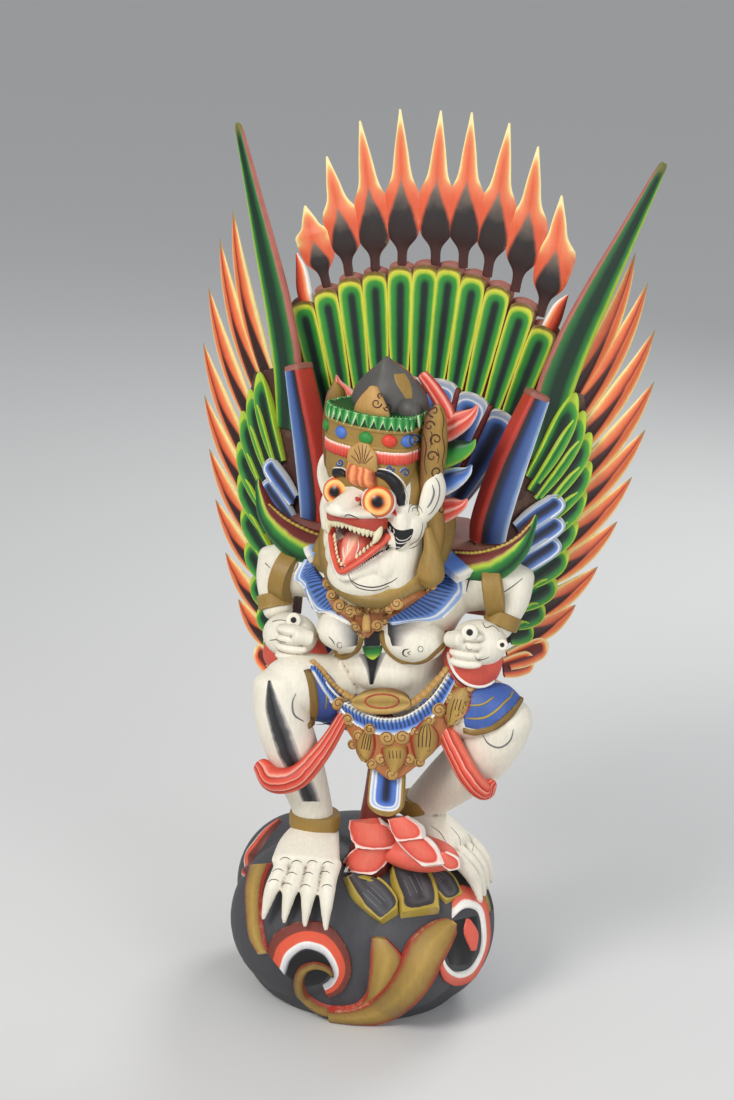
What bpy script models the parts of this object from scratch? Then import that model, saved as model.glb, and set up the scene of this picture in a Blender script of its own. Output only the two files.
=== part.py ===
"""A carved and painted garuda standing on a scrolled rock, with two wings and a tail fan that lift out.

The figure and its rock are one carving. Each wing and the tail fan is a board whose square tenon
drops into a pocket in the yoke behind the shoulders. Metres, +Z up, the face looks towards -Y.
The origin is on the flat underside of the rock.

Carved forms are written in steps, where the figure is FIGURE_STEPS high, a wing rises WING_STEPS
above the yoke and the tail fan rises FAN_STEPS above it, so each keeps its proportions at any size.
"""

import math

import bmesh
import bpy
from mathutils import Matrix, Vector

# Driving sizes
FIGURE_HEIGHT = 0.678
WING_RISE = 0.378
FAN_RISE = 0.410
WING_THICKNESS = 0.024
FAN_THICKNESS = 0.012
WING_TENON_WIDTH = 0.030
WING_TENON_THICKNESS = 0.018
WING_TENON_DEPTH = 0.040
FAN_TENON_WIDTH = 0.056
FAN_TENON_THICKNESS = 0.016
FAN_TENON_DEPTH = 0.046
TENON_CLEARANCE = 0.0004
SEAT_GAP = 0.0008
POCKET_WALL = 0.009
YOKE_CHAMFER = 0.012
WING_SWEEP_DEG = 33.0
HEAD_TURN_DEG = 19.0

# What the forms are counted in
FIGURE_STEPS = 678.0
WING_STEPS = 378.0
FAN_STEPS = 410.0
STEP = FIGURE_HEIGHT / FIGURE_STEPS
WING_STEP = WING_RISE / WING_STEPS
FAN_STEP = FAN_RISE / FAN_STEPS

# Places on the figure, in steps
YOKE_TOP = 490.0
WING_SEAT = (88.0, 21.0)
FAN_SEAT_Y = 80.0
HEAD_CENTRE = (-8.0, -50.0, 552.0)

# Grain of the figure's fused skin, and the share of its facets that is kept
SKIN_GRAIN = 0.0022
SKIN_KEPT = 0.0134
WING_KEPT = 0.52


def clear_scene():
    """Empty the file before building."""
    for old in list(bpy.data.objects):
        bpy.data.objects.remove(old)


def paint(name, colour, roughness=0.55):
    """A painted wood surface."""
    material = bpy.data.materials.new(name)
    material.use_nodes = True
    shader = material.node_tree.nodes["Principled BSDF"]
    shader.inputs["Base Color"].default_value = (*colour, 1.0)
    shader.inputs["Roughness"].default_value = roughness
    shader.inputs["Metallic"].default_value = 0.0
    return material


def add_rings(mesh, rings, tips):
    """Join rings of points into a closed skin. tips holds the two end points, or None for a flat end."""
    made = [[mesh.verts.new(point) for point in ring] for ring in rings]
    count = len(made[0])
    for lower, upper in zip(made, made[1:]):
        for i in range(count):
            j = (i + 1) % count
            mesh.faces.new((lower[i], lower[j], upper[j], upper[i]))
    for ring, tip, first in ((made[0], tips[0], True), (made[-1], tips[1], False)):
        if tip is None:
            mesh.faces.new(ring[::-1] if first else ring)
            continue
        point = mesh.verts.new(tip)
        for i in range(count):
            j = (i + 1) % count
            pair = (ring[j], ring[i]) if first else (ring[i], ring[j])
            mesh.faces.new((*pair, point))


def sweep(mesh, stations, sides=8, facing=(0, -1, 0), place=None, step=STEP, round_ends=0.55):
    """Add an elliptical limb through stations of (x, y, z, half width, half thickness).

    The half thickness is measured towards facing. round_ends domes each end by that share of its
    half thickness, and 0 leaves the ends flat.
    """
    place = place or Matrix.Identity(4)
    centres = [Vector(s[:3]) * step for s in stations]
    rings = []
    tangents = []
    for i, centre in enumerate(centres):
        before = centres[max(i - 1, 0)]
        after = centres[min(i + 1, len(centres) - 1)]
        tangent = (after - before).normalized()
        tangents.append(tangent)
        thick = Vector(facing)
        thick = (thick - tangent * thick.dot(tangent)).normalized()
        wide = thick.cross(tangent)
        half_width = stations[i][3] * step
        half_thick = (stations[i][4] if len(stations[i]) > 4 else stations[i][3]) * step
        ring = []
        for k in range(sides):
            angle = 2 * math.pi * k / sides
            offset = wide * math.cos(angle) * half_width - thick * math.sin(angle) * half_thick
            ring.append(place @ (centre + offset))
        rings.append(ring)
    tips = [None, None]
    if round_ends:
        for end, sign in ((0, -1), (-1, 1)):
            reach = (stations[end][4] if len(stations[end]) > 4 else stations[end][3]) * step * round_ends
            tips[end] = place @ (centres[end] + tangents[end] * reach * sign)
    add_rings(mesh, rings, tips)


def ball(mesh, centre, radii, rings=6, segments=10, place=None, step=STEP):
    """Add an ellipsoid."""
    place = place or Matrix.Identity(4)
    scale = Matrix.Diagonal((radii[0] * step, radii[1] * step, radii[2] * step, 1.0))
    spot = place @ Matrix.Translation(Vector(centre) * step) @ scale
    bmesh.ops.create_uvsphere(mesh, u_segments=segments, v_segments=rings, radius=1.0, matrix=spot)


def turned(mesh, profile, centre, sides=12, place=None, step=STEP):
    """Add an upright turned form through (height, half width x, half width y)."""
    place = place or Matrix.Identity(4)
    rings = []
    for height, wide_x, wide_y in profile:
        ring = []
        for k in range(sides):
            angle = 2 * math.pi * k / sides
            point = Vector((centre[0] + wide_x * math.cos(angle), centre[1] + wide_y * math.sin(angle), height))
            ring.append(place @ (point * step))
        rings.append(ring)
    add_rings(mesh, rings, (None, None))


def slab(mesh, outline, front, back, place):
    """Add a flat board. The outline runs counter-clockwise seen from the front, in (across, up)."""
    rings = [[place @ Vector((a, y, u)) for a, u in outline] for y in (front, back)]
    add_rings(mesh, rings, (None, None))


def sheet(mesh, surface, across, down, thickness, step=STEP):
    """Add a carved cloth or collar of even thickness. surface(u, v) gives a point, u and v from 0 to 1."""
    def grid(depth):
        rows = []
        for j in range(down + 1):
            row = []
            for i in range(across + 1):
                u, v = i / across, j / down
                point = Vector(surface(u, v))
                side = Vector(surface(u + 0.01, v)) - Vector(surface(u - 0.01, v))
                drop = Vector(surface(u, v + 0.01)) - Vector(surface(u, v - 0.01))
                normal = side.cross(drop).normalized()
                row.append(mesh.verts.new((point + normal * depth) * step))
            rows.append(row)
        return rows

    outer, inner = grid(0.0), grid(thickness)
    for j in range(down):
        for i in range(across):
            mesh.faces.new((outer[j][i], outer[j + 1][i], outer[j + 1][i + 1], outer[j][i + 1]))
            mesh.faces.new((inner[j][i], inner[j][i + 1], inner[j + 1][i + 1], inner[j + 1][i]))
    for i in range(across):
        mesh.faces.new((outer[0][i], outer[0][i + 1], inner[0][i + 1], inner[0][i]))
        mesh.faces.new((outer[down][i + 1], outer[down][i], inner[down][i], inner[down][i + 1]))
    for j in range(down):
        mesh.faces.new((outer[j + 1][0], outer[j][0], inner[j][0], inner[j + 1][0]))
        mesh.faces.new((outer[j][across], outer[j + 1][across], inner[j + 1][across], inner[j][across]))


def solid(name, mesh):
    """Turn a bmesh into an object."""
    bmesh.ops.recalc_face_normals(mesh, faces=mesh.faces)
    data = bpy.data.meshes.new(name)
    mesh.to_mesh(data)
    mesh.free()
    made = bpy.data.objects.new(name, data)
    bpy.context.collection.objects.link(made)
    return made


def helper(name, mesh):
    """An object that only shapes another one."""
    made = solid(name, mesh)
    made.hide_render = True
    made.display_type = "WIRE"
    return made


def boolean(target, other, operation):
    """Fuse another object into the target, or cut it away."""
    modifier = target.modifiers.new(other.name, "BOOLEAN")
    modifier.operation = operation
    modifier.object = other
    modifier.solver = "EXACT"
    modifier.use_self = operation == "UNION"
    return modifier


def mirrored(stations, side):
    """Stations on one side of the body. side is 1 for the figure's left and -1 for its right."""
    return [(side * s[0], *s[1:]) for s in stations]


def spaced(first, last, count):
    """Evenly spaced numbers, both ends included."""
    return [first + (last - first) * i / (count - 1) for i in range(count)]


def head_place():
    """The head's own frame: x across the face, -Y out of it, z up."""
    turn = Matrix.Rotation(math.radians(-HEAD_TURN_DEG), 4, "Z")
    return Matrix.Translation(Vector(HEAD_CENTRE) * STEP) @ turn


def wing_place(side):
    """The wing board's frame: x outwards along the board, -Y out of its painted face, z up."""
    sweep_angle = math.radians(WING_SWEEP_DEG)
    out = Vector((side * math.cos(sweep_angle), math.sin(sweep_angle), 0.0))
    back = Vector((-side * math.sin(sweep_angle), math.cos(sweep_angle), 0.0))
    seat = Vector((side * WING_SEAT[0], WING_SEAT[1], YOKE_TOP)) * STEP
    rows = ((out.x, back.x, 0.0, seat.x), (out.y, back.y, 0.0, seat.y), (0.0, 0.0, 1.0, seat.z), (0, 0, 0, 1))
    return Matrix(rows)


def fan_place():
    """The tail fan's frame, on the middle of the yoke's back edge."""
    return Matrix.Translation(Vector((0.0, FAN_SEAT_Y, YOKE_TOP)) * STEP)


def box(mesh, width, thickness, low, high, place):
    """Add a box about the frame's own z axis."""
    across, deep = width / 2, thickness / 2
    outline = ((-across, low), (across, low), (across, high), (-across, high))
    slab(mesh, outline, -deep, deep, place)


def rock(mesh):
    """The boulder: overlapping cloud lumps on a broad foot, with carved scrolls."""
    turned(mesh, ((-6, 104, 100), (14, 116, 112), (48, 129, 122), (90, 131, 124), (128, 112, 106),
                  (156, 76, 74), (170, 34, 34)), (-14, 8), sides=16)
    ball(mesh, (-48, -48, 86), (88, 86, 84), 9, 14)
    ball(mesh, (-84, 34, 84), (72, 70, 76), 7, 12)
    ball(mesh, (60, -4, 78), (70, 78, 82), 8, 12)
    ball(mesh, (44, -54, 72), (64, 62, 64), 7, 12)
    ball(mesh, (20, 60, 84), (78, 66, 78), 7, 12)


def spiral_path(centre, start, turns, first, last, count, depth):
    """Points along a spiral on the front of the rock, sinking by depth towards its rim."""
    path = []
    for i in range(count):
        share = i / (count - 1)
        angle = math.radians(start + 360 * turns * share)
        radius = first + (last - first) * share
        x = centre[0] + radius * math.cos(angle)
        z = centre[2] + radius * math.sin(angle)
        y = centre[1] + depth * (radius / first) ** 2
        path.append((x, y, z))
    return path


def rock_scrolls(mesh):
    """The scrolls, gold leaf and rings carved on the rock."""
    curl = spiral_path((-36, -134, 62), 200, -1.15, 44, 14, 12, 16)
    sweep(mesh, [(*p, 7, 7) for p in curl], sides=6)
    leaf = ((-58, -104, 40, 6, 6), (-30, -116, 22, 10, 8), (10, -116, 22, 18, 9), (48, -108, 42, 30, 9),
            (74, -102, 80, 26, 9), (94, -96, 116, 15, 8), (108, -92, 140, 4, 4))
    sweep(mesh, leaf, sides=8)
    sweep(mesh, ((34, -106, 46, 22, 9), (36, -118, 86, 18, 8), (33, -124, 112, 11, 6), (32, -124, 132, 3, 3)), sides=8)
    ring = []
    for i in range(11):
        angle = math.radians(100 + 330 * i / 10)
        ring.append((114 + 17 * math.cos(angle), -66 + 16 * math.cos(angle), 92 + 34 * math.sin(angle), 6, 6))
    sweep(mesh, ring, sides=6, facing=(0.8, -0.6, 0))
    sweep(mesh, ((-100, -72, 140, 7, 7), (-120, -62, 116, 8, 8), (-124, -60, 86, 9, 8), (-112, -74, 52, 6, 6)),
          sides=6, facing=(-0.7, -0.7, 0))
    crescent = []
    for i in range(7):
        angle = math.radians(66 + 84 * i / 6)
        swell = 7 * math.sin(math.pi * i / 6) + 3
        crescent.append((-84 + 74 * math.cos(angle), 16 - 12 * i / 6, 84 + 78 * math.sin(angle), swell, 5))
    sweep(mesh, crescent, sides=6)


def cloth_tails(mesh):
    """The red scallops and black tongues that fall over the rock between the feet."""
    sweep(mesh, ((12, -30, 312, 16, 22), (14, -42, 260, 17, 24), (10, -46, 205, 18, 24), (4, -50, 150, 24, 26)), sides=8)
    scallops = (((2, -62, 205), (4, -92, 182)), ((-2, -70, 190), (-4, -102, 164)), ((28, -60, 206), (54, -84, 186)),
                ((40, -62, 196), (74, -86, 172)), ((62, -52, 190), (92, -72, 170)))
    for start, end in scallops:
        middle = [(a + b) / 2 for a, b in zip(start, end)]
        sweep(mesh, ((*start, 14, 8), (*middle, 19, 9), (*end, 12, 6)), sides=8, facing=(0.2, -0.6, 0.8))
    tongues = (((2, -78, 164), (38, -118, 132), 17), ((36, -76, 166), (80, -110, 136), 21),
               ((68, -60, 164), (108, -90, 144), 14), ((92, -30, 166), (130, -32, 92), 9))
    for start, end, width in tongues:
        middle = [(a + b) / 2 for a, b in zip(start, end)]
        middle[2] += 6
        sweep(mesh, ((*start, width * 0.7, 6), (*middle, width, 7), (*end, width * 0.8, 5)), sides=8,
              facing=(0.3, -0.5, 0.8))


def leg_right(mesh):
    """The figure's right leg, knee forward, with its claws over the front of the rock."""
    sweep(mesh, ((-26, 0, 316, 36), (-52, -34, 332, 35), (-74, -66, 344, 31), (-88, -80, 344, 27)), sides=10)
    sweep(mesh, ((-90, -80, 348, 27), (-86, -84, 318, 27), (-76, -80, 286, 27, 25), (-64, -72, 250, 24),
                 (-56, -64, 220, 21), (-51, -60, 196, 20)), sides=10)
    turned(mesh, ((192, 25, 22), (206, 26, 23)), (-51, -62), sides=10)
    sweep(mesh, ((-50, -56, 184, 24, 18), (-49, -84, 182, 31, 14), (-46, -108, 172, 35, 12)), sides=8,
          facing=(0, -0.3, 1))
    for base, tip in zip(spaced(-69, -18, 4), spaced(-79, -14, 4)):
        toe = ((base, -100, 174, 8, 8), (base, -116, 164, 8, 8), ((base + tip) / 2, -130, 146, 7, 7),
               (tip, -135, 118, 2.5, 3))
        sweep(mesh, toe, sides=6, facing=(0, -1, 0.4))


def leg_left(mesh):
    """The figure's left leg, knee out to the side, with its claws over the rock's flank."""
    sweep(mesh, ((34, 0, 318, 36), (66, -12, 328, 36), (100, -28, 334, 33), (130, -36, 334, 26)), sides=10)
    sweep(mesh, ((134, -36, 334, 26), (122, -30, 306, 29, 26), (98, -16, 270, 30, 26), (70, 0, 236, 26, 24),
                 (44, 10, 206, 20)), sides=10)
    turned(mesh, ((196, 24, 22), (210, 25, 23)), (42, 10), sides=10)
    sweep(mesh, ((40, 8, 190, 22, 18), (64, 0, 184, 27, 15), (86, -8, 172, 30, 13)), sides=8, facing=(0.4, 0, 1))
    for across in spaced(-34, 16, 4):
        toe = ((76, across, 176, 8, 8), (96, across - 2, 168, 8, 8), (112, across - 4, 153, 7, 7),
               (122, across - 6, 130, 2.5, 3))
        sweep(mesh, toe, sides=6, facing=(0.6, 0, 0.8))


def torso(mesh):
    """Hips, belly, chest and neck."""
    sweep(mesh, ((14, 4, 294, 56, 40), (13, 2, 314, 68, 48), (10, -2, 340, 64, 48), (8, -8, 362, 58, 48),
                 (4, -12, 386, 62, 50), (1, -14, 412, 74, 54), (0, -12, 436, 84, 54), (0, -8, 456, 82, 48),
                 (-1, -14, 474, 58, 42), (-3, -28, 494, 42, 38), (-5, -42, 516, 38, 36)), sides=14)
    for side in (1, -1):
        ball(mesh, (side * 34 + 3, -50, 402), (32, 27, 22), 7, 10)
    ball(mesh, (6, -42, 362), (36, 20, 24), 6, 10)


def yoke_corner():
    """The yoke's outer back corner, in steps: a wall's thickness beyond the pocket that takes a wing."""
    swept = math.radians(WING_SWEEP_DEG)
    half_wide = WING_TENON_WIDTH / 2 + TENON_CLEARANCE
    half_thick = WING_TENON_THICKNESS / 2 + TENON_CLEARANCE
    outwards = half_wide * math.cos(swept) + half_thick * math.sin(swept) + POCKET_WALL
    backwards = half_wide * math.sin(swept) + half_thick * math.cos(swept) + POCKET_WALL
    return WING_SEAT[0] + outwards / STEP, WING_SEAT[1] + backwards / STEP


def yoke(mesh):
    """The ledge behind the shoulders that holds the tenons, and its two horn-shaped leaves."""
    side_edge, wing_back = yoke_corner()
    back_edge = FAN_SEAT_Y + (FAN_TENON_THICKNESS / 2 + POCKET_WALL) / STEP
    fan_edge = (FAN_TENON_WIDTH / 2 + POCKET_WALL) / STEP
    outline = ((-side_edge, -12), (side_edge, -12), (side_edge, wing_back), (fan_edge + 14, back_edge),
               (-fan_edge - 14, back_edge), (-side_edge, wing_back))
    edge = YOKE_TOP - (max(WING_TENON_DEPTH, FAN_TENON_DEPTH) + POCKET_WALL) / STEP
    rings = []
    for height, inset in ((edge - YOKE_CHAMFER / STEP, 0.86), (edge, 1.0), (YOKE_TOP, 1.0)):
        rings.append([Vector((x * inset, y * inset, height)) * STEP for x, y in outline])
    add_rings(mesh, rings, (None, None))
    for side in (1, -1):
        horn = ((62, -14, 468, 20, 12), (88, -18, 472, 19, 13), (110, -20, 484, 16, 13), (128, -20, 502, 11, 11),
                (138, -18, 524, 5, 6), (141, -16, 534, 2, 2))
        sweep(mesh, mirrored(horn, side), sides=8, facing=(0, -1, 0.2))


def pockets(mesh):
    """The space that each tenon needs in the yoke."""
    for side in (1, -1):
        place = wing_place(side)
        box(mesh, WING_TENON_WIDTH + 2 * TENON_CLEARANCE, WING_TENON_THICKNESS + 2 * TENON_CLEARANCE,
            -WING_TENON_DEPTH - TENON_CLEARANCE, 0.12, place)
    box(mesh, FAN_TENON_WIDTH + 2 * TENON_CLEARANCE, FAN_TENON_THICKNESS + 2 * TENON_CLEARANCE,
        -FAN_TENON_DEPTH - TENON_CLEARANCE, 0.12, fan_place())


def arm(mesh, side):
    """One arm akimbo, its fist on the hip in a red cup. The figure's left arm sits a little higher."""
    lift = 7 * side
    sweep(mesh, mirrored(((76, -4, 448 + lift / 2, 28), (100, -6, 450 + lift, 26), (122, 0, 456 + lift, 20)), side),
          sides=10)
    sweep(mesh, mirrored(((124, 2, 460 + lift, 18), (122, -8, 436 + lift, 18), (112, -22, 408 + lift, 15)), side),
          sides=8)
    sweep(mesh, mirrored(((100, -16, 446 + lift, 27, 27), (110, -14, 448 + lift, 27, 27)), side), sides=10,
          round_ends=0)
    ball(mesh, (side * 96, -34, 384 + lift), (29, 24, 25), 6, 10)
    for height in spaced(-15, 15, 4):
        ball(mesh, (side * 88, -54, 384 + lift + height), (17, 9, 5), 4, 8)
    sweep(mesh, mirrored(((70, -52, 392 + lift, 8), (84, -60, 396 + lift, 8)), side), sides=8, round_ends=0)
    ball(mesh, (side * 98, -14, 372 + lift), (37, 26, 26), 6, 12)


def hip_line(angle, drop):
    """A point round the hips, drop steps below the belt. The angle is 0 at the front."""
    x = 11 + 70 * math.sin(angle)
    y = -4 - (72 + 0.12 * drop) * math.cos(angle)
    z = 342 + 34 * (1 - math.cos(angle)) - drop
    return Vector((x, y, z))


def hip_dress(mesh):
    """The belt, the blue frill and the gold apron."""
    belt = [(*hip_line(math.radians(a), 0), 8, 7) for a in spaced(-100, 100, 13)]
    sweep(mesh, belt, sides=6, facing=(0, 0, 1))
    sweep(mesh, ((12, -66, 340, 20, 9), (12, -82, 338, 14, 6)), sides=10, facing=(0, 0, 1), round_ends=0.3)
    frill = [(*hip_line(math.radians(a), 16), 9, 8) for a in spaced(-84, 84, 13)]
    sweep(mesh, frill, sides=6, facing=(0, 0, 1))

    def apron(u, v):
        turn = math.radians(-78 + 156 * u)
        length = 12 + 50 * max(0.0, 1 - abs(2 * u - 1)) ** 0.9
        point = hip_line(turn, 20 + length * v)
        point.x += 14 * v * max(0.0, 1 - abs(2 * u - 1))
        point.y -= 3 + 5 * v
        return point

    sheet(mesh, apron, 12, 3, 14)
    for across, drop, size in ((-26, 28, 10), (0, 30, 12), (26, 28, 10), (-13, 44, 9), (14, 44, 9), (2, 58, 8)):
        spot = hip_line(math.radians(across * 1.1), drop)
        ball(mesh, (spot.x + 4, spot.y - 6, spot.z), (size, 6, size * 0.8), 4, 8)


def loincloth(mesh):
    """The blue panel that hangs in front of the red one."""
    sweep(mesh, ((24, -72, 300, 17, 6), (24, -76, 260, 20, 6), (25, -78, 234, 19, 6), (25, -78, 224, 12, 5)), sides=8)


def sashes(mesh):
    """The two red rolls of sash that hang from the hips."""
    sweep(mesh, ((-24, -62, 322, 6), (-38, -90, 290, 9), (-58, -108, 264, 12), (-82, -108, 256, 13),
                 (-100, -94, 262, 9)), sides=8)
    sweep(mesh, ((58, -34, 330, 9), (80, -52, 304, 10), (102, -60, 274, 11), (118, -52, 256, 10),
                 (124, -44, 262, 6)), sides=8)


def thigh_cuffs(mesh):
    """The gold hems of the blue breeches above each knee."""
    sweep(mesh, ((-62, -50, 338, 36), (-68, -58, 341, 36)), sides=12, facing=(0, 0, 1), round_ends=0)
    sweep(mesh, ((104, -30, 334, 36), (112, -32, 334, 34)), sides=12, facing=(0, 0, 1), round_ends=0)


def collar(mesh):
    """The blue collar, the gold torc and its leaf pendant."""
    def cape(u, v):
        turn = math.radians(-100 + 200 * u)
        shoulder = abs(math.sin(turn))
        reach_x = 54 + (34 + 6 * math.cos(6 * turn)) * v
        reach_y = 50 + (24 + 5 * math.cos(6 * turn)) * v
        z = 474 - 10 * (1 - shoulder) - (44 - 30 * shoulder) * v
        return (reach_x * math.sin(turn), -22 - reach_y * math.cos(turn) + 8 * shoulder, z)

    sheet(mesh, cape, 16, 3, 12)
    torc = []
    for angle in spaced(-110, 110, 13):
        turn = math.radians(angle)
        torc.append((57 * math.sin(turn), -30 - 56 * math.cos(turn), 474 - 14 * math.cos(turn), 9, 8))
    sweep(mesh, torc, sides=6, facing=(0, 0, 1))
    for angle in spaced(-62, 62, 7):
        turn = math.radians(angle)
        size = 9 if angle else 13
        drop = 442 + 12 * abs(math.sin(turn))
        ball(mesh, (58 * math.sin(turn), -34 - 58 * math.cos(turn), drop), (size, 7, size), 5, 8)
    sweep(mesh, ((0, -92, 446, 22, 6), (0, -94, 430, 17, 7), (0, -92, 412, 4, 4)), sides=8)


def head(mesh):
    """The bulging-eyed beast's head with its mouth open, in the head's own frame."""
    place = head_place()
    ball(mesh, (0, 2, 4), (50, 48, 52), 8, 14, place)
    ball(mesh, (0, -14, -40), (43, 38, 30), 7, 12, place)
    sweep(mesh, ((0, -24, 0, 42, 24), (0, -52, -4, 31, 17), (0, -70, -8, 24, 12), (0, -80, -12, 15, 7)), sides=10,
          facing=(0, 0, 1), place=place)
    sweep(mesh, ((0, -14, -52, 37, 20), (0, -36, -60, 29, 15), (0, -54, -70, 17, 8)), sides=10, facing=(0, 0, 1),
          place=place)
    for side in (1, -1):
        ball(mesh, (side * 24.6, -36, -2), (17, 17, 17), 8, 12, place)
        sweep(mesh, mirrored(((50, 4, -46, 4, 3), (57, 2, -30, 12, 5), (60, 6, -6, 13, 5), (58, 8, 10, 5, 3)), side),
              sides=8, facing=(0.9, 0.4, 0), place=place)
        drop = 6 * side
        hang = ((57 + drop / 2, 0, -34 + drop, 6), (62 + drop, -4, -56 + drop, 9), (62 + drop, -6, -74 + drop, 14),
                (61 + drop, -6, -82 + drop, 11))
        sweep(mesh, mirrored(hang, side), sides=8, place=place)
        sweep(mesh, mirrored(((40, -18, -20, 12), (38, -26, -38, 12)), side), sides=6, place=place)
        tusk = ((24, -46, -6, 6), (26, -50, -26, 4), (26, -52, -38, 1.5))
        sweep(mesh, mirrored(tusk, side), sides=6, place=place)
    sweep(mesh, ((0, -20, -36, 22, 10), (0, -46, -48, 16, 6), (0, -58, -50, 9, 4)), sides=8, facing=(0, 0, 1),
          place=place)


def crown(mesh):
    """The jewelled headband, its leaf plates, the topknot and the tongues behind it."""
    place = head_place()
    turned(mesh, ((12, 46, 44), (22, 50, 48), (44, 50, 49), (47, 53, 52), (66, 53, 52), (69, 50, 49), (76, 51, 50),
                  (88, 54, 53), (89, 42, 42)), (0, 2), sides=18, place=place)
    sweep(mesh, ((8, -36, 80, 21, 7), (8, -38, 98, 15, 6), (8, -37, 110, 5, 4)), sides=8, place=place)
    sweep(mesh, ((4, -50, 18, 17, 6), (4, -53, 34, 16, 6), (4, -52, 46, 9, 4)), sides=8, place=place)
    for angle in (-64, -26, 4, 36, 68):
        turn = math.radians(angle)
        ball(mesh, (53 * math.sin(turn), 2 - 53 * math.cos(turn), 57), (6.5, 6.5, 6.5), 5, 8, place)
    sweep(mesh, ((0, 8, 84, 42, 36), (0, 6, 98, 38, 28), (0, 2, 112, 20, 18), (0, 0, 124, 6, 7)), sides=10, place=place)
    ball(mesh, (34, 4, 88), (15, 15, 17), 5, 8, place)
    for side in (1, -1):
        plate = ((55, 10, -72, 4, 6), (58, 12, -40, 5, 12), (58, 12, -4, 6, 14), (58, 8, 40, 6, 14),
                 (58, 8, 72, 6, 12), (56, 8, 90, 4, 5))
        sweep(mesh, mirrored(plate, side), sides=8, facing=(0, -1, 0), place=place)
        for height, reach, rise in ((62, 62, 26), (36, 64, 18), (8, 62, 20), (-20, 60, 14)):
            tongue = ((34, 26, height - 8, 12, 8), (48, 32, height, 12, 8), (reach, 36, height + rise * 0.6, 8, 6),
                      (reach + 8, 37, height + rise, 2, 2))
            sweep(mesh, mirrored(tongue, side), sides=6, facing=(0, 1, 0), place=place)
    ball(mesh, (0, 30, 10), (42, 26, 60), 7, 10, place)


def figure():
    """The whole carved figure on its rock, as one solid."""
    first = bmesh.new()
    rest = bmesh.new()
    turned(first, ((-8, 88, 84), (40, 100, 96), (120, 84, 80), (140, 60, 60)), (-14, 8), sides=14)
    for part in (rock, rock_scrolls, cloth_tails, leg_right, leg_left, torso, yoke, hip_dress, loincloth, sashes,
                 thigh_cuffs, collar, head, crown):
        part(rest)
    for side in (1, -1):
        arm(rest, side)
    made = solid("figure_on_rock", first)
    boolean(made, helper("figure_forms", rest), "UNION")
    skin = made.modifiers.new("even skin", "REMESH")
    skin.mode = "VOXEL"
    skin.voxel_size = SKIN_GRAIN
    coarser = made.modifiers.new("coarser", "DECIMATE")
    coarser.ratio = SKIN_KEPT
    floor = bmesh.new()
    box(floor, 2 * FIGURE_HEIGHT, 2 * FIGURE_HEIGHT, -FIGURE_HEIGHT, 0.0, Matrix.Identity(4))
    boolean(made, helper("floor_cut", floor), "DIFFERENCE")
    holes = bmesh.new()
    pockets(holes)
    boolean(made, helper("tenon_pockets", holes), "DIFFERENCE")
    made.data.materials.append(paint("bone white", (0.83, 0.80, 0.70)))
    return made


# How deep each row of quills lies behind the wing's middle plane
LONG_QUILL_DEPTH = 0.21 * WING_THICKNESS / WING_STEP
SHORT_QUILL_DEPTH = -0.25 * WING_THICKNESS / WING_STEP

# Wing quills, top first: tip outwards, tip above the yoke, direction in degrees, length
LONG_QUILLS = ((150, 290, 66, 190), (168, 258, 61, 180), (182, 207, 56, 160), (187, 150, 51, 145),
               (182, 97, 46, 130), (171, 44, 42, 115), (158, -6, 37, 100), (139, -57, 34, 84), (116, -100, 30, 66),
               (86, -142, 22, 46), (70, -160, 14, 34))
SHORT_QUILLS = ((88, 142, 66, 96), (100, 122, 61, 96), (110, 98, 56, 86), (113, 66, 51, 76), (110, 34, 45, 68),
                (103, 0, 40, 60), (95, -34, 36, 52), (84, -66, 33, 44), (72, -95, 28, 34), (60, -118, 22, 26))
WING_SCALLOPS = ((62, 36), (64, 14), (62, -8))

# How far each hand-carved wing spreads its quills outwards and downwards
RIGHT_SPREAD = (1.08, 1.055)
LEFT_SPREAD = (0.90, 0.93)
SPREAD_FROM = 290.0

# Tail fan feathers and crest spikes from the middle outwards: tip across, tip above the yoke
FAN_FEATHERS = ((0, 254), (26.5, 252), (52.5, 245), (80, 237), (105, 222), (129, 204))
FAN_SPIKES = ((0, 410), (36, 409), (75, 396), (108, 366), (132, 317))
FAN_STEMS = ((0, 250), (27.5, 249), (55, 241), (82, 227), (109, 210))
FAN_RADIATE_FROM = -205.0


def quill_path(tip, degrees, length, curl, count):
    """Centre line of a quill from root to tip, turning by curl degrees on the way."""
    points = [tip]
    part = length / (count - 1)
    for i in range(count - 1):
        share = 1 - (i + 0.5) / (count - 1)
        turn = math.radians(degrees + curl * (share - 0.5))
        x, z = points[-1]
        points.append((x - part * math.cos(turn), z - part * math.sin(turn)))
    return points[::-1]


def quill(mesh, tip, degrees, length, half_width, depth, place, blunt=False):
    """One feather blade of the wing, ridged along its middle."""
    shape = ((0.8, 5.0), (1.0, 5.5), (0.92, 4.5), (0.42, 2.5)) if blunt else ((0.8, 5.5), (1.0, 5.5), (0.8, 4.0), (0.1, 1.5))
    path = quill_path(tip, degrees, length, 12 if blunt else 26, len(shape))
    stations = [(x, depth, z, half_width * wide, thick) for (x, z), (wide, thick) in zip(path, shape)]
    sweep(mesh, stations, sides=4, place=place, step=WING_STEP, round_ends=0.3)


def spread_out(point, spread):
    """Where a quill's point lies on a wing of the given spread."""
    x, z = point
    return (x * spread[0], SPREAD_FROM + (z - SPREAD_FROM) * spread[1])


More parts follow.
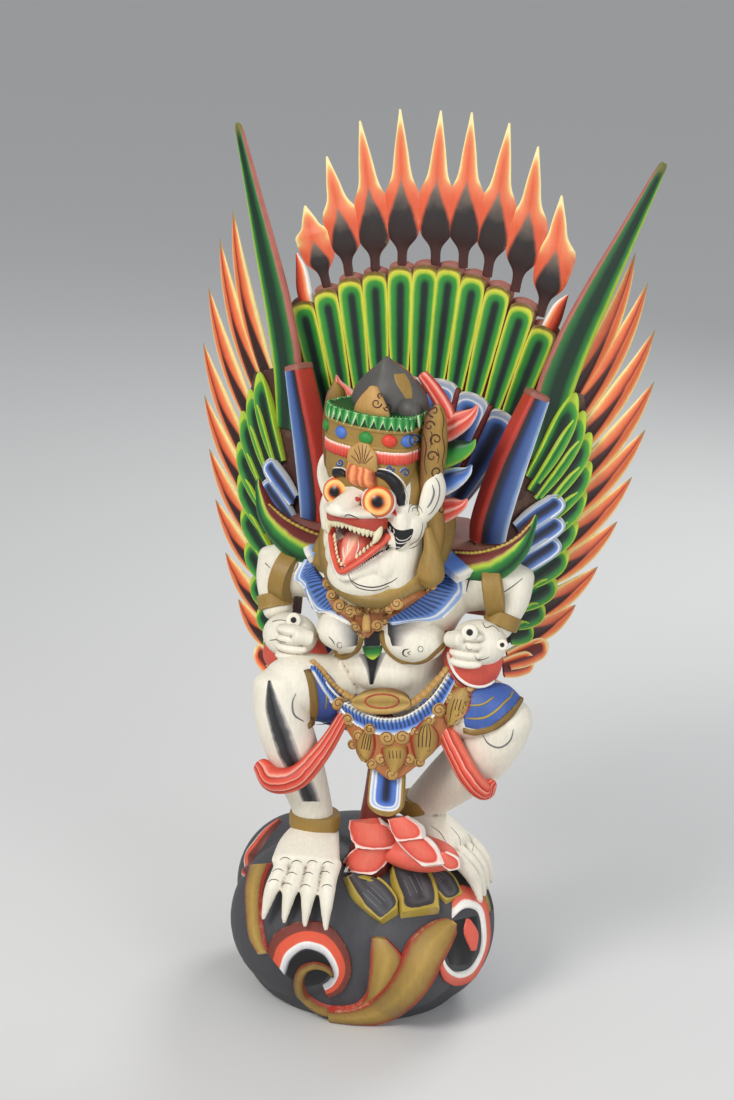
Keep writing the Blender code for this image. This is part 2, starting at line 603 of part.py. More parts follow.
def wing(name, side, spread):
    """One wing: a backing board under two rows of quills, with a post, a long spike and the tenon."""
    place = wing_place(side)
    swept = math.radians(WING_SWEEP_DEG)
    corner = [(a - b) * STEP for a, b in zip(yoke_corner(), WING_SEAT)]
    inner = (corner[0] * math.cos(swept) + corner[1] * math.sin(swept) + SEAT_GAP) / WING_STEP
    foot = SEAT_GAP / WING_STEP
    board = bmesh.new()
    outer = ((58, -126), (90, -60), (118, 10), (126, 90), (112, 168), (84, 176))
    outline = ((-15, foot), (inner, foot), (inner, -40), (inner + 4, -110), *[spread_out(p, spread) for p in outer],
               (46, 120), (10, 70))
    slab(board, [(a * WING_STEP, u * WING_STEP) for a, u in outline], -0.18 * WING_THICKNESS, 0.4 * WING_THICKNESS,
         place)
    made = solid(name, board)
    forms = bmesh.new()
    box(forms, WING_TENON_WIDTH, WING_TENON_THICKNESS, -WING_TENON_DEPTH + TENON_CLEARANCE, 0.02, place)
    post = ((0, 0, 3, 17, 12), (2, 0, 24, 18, 13), (14, 0, 70, 17, 13), (28, 0, 112, 14, 13), (41, 0, 148, 11, 12))
    sweep(forms, post, sides=8, place=place, step=WING_STEP, round_ends=0)
    spike = ((66, 2, 90, 15, 7), (63, 2, 146, 22, 8), (78, 2, 200, 19, 8), (98, 2, 252, 16, 7), (122, 2, 306, 11, 5),
             (155, 2, 378, 1.2, 1.5))
    sweep(forms, spike, sides=6, place=place, step=WING_STEP, round_ends=0)
    for i, (x, z, degrees, length) in enumerate(LONG_QUILLS):
        quill(forms, spread_out((x, z), spread), degrees, length, 13, LONG_QUILL_DEPTH, place, blunt=i >= len(LONG_QUILLS) - 2)
    for i, (x, z, degrees, length) in enumerate(SHORT_QUILLS):
        quill(forms, spread_out((x, z), spread), degrees, length, 12.5, SHORT_QUILL_DEPTH, place, blunt=i >= len(SHORT_QUILLS) - 2)
    for x, z in WING_SCALLOPS:
        ball(forms, (x - 12, -9, z), (20, 6, 15), 4, 8, place, WING_STEP)
    boolean(made, helper(name + "_forms", forms), "UNION")
    coarser = made.modifiers.new("coarser", "DECIMATE")
    coarser.ratio = WING_KEPT
    made.data.materials.append(paint(name + " orange", (0.78, 0.30, 0.10)))
    return made


def fan_lean(x, z, depth=0.0):
    """A point on the fan, which leans back a little as it rises."""
    return (x, depth, z)


def fan_spike(mesh, tip, stem, place):
    """One flame-shaped spike of the crest on its thin stem."""
    shape = ((0.0, 4), (0.12, 4.5), (0.26, 17.5), (0.44, 19), (0.62, 11.5), (1.0, 1.2))
    stations = []
    for share, width in shape:
        x = stem[0] + (tip[0] - stem[0]) * share
        z = stem[1] + (tip[1] - stem[1]) * share
        stations.append((*fan_lean(x, z), width, 4.5 if share < 1 else 1.5))
    sweep(mesh, stations, sides=4, place=place, step=FAN_STEP, round_ends=0)


def tail_fan():
    """The tail fan: a shield of feathers round a ring of petals, under a crest of flame spikes."""
    place = fan_place()
    board = bmesh.new()
    right = ((28, SEAT_GAP / FAN_STEP), (46, 34), (84, 90), (122, 118), (138, 168), (128, 196), (106, 212), (80, 226), (54, 236),
             (27, 243), (0, 245))
    outline = [*right, *[(-x, z) for x, z in right[-2::-1]]]
    rings = []
    for depth in (-0.35 * FAN_THICKNESS, 0.5 * FAN_THICKNESS):
        rings.append([place @ (Vector(fan_lean(x, z, depth / FAN_STEP)) * FAN_STEP) for x, z in outline])
    add_rings(board, rings, (None, None))
    made = solid("tail_fan", board)
    forms = bmesh.new()
    box(forms, FAN_TENON_WIDTH, FAN_TENON_THICKNESS, -FAN_TENON_DEPTH + TENON_CLEARANCE, 0.016, place)
    sweep(forms, ((0, 0, 2, 30, 9), (0, 0, 30, 26, 9), (0, 2, 70, 20, 9)), sides=8, place=place, step=FAN_STEP,
          round_ends=0)
    sides = [(x, z, sign) for x, z in FAN_FEATHERS for sign in ((1, -1) if x else (1,))]
    for x, z, sign in sides:
        away = Vector((sign * x, z - FAN_RADIATE_FROM)).normalized()
        foot = Vector((sign * x, z)) - away * 118
        middle = Vector((sign * x, z)) - away * 50
        stations = [(*fan_lean(*foot, -5), 9, 5), (*fan_lean(*middle, -5), 13.5, 5), (*fan_lean(sign * x, z, -3), 7, 3)]
        sweep(forms, stations, sides=4, place=place, step=FAN_STEP, round_ends=0.8)
    for degrees in spaced(-66, 66, 7):
        turn = math.radians(degrees)
        foot = (10 * math.sin(turn), 24)
        reach = 112 - 10 * abs(degrees) / 66
        tip = (reach * math.sin(turn) * 0.86, 24 + reach * math.cos(turn) * (0.94 + 0.3 * abs(math.sin(turn))))
        middle = [(a + b) / 2 for a, b in zip(foot, tip)]
        stations = [(*fan_lean(*foot, -6), 7, 5), (*fan_lean(*middle, -8), 17, 7), (*fan_lean(*tip, -6), 10, 4)]
        sweep(forms, stations, sides=4, place=place, step=FAN_STEP, round_ends=0.8)
    rim = [(*fan_lean(x * 1.02, z - 7), 8, 8) for x, z in FAN_FEATHERS]
    rim += [(*fan_lean(143, 168), 7, 7), (*fan_lean(134, 132), 8, 7), (*fan_lean(150, 112), 5, 5)]
    whole = [(-s[0], *s[1:]) for s in rim[:0:-1]] + rim
    sweep(forms, whole, sides=5, place=place, step=FAN_STEP)
    for tip, stem in zip(FAN_SPIKES, FAN_STEMS):
        for sign in (1, -1) if tip[0] else (1,):
            fan_spike(forms, (sign * tip[0], tip[1]), (sign * stem[0], stem[1]), place)
    boolean(made, helper("tail_fan_forms", forms), "UNION")
    made.data.materials.append(paint("leaf green", (0.20, 0.42, 0.20)))
    return made


def main():
    """Build the four pieces."""
    clear_scene()
    figure()
    wing("right_wing", -1, RIGHT_SPREAD)
    wing("left_wing", 1, LEFT_SPREAD)
    tail_fan()


main()
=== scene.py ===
"""Looks of a carved and painted garuda that stands on a scrolled rock, with two wings and a tail fan.

Everything is measured in millimetres and becomes metres when a mesh is made. The figure looks towards -Y.
"""

import logging
import math
from collections.abc import Callable
from dataclasses import dataclass, field
from enum import Enum

import bpy
import numpy as np
from mathutils import Matrix, Vector
from mathutils.bvhtree import BVHTree
from mathutils.geometry import tessellate_polygon


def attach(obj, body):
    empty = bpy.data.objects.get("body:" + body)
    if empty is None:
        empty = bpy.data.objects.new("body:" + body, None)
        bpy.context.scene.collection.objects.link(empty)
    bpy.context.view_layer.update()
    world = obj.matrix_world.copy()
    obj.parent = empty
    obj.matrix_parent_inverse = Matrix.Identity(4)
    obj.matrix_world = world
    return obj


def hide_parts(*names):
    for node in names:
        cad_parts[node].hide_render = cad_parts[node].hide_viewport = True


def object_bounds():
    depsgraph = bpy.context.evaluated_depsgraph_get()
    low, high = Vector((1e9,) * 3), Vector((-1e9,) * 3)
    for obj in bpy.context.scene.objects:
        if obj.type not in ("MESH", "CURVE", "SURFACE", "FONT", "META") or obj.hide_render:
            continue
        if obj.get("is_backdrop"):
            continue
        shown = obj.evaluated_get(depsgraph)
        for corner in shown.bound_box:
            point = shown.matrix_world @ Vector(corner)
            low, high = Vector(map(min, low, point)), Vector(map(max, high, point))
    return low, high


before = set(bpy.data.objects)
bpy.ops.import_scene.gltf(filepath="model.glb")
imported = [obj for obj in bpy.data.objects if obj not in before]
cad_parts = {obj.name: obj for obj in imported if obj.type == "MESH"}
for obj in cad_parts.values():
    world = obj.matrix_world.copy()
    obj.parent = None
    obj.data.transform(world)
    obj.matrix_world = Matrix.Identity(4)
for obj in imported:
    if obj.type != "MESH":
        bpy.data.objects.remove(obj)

LOG = logging.getLogger("garuda")
MM = 0.001
FRONT = (0.0, -1.0, 0.0)
UP = (0.0, 0.0, 1.0)
DOWN = (0.0, 0.0, -1.0)
FLOOR_GAP = 0.2  # everything stays this far above the floor
RIM_SUNK = 0.35  # how far the borders of a stroke sink into its surface
PATCH_SUNK = 0.3  # how far the borders of a patch sink in
LEAST_HALF = 0.25  # no limb or leaf is thinner than this, to either side
HAIRLINE = 0.15  # no stroke is narrower than this, to either side
CREASE_DEG = 38.0  # edges sharper than this stay sharp
ROW_SPAN = 20  # points from one station to the next of a line that beads or teeth follow
NO_TRIS = np.zeros((0, 3), int)


class Side(Enum):
    """The figure's own sides. The figure's left is on the viewer's right, at +X."""

    RIGHT = -1
    LEFT = 1


def srgb(red: float, green: float, blue: float) -> tuple[float, float, float]:
    """Turn a paint's screen colour into linear light.

    Args:
        red: Red, 0 to 255.
        green: Green, 0 to 255.
        blue: Blue, 0 to 255.

    Returns:
        The linear colour, 0 to 1.
    """
    return tuple(((c / 255 + 0.055) / 1.055) ** 2.4 if c > 10 else c / 3294 for c in (red, green, blue))


BONE = srgb(226, 220, 203)
GOLD = srgb(146, 116, 56)
GOLD_PALE = srgb(190, 158, 92)
OCHRE = srgb(172, 150, 66)
BLUE = srgb(70, 108, 182)
NAVY = srgb(34, 48, 92)
SKY = srgb(150, 178, 220)
RED = srgb(205, 62, 44)
SALMON = srgb(222, 98, 80)
PINK = srgb(232, 160, 140)
MAROON = srgb(104, 34, 28)
ROSE = srgb(148, 92, 80)
ORANGE = srgb(232, 98, 48)
PEACH = srgb(242, 160, 104)
CREAM = srgb(242, 222, 160)
GREEN = srgb(44, 128, 52)
PINE = srgb(14, 52, 30)
LIME = srgb(170, 196, 58)
CHARCOAL = srgb(62, 62, 66)
INK = srgb(22, 22, 24)
WHITE = srgb(240, 238, 230)


@dataclass
class Shape:
    """A mesh in the making.

    across, along and edge are what the paint reads: where a point lies from side to side (-1 to 1), from end
    to end (0 to 1), and how far it faces out or stands proud.
    """

    points: np.ndarray
    quads: np.ndarray
    tris: np.ndarray
    across: np.ndarray
    along: np.ndarray
    edge: np.ndarray

    def outward(self) -> "Shape":
        """Turn the faces of a closed shape outwards.

        Returns:
            The shape itself.
        """
        middle = self.points.mean(axis=0)
        p = self.points - middle
        corners = np.vstack([self.quads[:, [0, 1, 2]], self.quads[:, [0, 2, 3]], self.tris])
        a, b, c = p[corners[:, 0]], p[corners[:, 1]], p[corners[:, 2]]
        if np.einsum("ij,ij->i", a, np.cross(b, c)).sum() < 0:
            self.quads = self.quads[:, ::-1]
            self.tris = self.tris[:, ::-1]
        return self

    def moved(self, matrix: Matrix) -> "Shape":
        """Place a copy of the shape.

        Args:
            matrix: Where it goes.

        Returns:
            The placed copy, with its faces outwards.
        """
        m = np.array(matrix)
        points = self.points @ m[:3, :3].T + m[:3, 3]
        return Shape(points, self.quads, self.tris, self.across, self.along, self.edge).outward()


def joined(shapes: list[Shape]) -> Shape:
    """Put several shapes into one, without fusing them.

    Args:
        shapes: The shapes to join.

    Returns:
        One shape.
    """
    start = np.cumsum([0] + [len(s.points) for s in shapes])
    return Shape(
        np.vstack([s.points for s in shapes]),
        np.vstack([s.quads + n for s, n in zip(shapes, start)]),
        np.vstack([s.tris + n for s, n in zip(shapes, start)]),
        np.concatenate([s.across for s in shapes]),
        np.concatenate([s.along for s in shapes]),
        np.concatenate([s.edge for s in shapes]),
    )


def grid_quads(rows: int, columns: int, wrap: bool = False) -> np.ndarray:
    """Faces of a grid of points.

    Args:
        rows: Rows of points.
        columns: Points in a row.
        wrap: Whether each row closes on itself.

    Returns:
        Four point numbers a face.
    """
    index = np.arange(rows * columns).reshape(rows, columns)
    if wrap:
        index = np.concatenate([index, index[:, :1]], axis=1)
    corners = [index[:-1, :-1], index[:-1, 1:], index[1:, 1:], index[1:, :-1]]
    return np.stack(corners, axis=-1).reshape(-1, 4)


def smooth_line(stations: list, per_span: int) -> np.ndarray:
    """Run a smooth curve through stations.

    Args:
        stations: Rows of numbers, which are all smoothed alike.
        per_span: Points from one station to the next.

    Returns:
        One row a point.
    """
    p = np.array(stations, float)
    if per_span <= 1:
        return p
    p = np.vstack([2 * p[0] - p[1], p, 2 * p[-1] - p[-2]])
    t = np.linspace(0, 1, per_span, endpoint=False)[:, None]
    rows = []
    for a, b, c, d in zip(p, p[1:], p[2:], p[3:]):
        rows.append(0.5 * (2 * b + (c - a) * t + (2 * a - 5 * b + 4 * c - d) * t**2
                           + (3 * b - a - 3 * c + d) * t**3))
    rows.append(p[-2:-1])
    return np.vstack(rows)


def unit(vectors: np.ndarray) -> np.ndarray:
    """Scale vectors to length one.

    Args:
        vectors: One vector a row, or one vector.

    Returns:
        The scaled vectors.
    """
    return vectors / np.maximum(np.linalg.norm(vectors, axis=-1, keepdims=True), 1e-9)


def nothing() -> Shape:
    """What a mark that misses its surface leaves.

    Returns:
        A shape without points.
    """
    return Shape(np.zeros((0, 3)), np.zeros((0, 4), int), NO_TRIS, *np.zeros((3, 0)))


def lengths_along(line: np.ndarray) -> np.ndarray:
    """Measure a line.

    Args:
        line: One point a row; only x, y and z count.

    Returns:
        How far from its start each point lies.
    """
    return np.concatenate([[0], np.cumsum(np.linalg.norm(np.diff(line[:, :3], axis=0), axis=1))])


def spots_along(stations: list, first: float, short: float, every: float) -> list[list[float]]:
    """Space spots evenly on a smooth line.

    Args:
        stations: What the line runs through.
        first: How far from its start the first spot lies.
        short: How far before its end the spots stop.
        every: The distance from one to the next.

    Returns:
        (x, y, z) of each spot.
    """
    line = smooth_line(stations, ROW_SPAN)
    steps = lengths_along(line)
    return [[np.interp(d, steps, line[:, k]) for k in range(3)]
            for d in np.arange(first, steps[-1] - short, every)]


def between(first: tuple, second: tuple, share: float, halves: tuple) -> list:
    """Run a stroke between two borders.

    Args:
        first: (across, down) along one border.
        second: The other border, in the same direction.
        share: 0 to run on the first border, 1 to run on the second.
        halves: The stroke's half width at each mark.

    Returns:
        (across, down, half width) of each mark.
    """
    return [(a[0] * (1 - share) + b[0] * share, a[1] * (1 - share) + b[1] * share, half)
            for a, b, half in zip(first, second, halves)]


def oval(middle: tuple, reach: tuple, angles: np.ndarray, *half: float) -> list:
    """Marks round an oval.

    Args:
        middle: (across, down) of its middle.
        reach: Its half sizes across and down.
        angles: Where the marks lie.
        *half: A half width for all of them, if they are a stroke's.

    Returns:
        The marks.
    """
    return [(middle[0] + reach[0] * math.cos(a), middle[1] + reach[1] * math.sin(a), *half) for a in angles]


def tube(stations: list, sides: int = 22, per_span: int = 6, facing: tuple = FRONT, dome: float = 0.55,
         power: float = 2.0) -> Shape:
    """Carve a limb, a roll or a leaf with elliptical sections.

    Args:
        stations: (x, y, z, half width) or (x, y, z, half width, half thickness towards facing).
        sides: Points round a section.
        per_span: Sections from one station to the next.
        facing: The way its front looks.
        dome: How far the ends bulge, as a share of the half thickness; 0 for flat ends.
        power: 2 for an ellipse, more for a boxier section, less for a ridged one.

    Returns:
        A closed shape. across runs over its width and edge is 1 at the middle of its front.
    """
    line = smooth_line([(*s[:4], s[4] if len(s) > 4 else s[3]) for s in stations], per_span)
    centre, half = line[:, :3], np.maximum(line[:, 3:5], LEAST_HALF)
    tangent = unit(np.gradient(centre, axis=0))
    if dome:
        turns = np.radians([78, 52, 26])
        first = centre[0] - tangent[0] * (half[0, 1] * dome * np.sin(turns))[:, None]
        last = centre[-1] + tangent[-1] * (half[-1, 1] * dome * np.sin(turns[::-1]))[:, None]
        centre = np.vstack([first, centre, last])
        half = np.vstack([half[0] * np.cos(turns)[:, None], half, half[-1] * np.cos(turns[::-1])[:, None]])
        tangent = np.vstack([tangent[[0, 0, 0]], tangent, tangent[[-1, -1, -1]]])
    thick = unit(np.array(facing, float) - tangent * (tangent @ np.array(facing, float))[:, None])
    wide = np.cross(thick, tangent)
    turn = np.linspace(0, 2 * math.pi, sides, endpoint=False)
    c = np.sign(np.cos(turn)) * np.abs(np.cos(turn)) ** (2 / power)
    s = np.sign(np.sin(turn)) * np.abs(np.sin(turn)) ** (2 / power)
    rings = centre[:, None] + wide[:, None] * (c[None] * half[:, :1])[..., None]
    rings = rings + thick[:, None] * (s[None] * half[:, 1:])[..., None]
    count = len(centre)
    along = lengths_along(centre)
    along = along / along[-1]
    reach = half[[0, -1], 1] * (dome * 0.04 if dome else 0.0)
    ends = np.array([centre[0] - tangent[0] * reach[0], centre[-1] + tangent[-1] * reach[1]])
    k = np.arange(sides)
    j = (k + 1) % sides
    low, high = count * sides, count * sides + 1
    tris = np.vstack([np.stack([j, k, np.full(sides, low)], 1),
                      np.stack([k, j, np.full(sides, 0)], 1) + (count - 1) * sides])
    tris[sides:, 2] = high
    shape = Shape(
        np.vstack([rings.reshape(-1, 3), ends]),
        grid_quads(count, sides, True),
        tris,
        np.concatenate([np.tile(c, count), [0, 0]]),
        np.concatenate([np.repeat(along, sides), [0, 1]]),
        np.concatenate([np.tile(s, count), [0, 0]]),
    )
    return shape.outward()


def ball(centre: tuple, radii: tuple, pole: tuple = UP, rings: int = 14, sides: int = 24) -> Shape:
    """Carve an egg or a bead.

    Args:
        centre: Its middle.
        radii: Half sizes along x, y and z.
        pole: Where along is 0.
        rings: Bands from pole to pole.
        sides: Points round a band.

    Returns:
        A closed shape. along runs from the pole to the far side.
    """
    theta = np.linspace(0, math.pi, rings + 1)[1:-1]
    phi = np.linspace(0, 2 * math.pi, sides, endpoint=False)
    axis = unit(np.array(pole, float))
    helper = np.array((1.0, 0, 0)) if abs(axis[0]) < 0.9 else np.array((0, 1.0, 0))
    e1 = unit(np.cross(axis, helper))
    e2 = np.cross(axis, e1)
    ring = np.cos(phi)[:, None] * e1 + np.sin(phi)[:, None] * e2
    unit_points = np.sin(theta)[:, None, None] * ring[None] + np.cos(theta)[:, None, None] * axis
    points = np.vstack([unit_points.reshape(-1, 3), [axis, -axis]]) * np.array(radii)
    points = points + np.array(centre, float)
    count = len(theta)
    k = np.arange(sides)
    j = (k + 1) % sides
    tris = np.vstack([np.stack([k, j, np.full(sides, count * sides)], 1),
                      np.stack([j + (count - 1) * sides, k + (count - 1) * sides,
                                np.full(sides, count * sides + 1)], 1)])
    along = np.concatenate([np.repeat(theta / math.pi, sides), [0, 1]])
    zero = np.zeros(len(points))
    return Shape(points, grid_quads(count, sides, True), tris, zero, along, zero).outward()


def turned(profile: list, centre: tuple, sides: int = 64, per_span: int = 1, wave: tuple = (0, 0.0)) -> Shape:
    """Turn an upright form on the lathe.

    Args:
        profile: (height, half width x, half width y), bottom first.
        centre: x and y of its axis.
        sides: Points round it.
        per_span: Rings from one row of the profile to the next.
        wave: How many lobes it has and how deep they are as a share of its radius.

    Returns:
        A closed shape.
    """
    line = smooth_line(profile, per_span)
    turn = np.linspace(0, 2 * math.pi, sides, endpoint=False)
    lobe = 1 + wave[1] * np.cos(wave[0] * turn)
    rings = np.stack([centre[0] + np.outer(line[:, 1], np.cos(turn) * lobe),
                      centre[1] + np.outer(line[:, 2], np.sin(turn) * lobe),
                      np.repeat(line[:, :1], sides, axis=1)], -1)
    count = len(line)
    k = np.arange(sides)
    j = (k + 1) % sides
    tris = np.vstack([np.stack([j, k, np.full(sides, count * sides)], 1),
                      np.stack([k + (count - 1) * sides, j + (count - 1) * sides,
                                np.full(sides, count * sides + 1)], 1)])
    ends = [(centre[0], centre[1], line[0, 0]), (centre[0], centre[1], line[-1, 0])]
    along = np.linspace(0, 1, count)
    return Shape(
        np.vstack([rings.reshape(-1, 3), ends]),
        grid_quads(count, sides, True),
        tris,
        np.concatenate([np.tile(np.cos(turn), count), [0, 0]]),
        np.concatenate([np.repeat(along, sides), [0, 1]]),
        np.zeros(count * sides + 2),
    ).outward()


def sheet(surface: Callable, rows: int, columns: int, thickness: float) -> Shape:
    """Carve a cloth or a collar from a surface.

    Args:
        surface: Takes arrays u and v, 0 to 1, and gives points.
        rows: Points along v.
        columns: Points along u.
        thickness: How thick it is, towards the back.

    Returns:
        A closed shape. across is 2u - 1 and along is v.
    """
    u, v = np.meshgrid(np.linspace(0, 1, columns), np.linspace(0, 1, rows))
    points = surface(u, v)
    normal = unit(np.cross(np.gradient(points, axis=1), np.gradient(points, axis=0)))
    back = points - normal * thickness
    count = rows * columns
    index = np.arange(count).reshape(rows, columns)
    border = np.concatenate([index[0, :-1], index[:-1, -1], index[-1, :0:-1], index[:0:-1, 0]])
    after = np.roll(border, -1)
    quads = grid_quads(rows, columns)
    rim = np.stack([after, border, border + count, after + count], 1)
    return Shape(
        np.vstack([points.reshape(-1, 3), back.reshape(-1, 3)]),
        np.vstack([quads, quads[:, ::-1] + count, rim]),
        NO_TRIS,
        np.tile((2 * u - 1).ravel(), 2),
        np.tile(v.ravel(), 2),
        np.zeros(2 * count),
    ).outward()


def board(outline: list, front: float, back: float) -> Shape:
    """Saw a flat board in the x-z plane.

    Args:
        outline: Corners (x, z), counter-clockwise seen from the front.
        front: y of its front face.
        back: y of its back face.

    Returns:
        A closed shape.
    """
    count = len(outline)
    flat = [Vector((x, 0, z)) for x, z in outline]
    points = np.array([(x, y, z) for y in (front, back) for x, z in outline], float)
    face = np.array(triangles_of(flat))
    k = np.arange(count)
    j = (k + 1) % count
    rim = np.stack([k, j, j + count, k + count], 1)
    if np.cross(points[face[0, 1]] - points[face[0, 0]], points[face[0, 2]] - points[face[0, 0]])[1] > 0:
        face = face[:, ::-1]
    if np.cross(points[1] - points[0], (0, 1.0, 0)) @ (points[:count].mean(axis=0) - points[0]) > 0:
        rim = rim[:, ::-1]
    zero = np.zeros(2 * count)
    return Shape(points, rim, np.vstack([face, face[:, ::-1] + count]), zero, zero, zero).outward()


def tenon_of(size: tuple, above: float) -> Shape:
    """Saw a tenon that reaches down from z = 0.

    Args:
        size: Its width, thickness and depth.
        above: How far it reaches up into its board.

    Returns:
        A closed shape.
    """
    wide, thick, deep = size
    outline = [(-wide / 2, -deep), (wide / 2, -deep), (wide / 2, above), (-wide / 2, above)]
    return board(outline, -thick / 2, thick / 2)


def triangles_of(corners: list) -> list:
    """Split a flat polygon into triangles.

    Args:
        corners: Its corners in order.

    Returns:
        Three corner numbers a triangle.
    """
    return tessellate_polygon([corners])


def mesh_of(shape: Shape, name: str) -> bpy.types.Mesh:
    """Make a mesh in metres that carries what the paint reads.

    Args:
        shape: The shape.
        name: The mesh's name.

    Returns:
        The mesh.
    """
    mesh = bpy.data.meshes.new(name)
    quads, tris = shape.quads, shape.tris
    mesh.vertices.add(len(shape.points))
    mesh.vertices.foreach_set("co", (shape.points * MM).astype(np.float32).ravel())
    mesh.loops.add(quads.size + tris.size)
    mesh.loops.foreach_set("vertex_index", np.concatenate([quads.ravel(), tris.ravel()]).astype(np.int32))
    mesh.polygons.add(len(quads) + len(tris))
    starts = np.concatenate([np.arange(len(quads)) * 4, quads.size + np.arange(len(tris)) * 3])
    mesh.polygons.foreach_set("loop_start", starts.astype(np.int32))
    mesh.update(calc_edges=True)
    for key in ("across", "along", "edge"):
        layer = mesh.attributes.new(key, "FLOAT", "POINT")
        layer.data.foreach_set("value", getattr(shape, key).astype(np.float32))
    return mesh


def shape_of(mesh: bpy.types.Mesh) -> Shape:
    """Read a mesh back, in millimetres.

    Args:
        mesh: A mesh of triangles and quads.

    Returns:
        The shape, with zeros for what the mesh doesn't carry.
    """
    count = len(mesh.vertices)
    points = np.empty(count * 3, np.float32)
    mesh.vertices.foreach_get("co", points)
    loops = np.empty(len(mesh.loops), np.int32)
    mesh.loops.foreach_get("vertex_index", loops)
    start = np.empty(len(mesh.polygons), np.int32)
    size = np.empty(len(mesh.polygons), np.int32)
    mesh.polygons.foreach_get("loop_start", start)
    mesh.polygons.foreach_get("loop_total", size)
    if (size > 4).any():
        raise ValueError("only triangles and quads can be read back")
    quads = loops[start[size == 4][:, None] + np.arange(4)]
    tris = loops[start[size == 3][:, None] + np.arange(3)]
    read = {}
    for key in ("across", "along", "edge"):
        read[key] = np.zeros(count, np.float32)
        layer = mesh.attributes.get(key)
        if layer is not None and layer.domain == "POINT":
            layer.data.foreach_get("value", read[key])
    return Shape(points.reshape(-1, 3).astype(float) / MM, quads, tris, *read.values())


def evaluated(holder: bpy.types.Object) -> Shape:
    """Take what an object's modifiers make, and remove the object.

    Args:
        holder: The object with live modifiers.

    Returns:
        The plain shape that they leave.
    """
    graph = bpy.context.evaluated_depsgraph_get()
    made = bpy.data.meshes.new_from_object(holder.evaluated_get(graph), depsgraph=graph)
    shape = shape_of(made)
    source = holder.data
    bpy.data.objects.remove(holder)
    bpy.data.meshes.remove(source)
    bpy.data.meshes.remove(made)
    return shape


def holder_of(mesh: bpy.types.Mesh, name: str) -> bpy.types.Object:
    """Link a mesh into the scene for the time its modifiers need.

    Args:
        mesh: The mesh.
        name: The object's name.

    Returns:
        The object.
    """
    holder = bpy.data.objects.new(name, mesh)
    bpy.context.scene.collection.objects.link(holder)
    return holder


def carved(shapes: list[Shape], grain: float, softening: int) -> Shape:
    """Fuse overlapping shapes into one skin, as if carved from one block.

    Args:
        shapes: Closed shapes.
        grain: Size of the skin's facets.
        softening: How many times the tool marks are smoothed.

    Returns:
        One closed skin.
    """
    holder = holder_of(mesh_of(joined(shapes), "carving"), "carving")
    skin = holder.modifiers.new("skin", "REMESH")
    skin.mode = "VOXEL"
    skin.voxel_size = grain * MM
    soft = holder.modifiers.new("soften", "SMOOTH")
    soft.factor = 0.5
    soft.iterations = softening
    return evaluated(holder)


def surface_tree(shape: Shape) -> BVHTree:
    """Make a surface that ribbons can be laid on.

    Args:
        shape: The shape underneath.

    Returns:
        A search tree over its faces.
    """
    polygons = shape.quads.tolist() + shape.tris.tolist()
    return BVHTree.FromPolygons(shape.points.tolist(), polygons)


def ribbon(surface: BVHTree, path: list, lift: float = 0.25, per_span: int = 7, columns: int = 7,
           crown: float = 0.0) -> Shape:
    """Lay a painted stroke or a low carved band on a surface.

    Args:
        surface: What it lies on.
        path: (x, y, z, half width), near the surface.
        lift: How far it stands off the surface, its borders sink in.
        per_span: Rows from one station to the next.
        columns: Points over its width.
        crown: How much higher its middle stands.

    Returns:
        An open shape that faces outwards.
    """
    if len(path) < 2:
        LOG.warning("a mark missed its surface")
        return nothing()
    line = smooth_line(path, per_span)
    centres = []
    normals = []
    for row in line:
        spot, normal, _, _ = surface.find_nearest(Vector(row[:3]))
        centres.append(spot)
        normals.append(normal)
    centre = np.array(centres)
    normal = unit(np.array(normals))
    side = unit(np.cross(unit(np.gradient(centre, axis=0)), normal))
    spread = np.linspace(-1, 1, columns)
    half = np.maximum(line[:, 3], HAIRLINE)
    wanted = centre[:, None] + side[:, None] * (half[:, None] * spread[None])[..., None]
    points = np.empty_like(wanted)
    height = np.where(np.abs(spread) > 0.99, -RIM_SUNK, lift) + crown * (1 - spread**2)
    for i in range(len(line)):
        for k in range(columns):
            spot, local, _, _ = surface.find_nearest(Vector(wanted[i, k]))
            if np.dot(local, normal[i]) < 0.2:
                local = Vector(normal[i])
            drop = height[k] if 0 < i < len(line) - 1 else -RIM_SUNK
            points[i, k] = np.array(spot) + np.array(local) * drop
    quads = grid_quads(len(line), columns)
    middle = points[len(line) // 2, columns // 2]
    a, b = points[len(line) // 2 - 1, columns // 2], points[len(line) // 2, columns // 2 - 1]
    if np.cross(middle - a, b - middle) @ normal[len(line) // 2] > 0:
        quads = quads[:, ::-1]
    return Shape(points.reshape(-1, 3), quads, NO_TRIS, np.tile(spread, len(line)),
                 np.repeat(np.linspace(0, 1, len(line)), columns), np.zeros(points.size // 3))


EYE_SPOT = (526.0, -2227.0, 1173.0)
SIGHT = (14.0, 17.0, 3.5)
FOCAL = 2398.6
PAGE_MIDDLE = (367.0, 550.0)


def sight_turn() -> Matrix:
    """How the painter's eye is turned, from SIGHT: azimuth, elevation and tilt in degrees.

    Returns:
        Columns right, up and back.
    """
    az, el, tilt = (math.radians(v) for v in SIGHT)
    back = Vector((math.sin(az) * math.cos(el), -math.cos(az) * math.cos(el), math.sin(el)))
    level = Vector((math.cos(az), math.sin(az), 0))
    right = level * math.cos(tilt) + back.cross(level) * math.sin(tilt)
    return Matrix((right, back.cross(right), back)).transposed()


